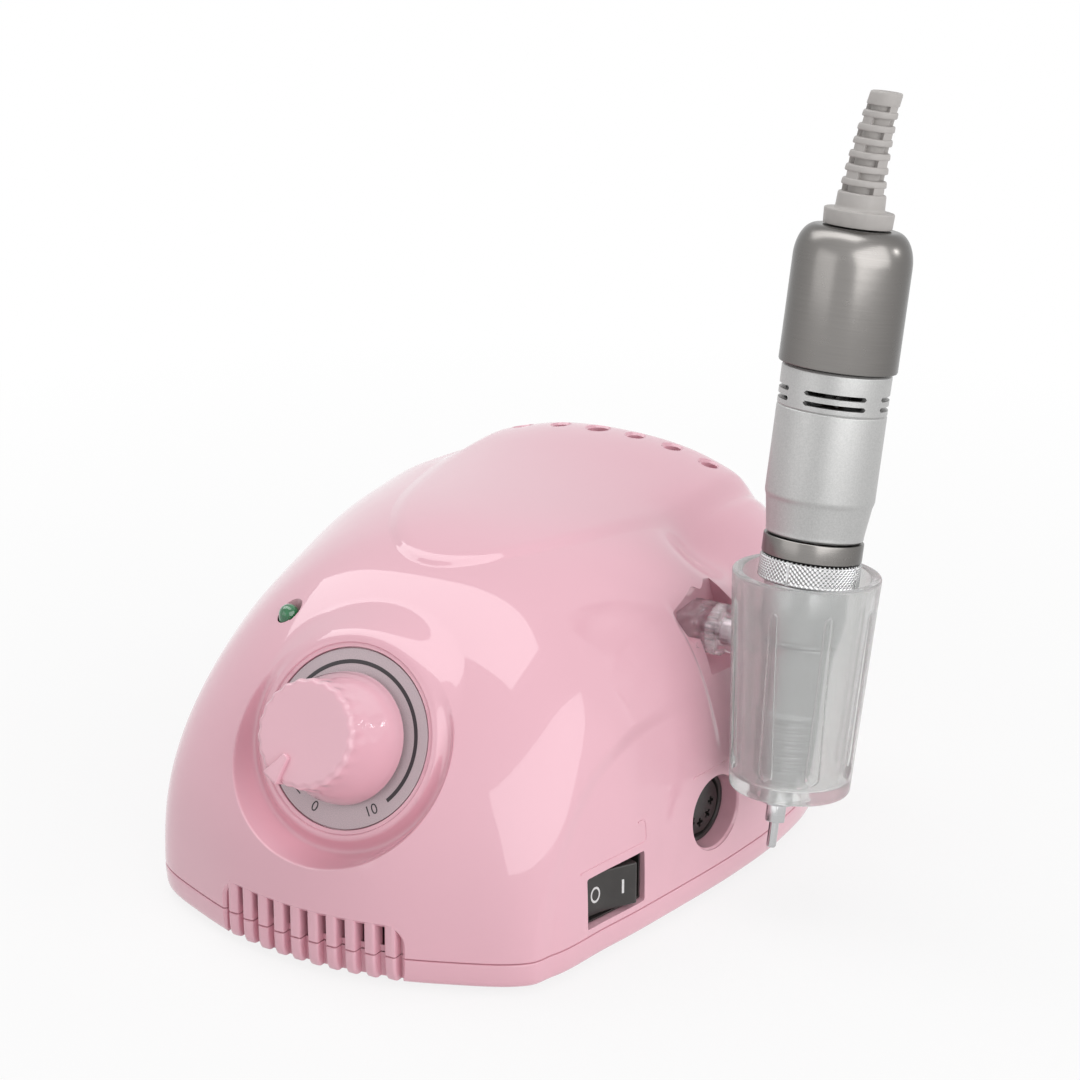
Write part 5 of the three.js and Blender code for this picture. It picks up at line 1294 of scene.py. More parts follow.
def bit_holes(skin):
    """The holes for spare bits: an upright bore, and a countersink square to the roof."""
    holes = []
    for x, y, radius in bit_places():
        place, normal = over_roof(x, y, skin)
        holes.append(plug(radius, -BIT_DEPTH, OVERRUN, 40).at(Matrix.Translation(place)))
        turn = normal.to_track_quat("Z", "Y").to_matrix().to_4x4()
        mouth = radius + BIT_CHAMFER * 1.25
        sink = [(0, -BIT_CHAMFER - radius), (mouth, BIT_CHAMFER * 0.25), (mouth, OVERRUN), (0, OVERRUN)]
        holes.append(lathe(softened(sink, 0.2, 2), 40).at(Matrix.Translation(place) @ turn))
    return holes


LAMP_X, LAMP_Y = -28.7, -40.5
LAMP_RADIUS, LAMP_LENGTH, LAMP_RECESS_RADIUS, LAMP_RECESS, LENS_STEPS = 2.5, 8.6, 3.2, 1.1, 16
SWITCH_WIDTH, SWITCH_HEIGHT, SWITCH_DEPTH, SWITCH_SET_BACK = 20.6, 13.0, 17.0, 1.4
SOCKET_RADIUS, SOCKET_RECESS, SOCKET_LENGTH = 8.8, 4.6, 13.0
SOCKET_WALL, SOCKET_WALL_TOP = 1.8, 0.6
POCKET_WALL = 2.0
POCKET_Y, POCKET_Z, POCKET_FLOOR_X = (5.4, 29.0), (54.0, 73.6), 49.2
POCKET_SHARES = [
    (0, 0.82), (0.09, 0.42), (0.21, 0.46), (0.18, 0.02), (0.74, 0), (1, 0.48), (0.82, 1), (0.55, 0.91),
    (0.46, 0.98),
]
PANEL_HALF_WIDTH, PANEL_Z, PANEL_Y = 36.0, (12.5, 37.5), 81.2
INLET_X, FUSE_X, JACK_X, ROW_Z = -23.0, 3.0, 24.0, 25.0
ALONG_X = framed((0, 1, 0), (0, 0, 1), (1, 0, 0), (0, 0, 0))
MOUTH, MOUTH_RIM = 0.45, 0.05
PANEL_SINK = 0.001
PAD_DEPTH, PAD_PROUD = 2.8, 1.999
POST_RADIUS, POST_GAP = 4, 1.5 * CASE_WALL
SCREW_BORE, SCREW_BORE_RISE = 1.8, 13
SHAFT_BORE, SHAFT_BORE_DEPTH = 3.7, 12
INLET_SIZE, FUSE_SIZE, JACK_SIZE = (18.6, 11.6), (12, 12), (7.8, 7.8)
REAR_REACH = 20


def pocket_outline():
    (front, rear), (low, high) = POCKET_Y, POCKET_Z
    points = [(front + u * (rear - front), low + v * (high - low)) for u, v in POCKET_SHARES]
    return rounded(points, 0.7, 3)


def hole(radius, low, high, sides=64):
    """A round hole whose mouth at height 0 is eased."""
    wide = radius + MOUTH
    profile = [
        (0, low), (radius, low), (radius, -MOUTH), (wide, 0), (wide, MOUTH_RIM), (radius + MOUTH * 3, high),
        (0, high),
    ]
    return lathe(softened(profile, 0.25, 3), sides)


def rear_place(x, z=ROW_Z):
    """A place on the rear panel, its own Z pointing out."""
    return placed(x, PANEL_Y, z, -pi / 2)


def panel_block(margin, radius, low, high):
    """A block over the rear panel, smaller than it by a margin."""
    outline = rectangle(PANEL_HALF_WIDTH * 2 - margin, PANEL_Z[1] - PANEL_Z[0], radius)
    return prism(outline, low, high).at(rear_place(0, sum(PANEL_Z) / 2))


def case_holes(tear_skin):
    """What the case's openings take away, in the order they are cut."""
    window = prism(rectangle(SWITCH_WIDTH, SWITCH_HEIGHT, 0.7, 3), -SWITCH_DEPTH, OVERRUN * 2)
    lamp_hole, lamp_low = LAMP_RADIUS + FIT, -LAMP_LENGTH * 2
    lamp_seat = [
        (0, lamp_low), (lamp_hole, lamp_low), (lamp_hole, -LAMP_RECESS),
        (LAMP_RECESS_RADIUS, -LAMP_RECESS), (LAMP_RECESS_RADIUS, OVERRUN), (0, OVERRUN),
    ]
    return [
        window.at(POWER_PLACE),
        window.at(DIRECTION_PLACE),
        hole(SOCKET_RADIUS + FIT, -SOCKET_LENGTH * 2, OVERRUN).at(SOCKET_PLACE),
        prism(pocket_outline(), POCKET_FLOOR_X, HALF_WIDTH + OVERRUN).at(ALONG_X),
        lathe(lamp_seat, 48).at(placed(LAMP_X, LAMP_Y, case_height(LAMP_X, LAMP_Y))),
        panel_block(0, 3, -PANEL_SINK, OVERRUN * 2),
        *bit_holes(tear_skin),
    ]


def socket_wall():
    """The bore's wall inside the case and the rim that the socket screws into."""
    bore = SOCKET_RADIUS + FIT
    return pipe(bore, bore + SOCKET_WALL, -SOCKET_RECESS - OVERRUN, -SOCKET_WALL_TOP, 64).at(SOCKET_PLACE)


def pocket_tub():
    """The walls and floor of the cradle's pocket, inside the case."""
    return prism(widened(pocket_outline(), POCKET_WALL), POCKET_FLOOR_X - POCKET_WALL, HALF_WIDTH).at(ALONG_X)


def inner_posts():
    """Screw posts and bit tubes under the roof."""
    posts = [rod(POST_RADIUS, FOOT_Z, case_height(x, y) - POST_GAP, 24, x, y) for x, y in SCREW_PLACES]
    for x, y, radius in bit_places():
        top = case_height(x, y)
        posts.append(rod(radius + BIT_TUBE_WALL, top - BIT_DEPTH - BIT_TUBE_FLOOR, top - 1, 24, x, y))
    return posts


LABEL_LINE_WIDTH, LABEL_LINE_HEIGHT, LABEL_LINE_ROOT, LABEL_LINE_CREST = 0.5, 0.22, -0.3, 0.55
SWITCH_LINE = [(-12.4, 8.6), (11.2, 8.6, 1.4), (11.2, 14.2, 1.4), (8.6, 14.2)]
SOCKET_LINE = [(-8.4, 11.6), (6.0, 11.6)]


def raised_line(points, place, skin):
    """A fine ridge on the case along a line given in the place's own plane."""
    corners = [Vector(point) for point in softened(points, 1.0, 5)]
    path = []
    for a, b in zip(corners, corners[1:]):
        steps = max(1, round((b - a).length))
        path.extend(a.lerp(b, i / steps) for i in range(steps))
    path.append(corners[-1])
    down = (place.to_3x3() @ Vector((0, 0, -1))).normalized()
    met = [skin.met(place @ Vector((p.x, p.y, OVERRUN * 3)), down) for p in path]
    flank = [(1, LABEL_LINE_ROOT), (1, 0), (LABEL_LINE_CREST, LABEL_LINE_HEIGHT)]
    section = [(-across, up) for across, up in flank] + flank[::-1]
    rings = []
    for i, (spot, normal) in enumerate(met):
        ahead = (met[min(i + 1, len(met) - 1)][0] - met[max(i - 1, 0)][0]).normalized()
        side = normal.cross(ahead).normalized() * LABEL_LINE_WIDTH / 2
        rings.append([tuple(spot + side * across + normal * up) for across, up in section])
    return rings_shape(rings)


def add_within(shell, shape, limit):
    """Joins to the shell what a shape has within the limit piece."""
    copy = limit.copy()
    copy.data = limit.data.copy()
    bpy.context.scene.collection.objects.link(copy)
    join(shell, combined(solid("extra", shape), "INTERSECT", copy))


def rear_openings():
    """The openings of the rear panel, each a little wider than its fitting."""
    openings = []
    for x, (wide, high) in ((INLET_X, INLET_SIZE), (FUSE_X, FUSE_SIZE), (JACK_X, JACK_SIZE)):
        outline = rectangle(wide + 2 * FIT, high + 2 * FIT, (high / 2) * 0.98, 8)
        openings.append(prism(outline, -REAR_REACH, OVERRUN).at(rear_place(x)))
    return openings


def upper_shell():
    pod, pod_skin = dial_pod()
    tear, tear_skin = teardrop()
    block = case_block()
    shell = solid("upper_shell", block)
    inside = solid("inside", block)
    cut(shell, tear_space(), pod_space())
    join(shell, tear)
    cut(shell, case_lining())
    pad = panel_block(OVERRUN, 2, -PAD_DEPTH, PAD_PROUD)
    for shape in [pocket_tub(), socket_wall(), *inner_posts(), pad]:
        add_within(shell, shape, inside)
    join(shell, pod)
    cut(shell, *case_holes(tear_skin), *rear_openings())
    for x, y in SCREW_PLACES:
        cut(shell, rod(SCREW_BORE, FOOT_Z - OVERRUN, FOOT_Z + SCREW_BORE_RISE, 16, x, y))
    cut(shell, plug(SHAFT_BORE, -SHAFT_BORE_DEPTH, OVERRUN, 32).at(DIAL_PLACE))
    cut(shell, grille_space(PARTING_Z - OVERRUN, GRILLE_TOP), grille_slots())
    join(shell, upper_ribs())
    for line, place in ((SWITCH_LINE, POWER_PLACE), (SOCKET_LINE, SOCKET_PLACE)):
        join(shell, raised_line(line, place, CASE_SKIN))
    bpy.data.objects.remove(inside)
    polished(shell, [CASE_SKIN, pod_skin, tear_skin])
    finished(shell, "case_upper_shell", "case", "pink_plastic", "upper_shell", angle=None)


def plan_ring(z, drawn_in, columns=CASE_COLUMNS):
    """A level ring that follows the parting line, drawn in by a distance."""
    angle = case_angles(columns)
    edge = case_surface(angle, np.zeros(columns), PARTING_Z)
    reach = np.hypot(edge[:, 0], edge[:, 1] - HUB_Y) - drawn_in
    return np.stack([reach * np.sin(angle), HUB_Y - reach * np.cos(angle), np.full(columns, z)], -1)


BASE_LEVELS = [
    (0.0, 1.0), (0.25, 0.72), (0.6, 0.52), (1.1, 0.38), (1.9, 0.25), (3.0, 0.14), (4.4, 0.05), (5.5, 0.0),
]
BASE_RIM = [(0.2, 0.02), (0.05, 0.12), (0, 0.3)]
BASE_WALL = 2.4
BOSS_RADIUS, BOSS_RISE = 5, 0.5
SCREW_WELL_RADIUS, SCREW_WELL_TOP = 3.3, 5.6
SCREW_SINK = [(0, -1), (4.6, -1), (3.2, 0.4), (0, 0.4)]
FLOOR_VENTS, FLOOR_VENT_SIZE, FLOOR_VENT_PITCH, FLOOR_VENT_X = 7, (1.8, 22), 4.4, 20


def floor_vents():
    """A row of slots through the tray's floor."""
    outline = rectangle(*FLOOR_VENT_SIZE, 0.85, 6)
    slot = prism(outline, -OVERRUN, FLOOR_Z + FLOOR_THICKNESS + 1).at(placed(FLOOR_VENT_X))
    return repeated(slot, Count=FLOOR_VENTS, Pitch=FLOOR_VENT_PITCH)


def base_shell():
    rings = [plan_ring(FLOOR_Z + rise, BASE_TUCK_IN * share) for rise, share in BASE_LEVELS]
    rings += [plan_ring(TRAY_TOP - drop, drawn_in) for drop, drawn_in in BASE_RIM]
    tray = solid("base", rings_shape(rings))
    hollow = [(FLOOR_Z + FLOOR_THICKNESS, BASE_TUCK_IN + BASE_WALL), (TRAY_TOP + OVERRUN, BASE_WALL)]
    cut(tray, rings_shape([plan_ring(z, drawn_in, LINING_COLUMNS) for z, drawn_in in hollow]))
    join(tray, *(rod(BOSS_RADIUS, FLOOR_Z + BOSS_RISE, TRAY_TOP, 32, x, y) for x, y in SCREW_PLACES))
    well = [(0, -1), (SCREW_WELL_RADIUS, -1), (SCREW_WELL_RADIUS, SCREW_WELL_TOP), (0, SCREW_WELL_TOP)]
    sink = [(radius, FLOOR_Z + rise) for radius, rise in SCREW_SINK]
    for x, y in SCREW_PLACES:
        cut(tray, rod(SCREW_BORE, -OVERRUN, TRAY_TOP + OVERRUN, 20, x, y))
        cut(tray, lathe(softened(well, 0.1, 1), 32).at(placed(x, y)), lathe(sink, 32).at(placed(x, y)))
    cut(tray, plug(SOCKET_RADIUS + FIT, -SOCKET_LENGTH * 2, OVERRUN, 64).at(SOCKET_PLACE))
    cut(tray, grille_space(-OVERRUN, TRAY_TOP + OVERRUN))
    join(tray, lower_ribs())
    cut(tray, floor_vents())
    finished(tray, "case_base_tray", "case", "pink_plastic", "base_shell")


# Dial, knob and lamp

KNOB_BASE, KNOB_FACE, KNOB_HEIGHT, KNOB_EDGE, KNOB_GAP = 15.6, 12.2, 19.2, 1.4, 0.9
KNOB_FOOT, KNOB_POWER, KNOB_DISH, KNOB_WALL, KNOB_TOP_WALL = 0.6, 1.6, 0.12, 2.2, 2
KNOB_SIDE_STEPS, KNOB_EDGE_STEPS = 40, 8
KNOB_HUB = (3.3, 5, 2.6, KNOB_HEIGHT - 1.5)
POINTER, POINTER_RISE, POINTER_ROOT = [(6.4, -0.8), (13.3, -2.3), (13.3, 2.3), (6.4, 0.8)], 1.2, 3
KNOB_FLUTES, KNOB_FLUTE_DEPTH, KNOB_REST = 22, 0.42, radians(243)
KNOB_PLACE = DIAL_PLACE @ placed(0, 0, KNOB_GAP, 0, 0, KNOB_REST)


def knob_profile():
    """The knob's outline from the middle of its foot over its side to the middle of its face."""
    side = KNOB_HEIGHT - KNOB_EDGE
    draw_in = KNOB_FACE + KNOB_EDGE / 2 - KNOB_BASE
    profile = [(0, 0), (KNOB_BASE - 1.2, 0), (KNOB_BASE - 0.25, 0.15), (KNOB_BASE, KNOB_FOOT)]
    for i in range(1, KNOB_SIDE_STEPS):
        share = i / KNOB_SIDE_STEPS
        radius = KNOB_BASE + draw_in * sin(share * pi / 2) ** KNOB_POWER
        profile.append((radius, KNOB_FOOT + share * (side - KNOB_FOOT)))
    middle = KNOB_FACE - KNOB_EDGE / 2
    profile += [(middle + KNOB_EDGE * c, side + KNOB_EDGE * s) for c, s in quarter(KNOB_EDGE_STEPS)]
    return profile + [
        (KNOB_FACE * share, KNOB_HEIGHT - KNOB_DISH * (1 - share)) for share in (0.8, 0.55, 0.3, 0.1, 0)
    ]


def pointer():
    """The raised arrow on the knob's face, narrow at its inner end."""
    outline = rounded(POINTER, 0.6, 4)
    return prism(outline, KNOB_HEIGHT - POINTER_ROOT, KNOB_HEIGHT + POINTER_RISE, edge=0.4)


def speed_knob():
    knob = solid("knob", lathe(knob_profile(), 288))
    fade = {"Low": KNOB_HEIGHT * 0.72, "High": KNOB_HEIGHT * 0.97}
    grown(knob, WAVES, Waves=float(KNOB_FLUTES), Depth=KNOB_FLUTE_DEPTH, **fade)
    cut(knob, plug(KNOB_FACE - KNOB_WALL, -1, KNOB_HEIGHT - KNOB_TOP_WALL, 64))
    join(knob, pipe(*KNOB_HUB, 48), pointer())
    finished(
        knob, "speed_knob_fluted", "dial", "pink_plastic", "speed_knob", place=KNOB_PLACE, angle=radians(38),
    )


ARC_RADIUS, ARC_WIDTH, ARC_START, ARC_END = 18.0, 0.95, radians(238), radians(-41)
ARC_TAPER_SHARE = 1 / 6
NUMBERS = [("0", ARC_START + radians(16)), ("10", ARC_END - radians(15))]
NUMBER_HEIGHT, LETTER_SHARE = 2.5, 0.7
PRINT_GAP, PRINT_THICKNESS = 0.005, 0.03
DIAL_BORE = 5.8


def band(radius, width, start, end, taper=1.0, steps=120):
    """A flat arc of print, lying on height 0; its start may be narrower."""
    angle = np.linspace(start, end, steps)
    half = width / 2 * np.minimum(1, (1 - taper) + taper * np.linspace(0, 1 / ARC_TAPER_SHARE, steps))
    sides = [np.stack([r * np.cos(angle), r * np.sin(angle)], -1) for r in (radius - half, radius + half)]
    points = np.stack(sides, 1)
    levels = [np.full((*points.shape[:2], 1), z) for z in (PRINT_GAP, PRINT_THICKNESS)]
    return lattice(np.stack([np.concatenate([points, level], -1) for level in levels], 2))


def lettering(text, height, place):
    """Plain numbers as a thin flat print."""
    curve = bpy.data.curves.new("print", "FONT")
    curve.body = text
    curve.size = height / LETTER_SHARE
    curve.align_x, curve.align_y = "CENTER", "CENTER"
    curve.extrude = PRINT_THICKNESS / 2
    writing = bpy.data.objects.new("print", curve)
    bpy.context.scene.collection.objects.link(writing)
    graph = bpy.context.evaluated_depsgraph_get()
    mesh = bpy.data.meshes.new_from_object(writing.evaluated_get(graph))
    bpy.data.objects.remove(writing)
    bpy.data.curves.remove(curve)
    mesh.transform(place @ Matrix.Translation((0, 0, PRINT_THICKNESS / 2)))
    points = [tuple(v.co) for v in mesh.vertices]
    faces = [tuple(p.vertices) for p in mesh.polygons]
    bpy.data.meshes.remove(mesh)
    return Shape(points, faces)


def dial_plate():
    profile = [(DIAL_BORE, -DIAL_THICKNESS), (DIAL_RADIUS, -DIAL_THICKNESS), (DIAL_RADIUS, 0), (DIAL_BORE, 0)]
    plate = solid("plate", ring_lathe(profile, 0.12, 160, 3))
    finished(plate, "dial_scale_plate", "case", "dial_plate", "dial_plate", place=DIAL_PLACE)


def dial_scale():
    """The scale's arc with a plain number beyond each end."""
    scale = [band(ARC_RADIUS, ARC_WIDTH, ARC_START, ARC_END, taper=0.7)]
    for label, angle in NUMBERS:
        spot = placed(*polar(ARC_RADIUS, angle), turn_z=angle + pi / 2)
        scale.append(lettering(label, NUMBER_HEIGHT, spot))
    piece = solid("scale", together(scale))
    finished(piece, "dial_scale_print", "case", "dark_ink", slot="dial_plate", place=DIAL_PLACE, angle=None)


def lamp():
    """A clear lens with a round top that stands up to the lamp's recess."""
    bottom = case_height(LAMP_X, LAMP_Y) - LAMP_RECESS - LAMP_LENGTH + LAMP_RADIUS + FIT
    straight = LAMP_LENGTH - LAMP_RADIUS
    profile = [(0, 0), (LAMP_RADIUS - FIT, 0), (LAMP_RADIUS, FIT), (LAMP_RADIUS, straight)]
    profile += [(LAMP_RADIUS * c, straight + LAMP_RADIUS * s) for c, s in quarter(LENS_STEPS)[1:]]
    piece = solid("lamp", lathe(profile, 64))
    place = placed(LAMP_X, LAMP_Y, bottom)
    finished(piece, "power_lamp_lens", "case", "green_lens", "power_lamp", place=place)


# Switches and socket

FRAME_WALL = 0.9
ROCKER_WIDTH = SWITCH_WIDTH - 2 * (FRAME_WALL + FIT)
ROCKER_HEIGHT = SWITCH_HEIGHT - 2 * (FRAME_WALL + FIT)
ROCKER_REST = radians(12.5)
ROCKER_PIVOT, ROCKER_PROUD, ROCKER_VALLEY, ROCKER_CLEARANCE = 5.2, 1.0, 1.05, 1.2
ROCKER_END = ROCKER_WIDTH / 2 - ROCKER_CLEARANCE
ROCKER_TOP = ROCKER_PIVOT + ROCKER_PROUD
MARK_RADIUS, MARK_LINE, MARK_STRETCH = 1.55, 0.5, (0.82, 1.15, 1, 1)
BAR_WIDTH, BAR_HEIGHT = 0.6, 3.6


def rocker_shape():
    """A rocker about its pivot: a shallow V from end to end."""
    end, top, low = ROCKER_END, ROCKER_TOP, ROCKER_PIVOT / 2
    right = [(low, -low), (end - FIT, low / 2), (end, top, 0.9)]
    left = [(-point[0], *point[1:]) for point in reversed(right)]
    outline = rounded([left[-1], *right, (0, top - ROCKER_VALLEY, 3), *left[:-1]], 0.4, 6)
    return prism(outline, -ROCKER_HEIGHT / 2, ROCKER_HEIGHT / 2, edge=0.35).at(placed(turn_x=pi / 2))


def rocker_marks():
    """A ring on the off half and a bar on the on half."""
    slope = atan2(ROCKER_VALLEY, ROCKER_END)
    middle = ROCKER_END * 0.5
    height = ROCKER_TOP - ROCKER_VALLEY / 2 + PRINT_THICKNESS
    ring = band(MARK_RADIUS, MARK_LINE, 0, TURN, taper=0.0, steps=64)
    bar = prism(rectangle(BAR_WIDTH, BAR_HEIGHT, 0.1, 1), PRINT_GAP, PRINT_THICKNESS)
    ring_place = placed(-middle, 0, height, turn_y=slope) @ Matrix.Diagonal(MARK_STRETCH)
    return ring.at(ring_place) + bar.at(placed(middle, 0, height, turn_y=-slope))


def switch_frame():
    """The switch's box, hollowed out for the rocker and its swing."""
    outline = rectangle(SWITCH_WIDTH - 2 * FIT, SWITCH_HEIGHT - 2 * FIT, 0.5, 3)
    body = solid("body", prism(outline, -SWITCH_DEPTH - SWITCH_SET_BACK, -SWITCH_SET_BACK, edge=0.2))
    well_low = -SWITCH_SET_BACK - ROCKER_PIVOT
    cut(body, prism(rectangle(ROCKER_WIDTH + 2 * FIT, ROCKER_HEIGHT + 2 * FIT, 0.3, 2), well_low, OVERRUN))
    half = ROCKER_HEIGHT / 2 + FIT
    cut(body, plug(ROCKER_WIDTH / 2 + FIT, -half, half, 48).at(placed(0, 0, well_low, pi / 2)))
    return body


def switch(place, name, rocker_node, body_node, rocker_body):
    pivot = place @ placed(0, 0, -SWITCH_SET_BACK - ROCKER_PIVOT, 0, -ROCKER_REST)
    key, angle = solid("key", rocker_shape()), radians(40)
    finished(key, f"{name}_rocker_key", rocker_body, "black_plastic", rocker_node, place=pivot, angle=angle)
    marks = solid("marks", rocker_marks())
    slot = "black_plastic"
    finished(marks, f"{name}_rocker_marks", rocker_body, "white_ink", slot=slot, place=pivot, angle=None)
    finished(switch_frame(), f"{name}_switch_frame", "case", "black_plastic", body_node, place=place)


CONTACT_COUNT, CONTACT_RING, CONTACT_TURN, CONTACT_LONG, CONTACT_WIDE = 5, 4.3, -radians(45), 2.3, 0.75
SOCKET_LIP, SOCKET_THREAD, SOCKET_CORE, SOCKET_GROOVE = 1, 7.6, 6.9, 2
KEYWAY_X, KEYWAY_SIZE = -7.2, (2.2, 1.6)


def shape_of(piece, move=(0, 0, 0)):
    """The piece's mesh as a shape, moved; the piece itself goes."""
    mesh = bpy.data.meshes.new_from_object(piece)
    bpy.data.objects.remove(piece)
    return Shape(
        [tuple(v.co + Vector(move)) for v in mesh.vertices], [tuple(p.vertices) for p in mesh.polygons],
    )


def motor_socket():
    """A round insert with five cross-shaped contacts and a keyway."""
    top, radius = -SOCKET_RECESS, SOCKET_RADIUS
    profile = [
        (0, top - SOCKET_LENGTH), (radius, top - SOCKET_LENGTH), (radius, top), (radius - SOCKET_LIP, top),
        (SOCKET_THREAD, top - 0.5), (SOCKET_THREAD, top - SOCKET_GROOVE), (SOCKET_CORE, top - SOCKET_GROOVE),
        (SOCKET_CORE, top - 0.15), (0, top - 0.15),
    ]
    socket = solid("socket", lathe(softened(profile, 0.15, 2), 96))
    cross = solid("contact", prism(rectangle(CONTACT_LONG, CONTACT_WIDE, 0.1, 1), top - 3, 1))
    join(cross, prism(rectangle(CONTACT_WIDE, CONTACT_LONG, 0.1, 1), top - 3, 1.001))
    contact = shape_of(cross, (CONTACT_RING, 0, 0))
    cut(socket, repeated(contact, Count=CONTACT_COUNT, Turn=CONTACT_TURN))
    cut(socket, prism(rectangle(*KEYWAY_SIZE, 0.3, 2), top - SOCKET_GROOVE, 1).at(placed(KEYWAY_X)))
    finished(socket, "motor_socket_insert", "case", "black_plastic", "motor_socket", place=SOCKET_PLACE)


# Rear panel, feet and screws

FLANGE = 1.6
FLANGE_TOP = FLANGE + FIT
INLET_FLANGE, INLET_WELL, INLET_DEPTH = (22.6, 15.6), (16.6, 9.6), 9
PIN_RADIUS, PIN_PITCH, PIN_LOW, PIN_TOP = 1.2, 8.6, FLANGE - 10, FLANGE - 2.6
FUSE_LENGTH, FUSE_FLANGE, FUSE_CAP_TOP, FUSE_SLOT = 26, 8, FLANGE * 2 + FIT, (7, 1)
JACK_LENGTH, JACK_FLANGE, JACK_BORE, JACK_BORE_DEPTH = 17, 5.9, 1.8, 13


def mains_inlet():
    """An oval inlet with a flange and two pins in its well."""
    body = solid("inlet", prism(rectangle(*INLET_SIZE, 5.4, 8), -REAR_REACH + FIT, FIT, edge=0.3))
    join(body, prism(rectangle(*INLET_FLANGE, 2.9, 6), FIT, FLANGE_TOP, edge=0.35))
    cut(body, prism(rectangle(*INLET_WELL, 3.8, 8), FLANGE_TOP - INLET_DEPTH, OVERRUN))
    join(body, repeated(rod(PIN_RADIUS, PIN_LOW, PIN_TOP, edge=0.4), Count=2, Pitch=PIN_PITCH))
    finished(body, "mains_inlet_fitting", "case", "black_plastic", "mains_inlet", place=rear_place(INLET_X))


def fuse_holder():
    """A screw cap with a milled edge and a slot."""
    radius = FUSE_SIZE[0] / 2
    profile = [
        (0, -FUSE_LENGTH), (radius - 1, -FUSE_LENGTH), (radius, 1 - FUSE_LENGTH), (radius, FIT),
        (FUSE_FLANGE, FIT),
        (FUSE_FLANGE, FLANGE_TOP), (radius + 0.4, FLANGE_TOP), (radius, FUSE_CAP_TOP), (0, FUSE_CAP_TOP),
    ]
    fuse = solid("fuse", solid_lathe(profile, 0.25, 144))
    grown(fuse, WAVES, Waves=24.0, Depth=0.3, Low=FLANGE_TOP, High=FLANGE_TOP + 0.4)
    cut(fuse, prism(rectangle(*FUSE_SLOT, 0.2, 2), FUSE_CAP_TOP - 1, OVERRUN))
    finished(fuse, "fuse_holder_cap", "case", "black_plastic", "fuse_holder", place=rear_place(FUSE_X))


def pedal_jack():
    """A round jack for a foot pedal's plug."""
    radius, top = JACK_SIZE[0] / 2, FLANGE_TOP
    profile = [
        (0, -JACK_LENGTH), (radius, -JACK_LENGTH), (radius, FIT), (JACK_FLANGE, FIT), (JACK_FLANGE, top),
        (3.4, top),
        (2.9, top - 0.3), (JACK_BORE, top - 0.3), (JACK_BORE, top - JACK_BORE_DEPTH),
        (0, top - JACK_BORE_DEPTH),
    ]
    jack = solid("jack", solid_lathe(profile, 0.15, 72))
    finished(jack, "pedal_jack_fitting", "case", "black_plastic", "pedal_jack", place=rear_place(JACK_X))


FOOT_PROFILE = [(0, 0.25), (4.6, 0.25), (5.0, 0), (6.4, 0), (7, 0.6), (7, 1.5), (0, 1.5)]
SCREW_PROFILE = [(0, 0), (2.4, 0), (3, 0.7), (3, 2.2), (1.5, 2.2), (1.5, 13.7), (0, 15.2)]
SCREW_RISE, SCREW_CROSS, SCREW_CROSS_DEPTH = 1.3, (3.6, 0.75), 1.1


def feet():
    for i, (x, y) in enumerate(FOOT_PLACES, 1):
        foot = solid("foot", solid_lathe(FOOT_PROFILE, 0.25, 64))
        finished(foot, f"rubber_foot_{i}", "case", "foot_rubber", f"foot_{i}", place=placed(x, y))


def case_screws():
    cross = prism(rectangle(*SCREW_CROSS, 0.1, 1), -1, SCREW_CROSS_DEPTH)
    for i, (x, y) in enumerate(SCREW_PLACES, 1):
        screw = solid("screw", solid_lathe(SCREW_PROFILE, 0.2, 48))
        cut(screw, *(cross.at(placed(turn_z=turn * pi / 4)) for turn in (-1, 1)))
        place = placed(x, y, FLOOR_Z + SCREW_RISE)
        finished(screw, f"case_screw_head_{i}", "case", "steel", f"case_screw_{i}", place=place)


# Cradle

HUB_LENGTH = PIVOT_X - POCKET_FLOOR_X - 2 * FIT
DISC_RADIUS, DISC_THICKNESS = 6.3, 2.6
ARM_RADIUS, ARM_FLUTES, ARM_FLUTE_DEPTH = 5.3, 24, 0.8
ARM_SCREW_BORE, ARM_HEAD_BORE = 1.8, 3.1
CUP_MARGIN = 0.4


DISC_RIBS = {"Waves": 24.0, "Depth": 0.5, "Low": -1.0, "High": -0.5}


def x_place(x):
    """A place on the cradle's axis, its own Z pointing out of the side."""
    return placed(x, PIVOT_Y, PIVOT_Z, 0, pi / 2)


def ribbed_disc(thickness, edge):
    """A round disc with soft flutes round its edge."""
    return grown(solid("disc", rod(DISC_RADIUS, 0, thickness, 192, edge=edge)), WAVES, **DISC_RIBS)


def cradle_hub():
    low, high = POCKET_FLOOR_X + FIT, POCKET_FLOOR_X + FIT + HUB_LENGTH
    hub = ribbed_disc(HUB_LENGTH, 0.3)
    hub.data.transform(x_place(low))
    lug = DISC_RADIUS * 1.35
    outline = [
        (PIVOT_Y, PIVOT_Z + DISC_RADIUS), (PIVOT_Y - lug, PIVOT_Z + DISC_RADIUS * 0.95),
        (PIVOT_Y - lug, PIVOT_Z + DISC_RADIUS * 0.3), (PIVOT_Y - DISC_RADIUS * 0.4, PIVOT_Z + FIT),
    ]
    join(hub, prism(rounded(outline, 0.5, 4), low, high, edge=0.3).at(ALONG_X))
    cut(hub, rod(ARM_SCREW_BORE, 0, HUB_LENGTH * 2, 32).at(x_place(POCKET_FLOOR_X + HUB_LENGTH / 3)))
    finished(hub, "cradle_clear_hub", "case", "clear_plastic", "cradle_hub")


def cup_space():
    wide = [(CUP_BOTTOM + CUP_MARGIN, -CUP_LENGTH), (CUP_TOP + CUP_MARGIN, 0)]
    return lathe([(0, -CUP_LENGTH), *wide, (0, 0)], 128).at(CUP_PLACE)


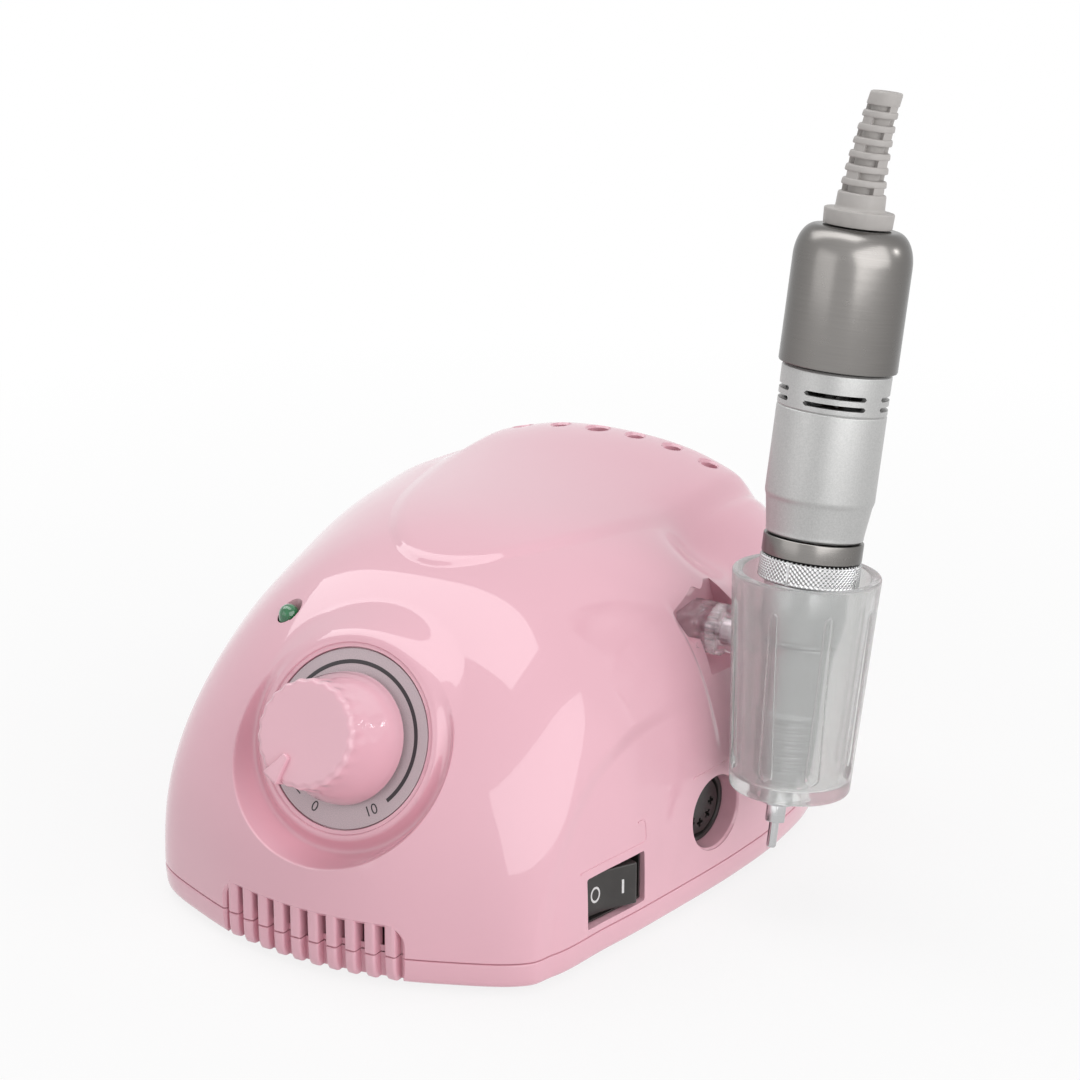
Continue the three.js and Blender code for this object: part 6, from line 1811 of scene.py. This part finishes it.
def cradle_arm():
    """A fluted arm from the disc to the cup, with a bore for its screw."""
    face = PIVOT_X + FIT
    arm = ribbed_disc(DISC_THICKNESS, 0.25)
    points = []
    for i in range(ARM_FLUTES):
        radius = ARM_RADIUS - (i // 2 % 2) * ARM_FLUTE_DEPTH
        points.append(polar(radius, (i + 0.5) / ARM_FLUTES * TURN))
    join(arm, prism(rounded(points, 0.25, 3), DISC_THICKNESS / 2, CUP_X - face))
    arm.data.transform(x_place(face))
    cut(arm, cup_space())
    bores = [rod(ARM_SCREW_BORE, -OVERRUN, 30, 32), rod(ARM_HEAD_BORE, DISC_THICKNESS, 30, 40)]
    cut(arm, *(bore.at(x_place(face)) for bore in bores))
    finished(arm, "cradle_clear_arm", "cradle", "clear_plastic", "cradle_arm")


GROOVES, GROOVE_DEPTH, GROOVE_TOP_RADIUS, GROOVE_LOW_RADIUS, GROOVE_TURN = 8, 1.2, 1.0, 2.0, radians(1)
GROOVE_STEPS, GROOVE_SIDES, GROOVE_TOP, GROOVE_LOW = 44, 16, 0.11, 0.9
GROOVE_ENDS, GROOVE_TAPER, GROOVE_FLATNESS, GROOVE_OUTSIDE = (0.045, 0.03), 0.7, 0.6, 2.2
BULB_DEPTH, BULB_SHARE, BULB_SPREAD = 0.5, 0.05, 0.04


def round_end(share, length):
    """1 along the groove, falling to 0 in a quarter round at its end."""
    return sqrt(max(0.0, 1 - (1 - min(share, length) / length) ** 2))


def groove_ring(share, z):
    """A section of the groove at a share of the way up it."""
    end = round_end(share, GROOVE_ENDS[0]) * round_end(1 - share, GROOVE_ENDS[1])
    half = GROOVE_LOW_RADIUS + (GROOVE_TOP_RADIUS - GROOVE_LOW_RADIUS) * share ** GROOVE_TAPER
    half *= max(end, 0.02)
    bulb = BULB_DEPTH * exp(-((share - BULB_SHARE) / BULB_SPREAD) ** 2)
    outer = CUP_TOP + (CUP_BOTTOM - CUP_TOP) * (-z / CUP_LENGTH)
    depth = (GROOVE_DEPTH + bulb) * max(end, 0.05)
    ring = []
    for c, s in circle(1, GROOVE_SIDES):
        flat = abs(c) ** GROOVE_FLATNESS * (1 if c > 0 else -1)
        ring.append((outer - depth * (0.5 - flat / 2) + (GROOVE_OUTSIDE if c > 0.2 else 0) * c, half * s, z))
    return ring


def cup_groove():
    """One long groove: narrow above, and ending in a rounder hollow below."""
    low, high = -CUP_LENGTH * GROOVE_LOW, -CUP_LENGTH * GROOVE_TOP
    shares = [i / GROOVE_STEPS for i in range(GROOVE_STEPS + 1)]
    return rings_shape([groove_ring(share, low + (high - low) * share) for share in shares])


def cup_hole_offset():
    """The handpiece leans further back than the cup, so it leaves the cup's floor ahead of its centre."""
    inverse = CUP_PLACE.inverted()
    start, end = (inverse @ (HANDPIECE_PLACE @ Vector((0, 0, z))) for z in (0, 1))
    travel = (-CUP_LENGTH + CUP_FLOOR / 2 - start.z) / (end.z - start.z)
    return start.y + (end.y - start.y) * travel


def cradle_cup():
    bottom, floor = -CUP_LENGTH, CUP_FLOOR - CUP_LENGTH
    inner_top, inner_bottom = CUP_TOP - CUP_WALL, CUP_BOTTOM - CUP_WALL
    profile = [
        (0, bottom), (CUP_BOTTOM, bottom, 1.4), (CUP_TOP, 0, 0.7), (inner_top, 0, 0.9),
        (inner_bottom, floor, 1.6),
        (0, floor),
    ]
    cup = solid("cup", solid_lathe(profile, 0.5, 192, 6))
    bore = [(6.4, bottom - 2), (6.3, bottom), (5.8, bottom + 0.5), (5.8, floor + 2)]
    bore = softened([(0, bottom - 2), *bore, (0, floor + 2)], 0.15, 2)
    cut(cup, lathe(bore, 64).at(placed(0, cup_hole_offset())))
    cut(cup, repeated(cup_groove(), Count=GROOVES, Turn=TURN / GROOVES, Start=GROOVE_TURN))
    finished(cup, "cradle_frosted_cup", "cradle", "frosted_plastic", "cradle_cup", place=CUP_PLACE)


# Handpiece

SLEEVE_LOW, SLEEVE, SLEEVE_STEP, SLEEVE_TOP, SLEEVE_WALL, SLEEVE_BAND_Z = 11.6, 13.0, 9.2, 40.0, 1.6, 30.6
CAP, CAP_TOP_Z, CAP_SHOULDER, CAP_CROWN, CAP_SHOULDER_RISE, CAP_STEPS = 14.0, 73.0, 5.0, 9.4, 8.0, 18
CAP_BORE, CAP_BORE_DEPTH, CAP_HOLLOW_DEPTH = 4.3, 3.2, 11
GRIP_TOP, GRIP_LOW, GRIP_NECK, GRIP_BORE, GRIP_TAPER = 10.2, 6.4, 8.4, 5.1, 0.8
GRIP_BOTTOM_Z, GRIP_TOP_Z = -58.6, -11.3
GRIP_RINGS, GRIP_RING_Z, GRIP_RING_PITCH = 8, 2.4, 1.9
NOSE, NOSE_BORE, NOSE_LENGTH = 4.3, 3.3, 6.6
PART_GAP = 0.3
VENT_Z, VENT_HEIGHT, VENT_PITCH, VENT_SPAN, VENT_START = 33.5, 1.1, 2.4, radians(68), radians(26.5)
VENT_STEPS, VENT_GROUPS = 32, 4


def in_hand(piece, name, body, material, node, angle=SHARP_ANGLE):
    finished(piece, name, body, material, node, place=HANDPIECE_PLACE, angle=angle)


def vent(z):
    """One long slot through the sleeve, centred on +X, with round ends."""
    round_reach = VENT_HEIGHT / 2
    points = []
    for angle in np.linspace(-VENT_SPAN / 2, VENT_SPAN / 2, VENT_STEPS + 1):
        near_end = min(angle + VENT_SPAN / 2, VENT_SPAN / 2 - angle) * SLEEVE
        half = round_reach * sqrt(max(0.04, 1 - max(0.0, 1 - near_end / round_reach) ** 2))
        column = []
        for radius in (SLEEVE - SLEEVE_WALL - 1, SLEEVE + 1):
            x, y = polar(radius, angle)
            column.append([(x, y, z - half), (x, y, z + half)])
        points.append(column)
    return lattice(points)


def sleeve():
    outer = [
        (SLEEVE_LOW - 0.6, 0, 0), (SLEEVE_LOW, 0.45, 0.2), (SLEEVE_LOW, 1.2, 1),
        (SLEEVE - 0.4, SLEEVE_STEP - 0.7, 1.5),
        (SLEEVE, SLEEVE_STEP + 0.3, 1), (SLEEVE, SLEEVE_BAND_Z - 0.5, 0.2),
        (SLEEVE - 0.35, SLEEVE_BAND_Z - 0.25, 0.1),
        (SLEEVE - 0.05, SLEEVE_BAND_Z, 0.1), (SLEEVE, SLEEVE_TOP - 0.5, 0.2), (SLEEVE - 0.5, SLEEVE_TOP, 0),
    ]
    bore = SLEEVE - SLEEVE_WALL
    inner = [(bore, SLEEVE_TOP, 0), (bore, SLEEVE_STEP, 0), (SLEEVE_LOW - SLEEVE_WALL, 0, 0)]
    tube = solid("sleeve", ring_lathe(outer + inner, 0.3, 192, 4))
    pair = vent(VENT_Z - VENT_PITCH / 2) + vent(VENT_Z + VENT_PITCH / 2)
    cut(tube, repeated(pair, Count=VENT_GROUPS, Turn=TURN / VENT_GROUPS, Start=VENT_START))
    in_hand(tube, "silver_motor_sleeve", "handpiece", "silver_metal", "motor_sleeve")


def cap():
    """The hollow rear cap with a round shoulder and a bore for the strain relief."""
    low, base = SLEEVE_TOP + PART_GAP, CAP_TOP_Z - CAP_SHOULDER_RISE
    inside = CAP - SLEEVE_WALL
    profile = [(inside, low), (CAP - 0.5, low), (CAP - 0.15, low + 0.15), (CAP, low + 0.5), (CAP, base - 2)]
    reach = CAP - CAP_CROWN
    profile += [(CAP_CROWN + reach * c, base + CAP_SHOULDER_RISE * s) for c, s in quarter(CAP_STEPS)]
    bore_low = CAP_TOP_Z - CAP_BORE_DEPTH
    profile += [
        (CAP_BORE + 0.2, CAP_TOP_Z), (CAP_BORE, CAP_TOP_Z - 0.2), (CAP_BORE, bore_low),
        (inside - CAP_SHOULDER, bore_low), (inside, CAP_TOP_Z - CAP_HOLLOW_DEPTH),
    ]
    piece = solid("cap", lathe(profile, 192, loop=True))
    in_hand(piece, "dark_rear_cap", "handpiece", "dark_nickel", "rear_cap")


RELIEF_RINGS, RELIEF_RING, RELIEF_GAP, RELIEF_BEND = 6, 1.65, 1.56, 0.0036
RELIEF_WIDE, RELIEF_NARROW, RELIEF_CORE_SHARE = 5.3, 3.9, 0.66
RELIEF_POST_TURNS, RELIEF_POST_SPAN = (radians(-14), radians(-108)), radians(44)
RELIEF_FLANGE, RELIEF_TIER, RELIEF_ROOT, RELIEF_OVERLAP = 3.8, 4.0, 4, 0.3
RELIEF_MOUTH = [(2, -0.3), (3.85, -0.3), (3.8, 3.0, 0.9), (2.2, 3.0, 0.3), (2, 1)]


def relief_post(radius, core, turn, low, high):
    """Two upright webs that join a ring to the next, on opposite sides."""
    webs = []
    for side in (0, pi):
        angle = np.linspace(-RELIEF_POST_SPAN / 2, RELIEF_POST_SPAN / 2, 9) + turn + side
        outer = [polar(radius, a) for a in angle]
        inner = [polar(core, a) for a in angle[::-1]]
        webs.append(prism(outer + inner, low, high))
    return together(webs)


def relief_foot(start):
    """The root in the cap's bore, the wide flange and the tier above it."""
    top = start + RELIEF_FLANGE
    stem = top + RELIEF_TIER
    tier = [(6.4, top - RELIEF_OVERLAP, 0), (5.8, top + 0.5, 0.5), (5.65, stem, 0.5)]
    return [
        solid_lathe([(0, start - RELIEF_ROOT), (4, start - RELIEF_ROOT), (4, start), (0, start)], 0.1, 64),
        solid_lathe([(0, start), (8.1, start), (8.3, top, 0.5), (0, top)], 0.2, 72, 5),
        solid_lathe([(0, top - RELIEF_OVERLAP), *tier, (0, stem)], 0.5, 72, 4),
    ]


def relief():
    """The bent stem of rings and windows that the cord would leave through."""
    start = CAP_TOP_Z + PART_GAP
    parts = relief_foot(start)
    z = start + RELIEF_FLANGE + RELIEF_TIER
    for i in range(RELIEF_RINGS + 1):
        radius = RELIEF_WIDE + (RELIEF_NARROW - RELIEF_WIDE) * i / RELIEF_RINGS
        core = radius * RELIEF_CORE_SHARE
        low, high = z - RELIEF_OVERLAP, z + RELIEF_GAP + RELIEF_OVERLAP
        parts.append(rod(core, low, high, 40))
        parts.append(relief_post(radius * 0.96, core * 0.9, RELIEF_POST_TURNS[i % 2], low, high))
        z += RELIEF_GAP
        if i < RELIEF_RINGS:
            top = z + RELIEF_RING
            ring = [(0, z), (radius * 1.01, z, 0.5), (radius * 0.97, top, 0.5), (0, top)]
            parts.append(solid_lathe(ring, 0.5, 64, 4))
            z = top
    mouth = [(radius, z + rise, *own) for radius, rise, *own in RELIEF_MOUTH]
    shape = together([*parts, ring_lathe(mouth, 0.3, 64, 4)])
    above = np.maximum(0, shape.points[:, 2] - (start + RELIEF_FLANGE))
    shape.points[:, 0] += RELIEF_BEND * above * above
    piece = solid("relief", shape)
    in_hand(piece, "grey_strain_relief", "handpiece", "relief_rubber", "strain_relief", radians(40))


SPACER = [(9.2, -4.9), (11.9, -4.9), (11.9, -0.3), (9.2, -0.3)]
LOCK_LOW, LOCK_HIGH, LOCK_RADIUS, LOCK_STEPS = -11.0, -5.2, 12.1, 40
LOCK_EDGE = [(9.2, 0), (11.6, 0), (12.05, 0.35), (LOCK_RADIUS, 0.5)]
KNURLS, KNURL_DEPTH, KNURL_TWISTS, KNURL_FADE = 64.0, 0.26, (-0.085, 0.085), (0.3, 0.9)
NOTCHES, NOTCH_SIZE, NOTCH_RADIUS = 4, (1.2, 0.9), 12.2


def spacer_ring():
    piece = solid("spacer", ring_lathe(SPACER, 0.35, 160))
    in_hand(piece, "steel_spacer_ring", "handpiece", "dark_nickel", "spacer_ring")


def lock_ring():
    """A ring with crossed knurling and four notches."""
    low_edge = [(radius, LOCK_LOW + rise) for radius, rise in LOCK_EDGE]
    high_edge = [(radius, LOCK_HIGH - rise) for radius, rise in reversed(LOCK_EDGE)]
    straight = LOCK_HIGH - LOCK_LOW - 1
    side = [(LOCK_RADIUS, LOCK_LOW + 0.5 + straight * i / LOCK_STEPS) for i in range(1, LOCK_STEPS)]
    ring = solid("lock", lathe(low_edge + side + high_edge, 448, loop=True))
    fade = {"Low": LOCK_LOW + KNURL_FADE[0], "High": LOCK_LOW + KNURL_FADE[1]}
    for twist in KNURL_TWISTS:
        grown(ring, WAVES, Waves=KNURLS, Depth=KNURL_DEPTH, Twist=twist, **fade)
    notch = prism(rectangle(*NOTCH_SIZE, 0.1, 1), LOCK_LOW - 1, LOCK_HIGH + 1).at(placed(NOTCH_RADIUS))
    cut(ring, *(notch.at(placed(turn_z=i / NOTCHES * TURN)) for i in range(NOTCHES)))
    in_hand(ring, "knurled_lock_ring", "lock", "steel", "lock_ring", angle=radians(50))


def grip_ring(i):
    """A ring of the grip that stands out from the taper by its edge."""
    z = GRIP_BOTTOM_Z + GRIP_RING_Z + GRIP_RING_PITCH * i
    share = (z - GRIP_BOTTOM_Z) / (GRIP_TOP_Z - GRIP_BOTTOM_Z)
    radius = GRIP_LOW + (GRIP_TOP - GRIP_LOW) * share ** GRIP_TAPER
    low = radius - 0.6
    return [(radius - 0.05, z - 0.4, 0.2), (radius, z + 0.5, 0.2), (low, z + 0.7, 0.15), (low, z + 1.3, 0.15)]


def grip():
    top, z, wide = GRIP_TOP_Z, GRIP_BOTTOM_Z, GRIP_TOP
    profile = [(GRIP_BORE, z), (GRIP_LOW - 0.8, z), (GRIP_LOW, z + 1.2)]
    for i in range(GRIP_RINGS):
        profile += grip_ring(i)
    profile += [
        (wide - 1.6, top - 16, 2), (wide - 0.9, top - 14.6, 0.2), (wide - 1.8, top - 14.3, 0.1),
        (wide - 1.8, top - 13.5, 0.1), (wide - 0.6, top - 13.2, 0.2), (wide, top - 7), (wide, top),
        (GRIP_NECK, top), (GRIP_NECK, -PART_GAP), (GRIP_BORE, -PART_GAP),
    ]
    piece = solid("grip", ring_lathe(profile, 0.3, 128))
    in_hand(piece, "silver_front_grip", "handpiece", "steel", "front_grip")


def nose_cap():
    low, top = GRIP_BOTTOM_Z - NOSE_LENGTH, GRIP_BOTTOM_Z - PART_GAP
    profile = [
        (NOSE_BORE, low), (NOSE - 0.6, low), (NOSE, low + 0.8), (NOSE, GRIP_BOTTOM_Z - 2),
        (NOSE - 0.3, GRIP_BOTTOM_Z - 1.6), (NOSE, GRIP_BOTTOM_Z - 1.2), (NOSE, top), (NOSE_BORE, top),
    ]
    in_hand(solid("nose", ring_lathe(profile)), "steel_nose_cap", "handpiece", "steel", "nose_cap")


SPINDLE_LOW = GRIP_BOTTOM_Z - 6.3
COLLET_NUT, COLLET_NUT_LENGTH, COLLET_RADIUS, COLLET_LENGTH, COLLET_BORE = 2.6, 4.4, 2, 9.4, 1.325
PIN_END_Z, TEST_PIN_RADIUS = -76, 1.175


def collet():
    """A small hexagon with a round shank, bored for the pin."""
    low = SPINDLE_LOW - PART_GAP - COLLET_NUT_LENGTH
    hexagon = rounded(circle(COLLET_NUT, 6), 0.25, 2)
    piece = solid("collet", prism(hexagon, low, low + COLLET_NUT_LENGTH, edge=0.3))
    join(piece, plug(COLLET_RADIUS, low + 4, low + COLLET_LENGTH, 48))
    cut(piece, rod(COLLET_BORE, low - OVERRUN, low + 15, 40))
    in_hand(piece, "steel_collet_nut", "rotor", "steel", "collet")


def test_pin():
    low, top, radius = PIN_END_Z, SPINDLE_LOW + 2.5, TEST_PIN_RADIUS
    pin = solid_lathe([(0, low), (0.95, low), (radius, low + 0.4), (radius, top), (0, top)], 0.1, 48)
    in_hand(solid("pin", pin), "steel_test_pin", "bit", "steel", "bit_shank")


INNER_LOOKS = {
    "speed_potentiometer": "aluminium", "potentiometer_shaft": "aluminium",
    "potentiometer_nut": "plain_steel",
    "transformer_core": "laminations", "transformer_winding": "copper_winding",
    "transformer_bracket": "plain_steel",
    "transformer_screw_1": "plain_steel", "transformer_screw_2": "plain_steel",
    "control_board": "circuit_board",
    "filter_capacitor": "capacitor_sleeve", "heat_sink": "aluminium", "cradle_screw": "plain_steel",
    "motor_can": "plain_steel",
    "brush_plate": "black_plastic", "motor_armature": "copper_winding", "cooling_fan": "black_plastic",
    "spindle": "plain_steel", "rear_bearing": "plain_steel", "front_bearing": "plain_steel",
}


def dress_inner_nodes():
    for node, look in INNER_LOOKS.items():
        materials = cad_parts[node].data.materials
        materials.clear()
        materials.append(MATERIALS[look])


def build():
    upper_shell()
    base_shell()
    dial_plate()
    dial_scale()
    speed_knob()
    lamp()
    switch(POWER_PLACE, "power", "power_rocker", "power_switch_body", "power_key")
    switch(DIRECTION_PLACE, "direction", "direction_rocker", "direction_switch_body", "direction_key")
    motor_socket()
    mains_inlet()
    fuse_holder()
    pedal_jack()
    feet()
    case_screws()
    cradle_hub()
    cradle_arm()
    cradle_cup()
    sleeve()
    cap()
    relief()
    spacer_ring()
    lock_ring()
    grip()
    nose_cap()
    collet()
    test_pin()
    dress_inner_nodes()


# Floor, light and camera

AIM = (0.0, -0.02, 0.06)
CAMERA_AZIMUTH, CAMERA_ELEVATION, CAMERA_DISTANCE = 0.531665, 0.378955, 953.466
CAMERA_ACROSS, CAMERA_UP, CAMERA_LENS = 14.4737, 74.9615, 127.19
CAMERA_SENSOR, CAMERA_CLIP = 36, (0.05, 20)


def camera():
    a, e = CAMERA_AZIMUTH, CAMERA_ELEVATION
    right = Vector((cos(a), sin(a), 0))
    back = Vector((sin(a) * cos(e), -cos(a) * cos(e), sin(e)))
    up = back.cross(right)
    eye = TO_ROW @ (back * CAMERA_DISTANCE + right * CAMERA_ACROSS + up * CAMERA_UP)
    data = bpy.data.cameras.new("camera")
    data.lens = CAMERA_LENS
    data.sensor_width = CAMERA_SENSOR
    data.clip_start, data.clip_end = CAMERA_CLIP
    holder = bpy.data.objects.new("camera", data)
    holder.matrix_world = framed(right, up, back, eye)
    bpy.context.scene.collection.objects.link(holder)
    bpy.context.scene.camera = holder


SHADOW_REACH, SHADOW_SHARE = 0.4, 0.2
FLOOR_REACH = 3.0
ROOM_LIGHT, ROOM_WHITE = 0.26, 1.0


def white_rays(graph):
    """1 where the camera sees the white surroundings, also in metal and through clear plastic."""
    path = graph.tree.nodes.new("ShaderNodeLightPath")
    seen = Wire(graph, path.outputs["Is Camera Ray"])
    for kind in ("Is Glossy Ray", "Is Transmission Ray"):
        seen = seen.math("ADD", Wire(graph, path.outputs[kind]), clamp=True)
    return seen


def studio_floor():
    """A pale floor that reads as plain white to the camera and lights the drill softly from below."""
    reach = FLOOR_REACH
    mesh = bpy.data.meshes.new("floor")
    corners = [(-reach, -reach, 0), (reach, -reach, 0), (reach, reach, 0), (-reach, reach, 0)]
    mesh.from_pydata(corners, [], [(0, 1, 2, 3)])
    floor = bpy.data.objects.new("floor", mesh)
    bpy.context.scene.collection.objects.link(floor)
    material = bpy.data.materials.new("white_floor")
    material.use_nodes = True
    graph = Graph(material.node_tree)
    seen = white_rays(graph)
    place = graph.add("ShaderNodeTexCoord", {}, {}, "Object")
    away = graph.add("ShaderNodeVectorMath", {"operation": "LENGTH"}, {0: place}, "Value")
    near = (1 - away / SHADOW_REACH).math("MAXIMUM", 0)
    paint = graph.add("ShaderNodeBsdfDiffuse", {}, {"Color": (0.8, 0.79, 0.79, 1)})
    light = graph.add("ShaderNodeEmission", {}, {"Color": (1, 1, 1, 1), "Strength": 1.0})
    mixed = graph.add("ShaderNodeMixShader", {}, {0: seen * (1 - near * SHADOW_SHARE), 1: paint, 2: light})
    output = material.node_tree.nodes["Material Output"]
    material.node_tree.links.new(mixed.socket, output.inputs[0])
    mesh.materials.append(material)


def softbox(name, direction, distance, width, height, glow, shape="RECTANGLE"):
    """A studio light of that glow that faces the drill from a direction, its width level with the floor."""
    data = bpy.data.lights.new(name, "AREA")
    data.shape = shape
    data.size, data.size_y = width, height
    data.energy = glow * pi * width * height
    light = bpy.data.objects.new(name, data)
    out = Vector(direction).normalized()
    along = Vector((0, 0, 1)).cross(out).normalized()
    light.matrix_world = framed(along, out.cross(along), out, Vector(AIM) + out * distance)
    bpy.context.scene.collection.objects.link(light)


def studio_world():
    world = bpy.data.worlds.new("studio")
    bpy.context.scene.world = world
    world.use_nodes = True
    graph = Graph(world.node_tree)
    white = (1, 1, 1, 1)
    lit = graph.add("ShaderNodeBackground", {}, {"Color": white, "Strength": ROOM_LIGHT})
    shown = graph.add("ShaderNodeBackground", {}, {"Color": white, "Strength": ROOM_WHITE})
    mixed = graph.add("ShaderNodeMixShader", {}, {0: white_rays(graph), 1: lit, 2: shown})
    world.node_tree.links.new(mixed.socket, world.node_tree.nodes["World Output"].inputs["Surface"])


def studio():
    camera()
    studio_floor()
    studio_world()
    softbox("overhead_softbox", (-0.3, 0.04, 0.89), 0.95, 0.48, 1.5, 2.6)
    softbox("front_right_softbox", (0.84, -0.3, 0.42), 1.3, 1.7, 1.05, 2.0)
    softbox("front_left_softbox", (-0.45, -0.86, 0.3), 1.5, 1.2, 0.8, 0.8)
    softbox("round_lamp", (0.765, 0.565, 0.31), 1.14, 0.14, 0.14, 12, shape="ELLIPSE")
    bpy.context.scene.view_settings.view_transform = "Standard"


build()
studio()
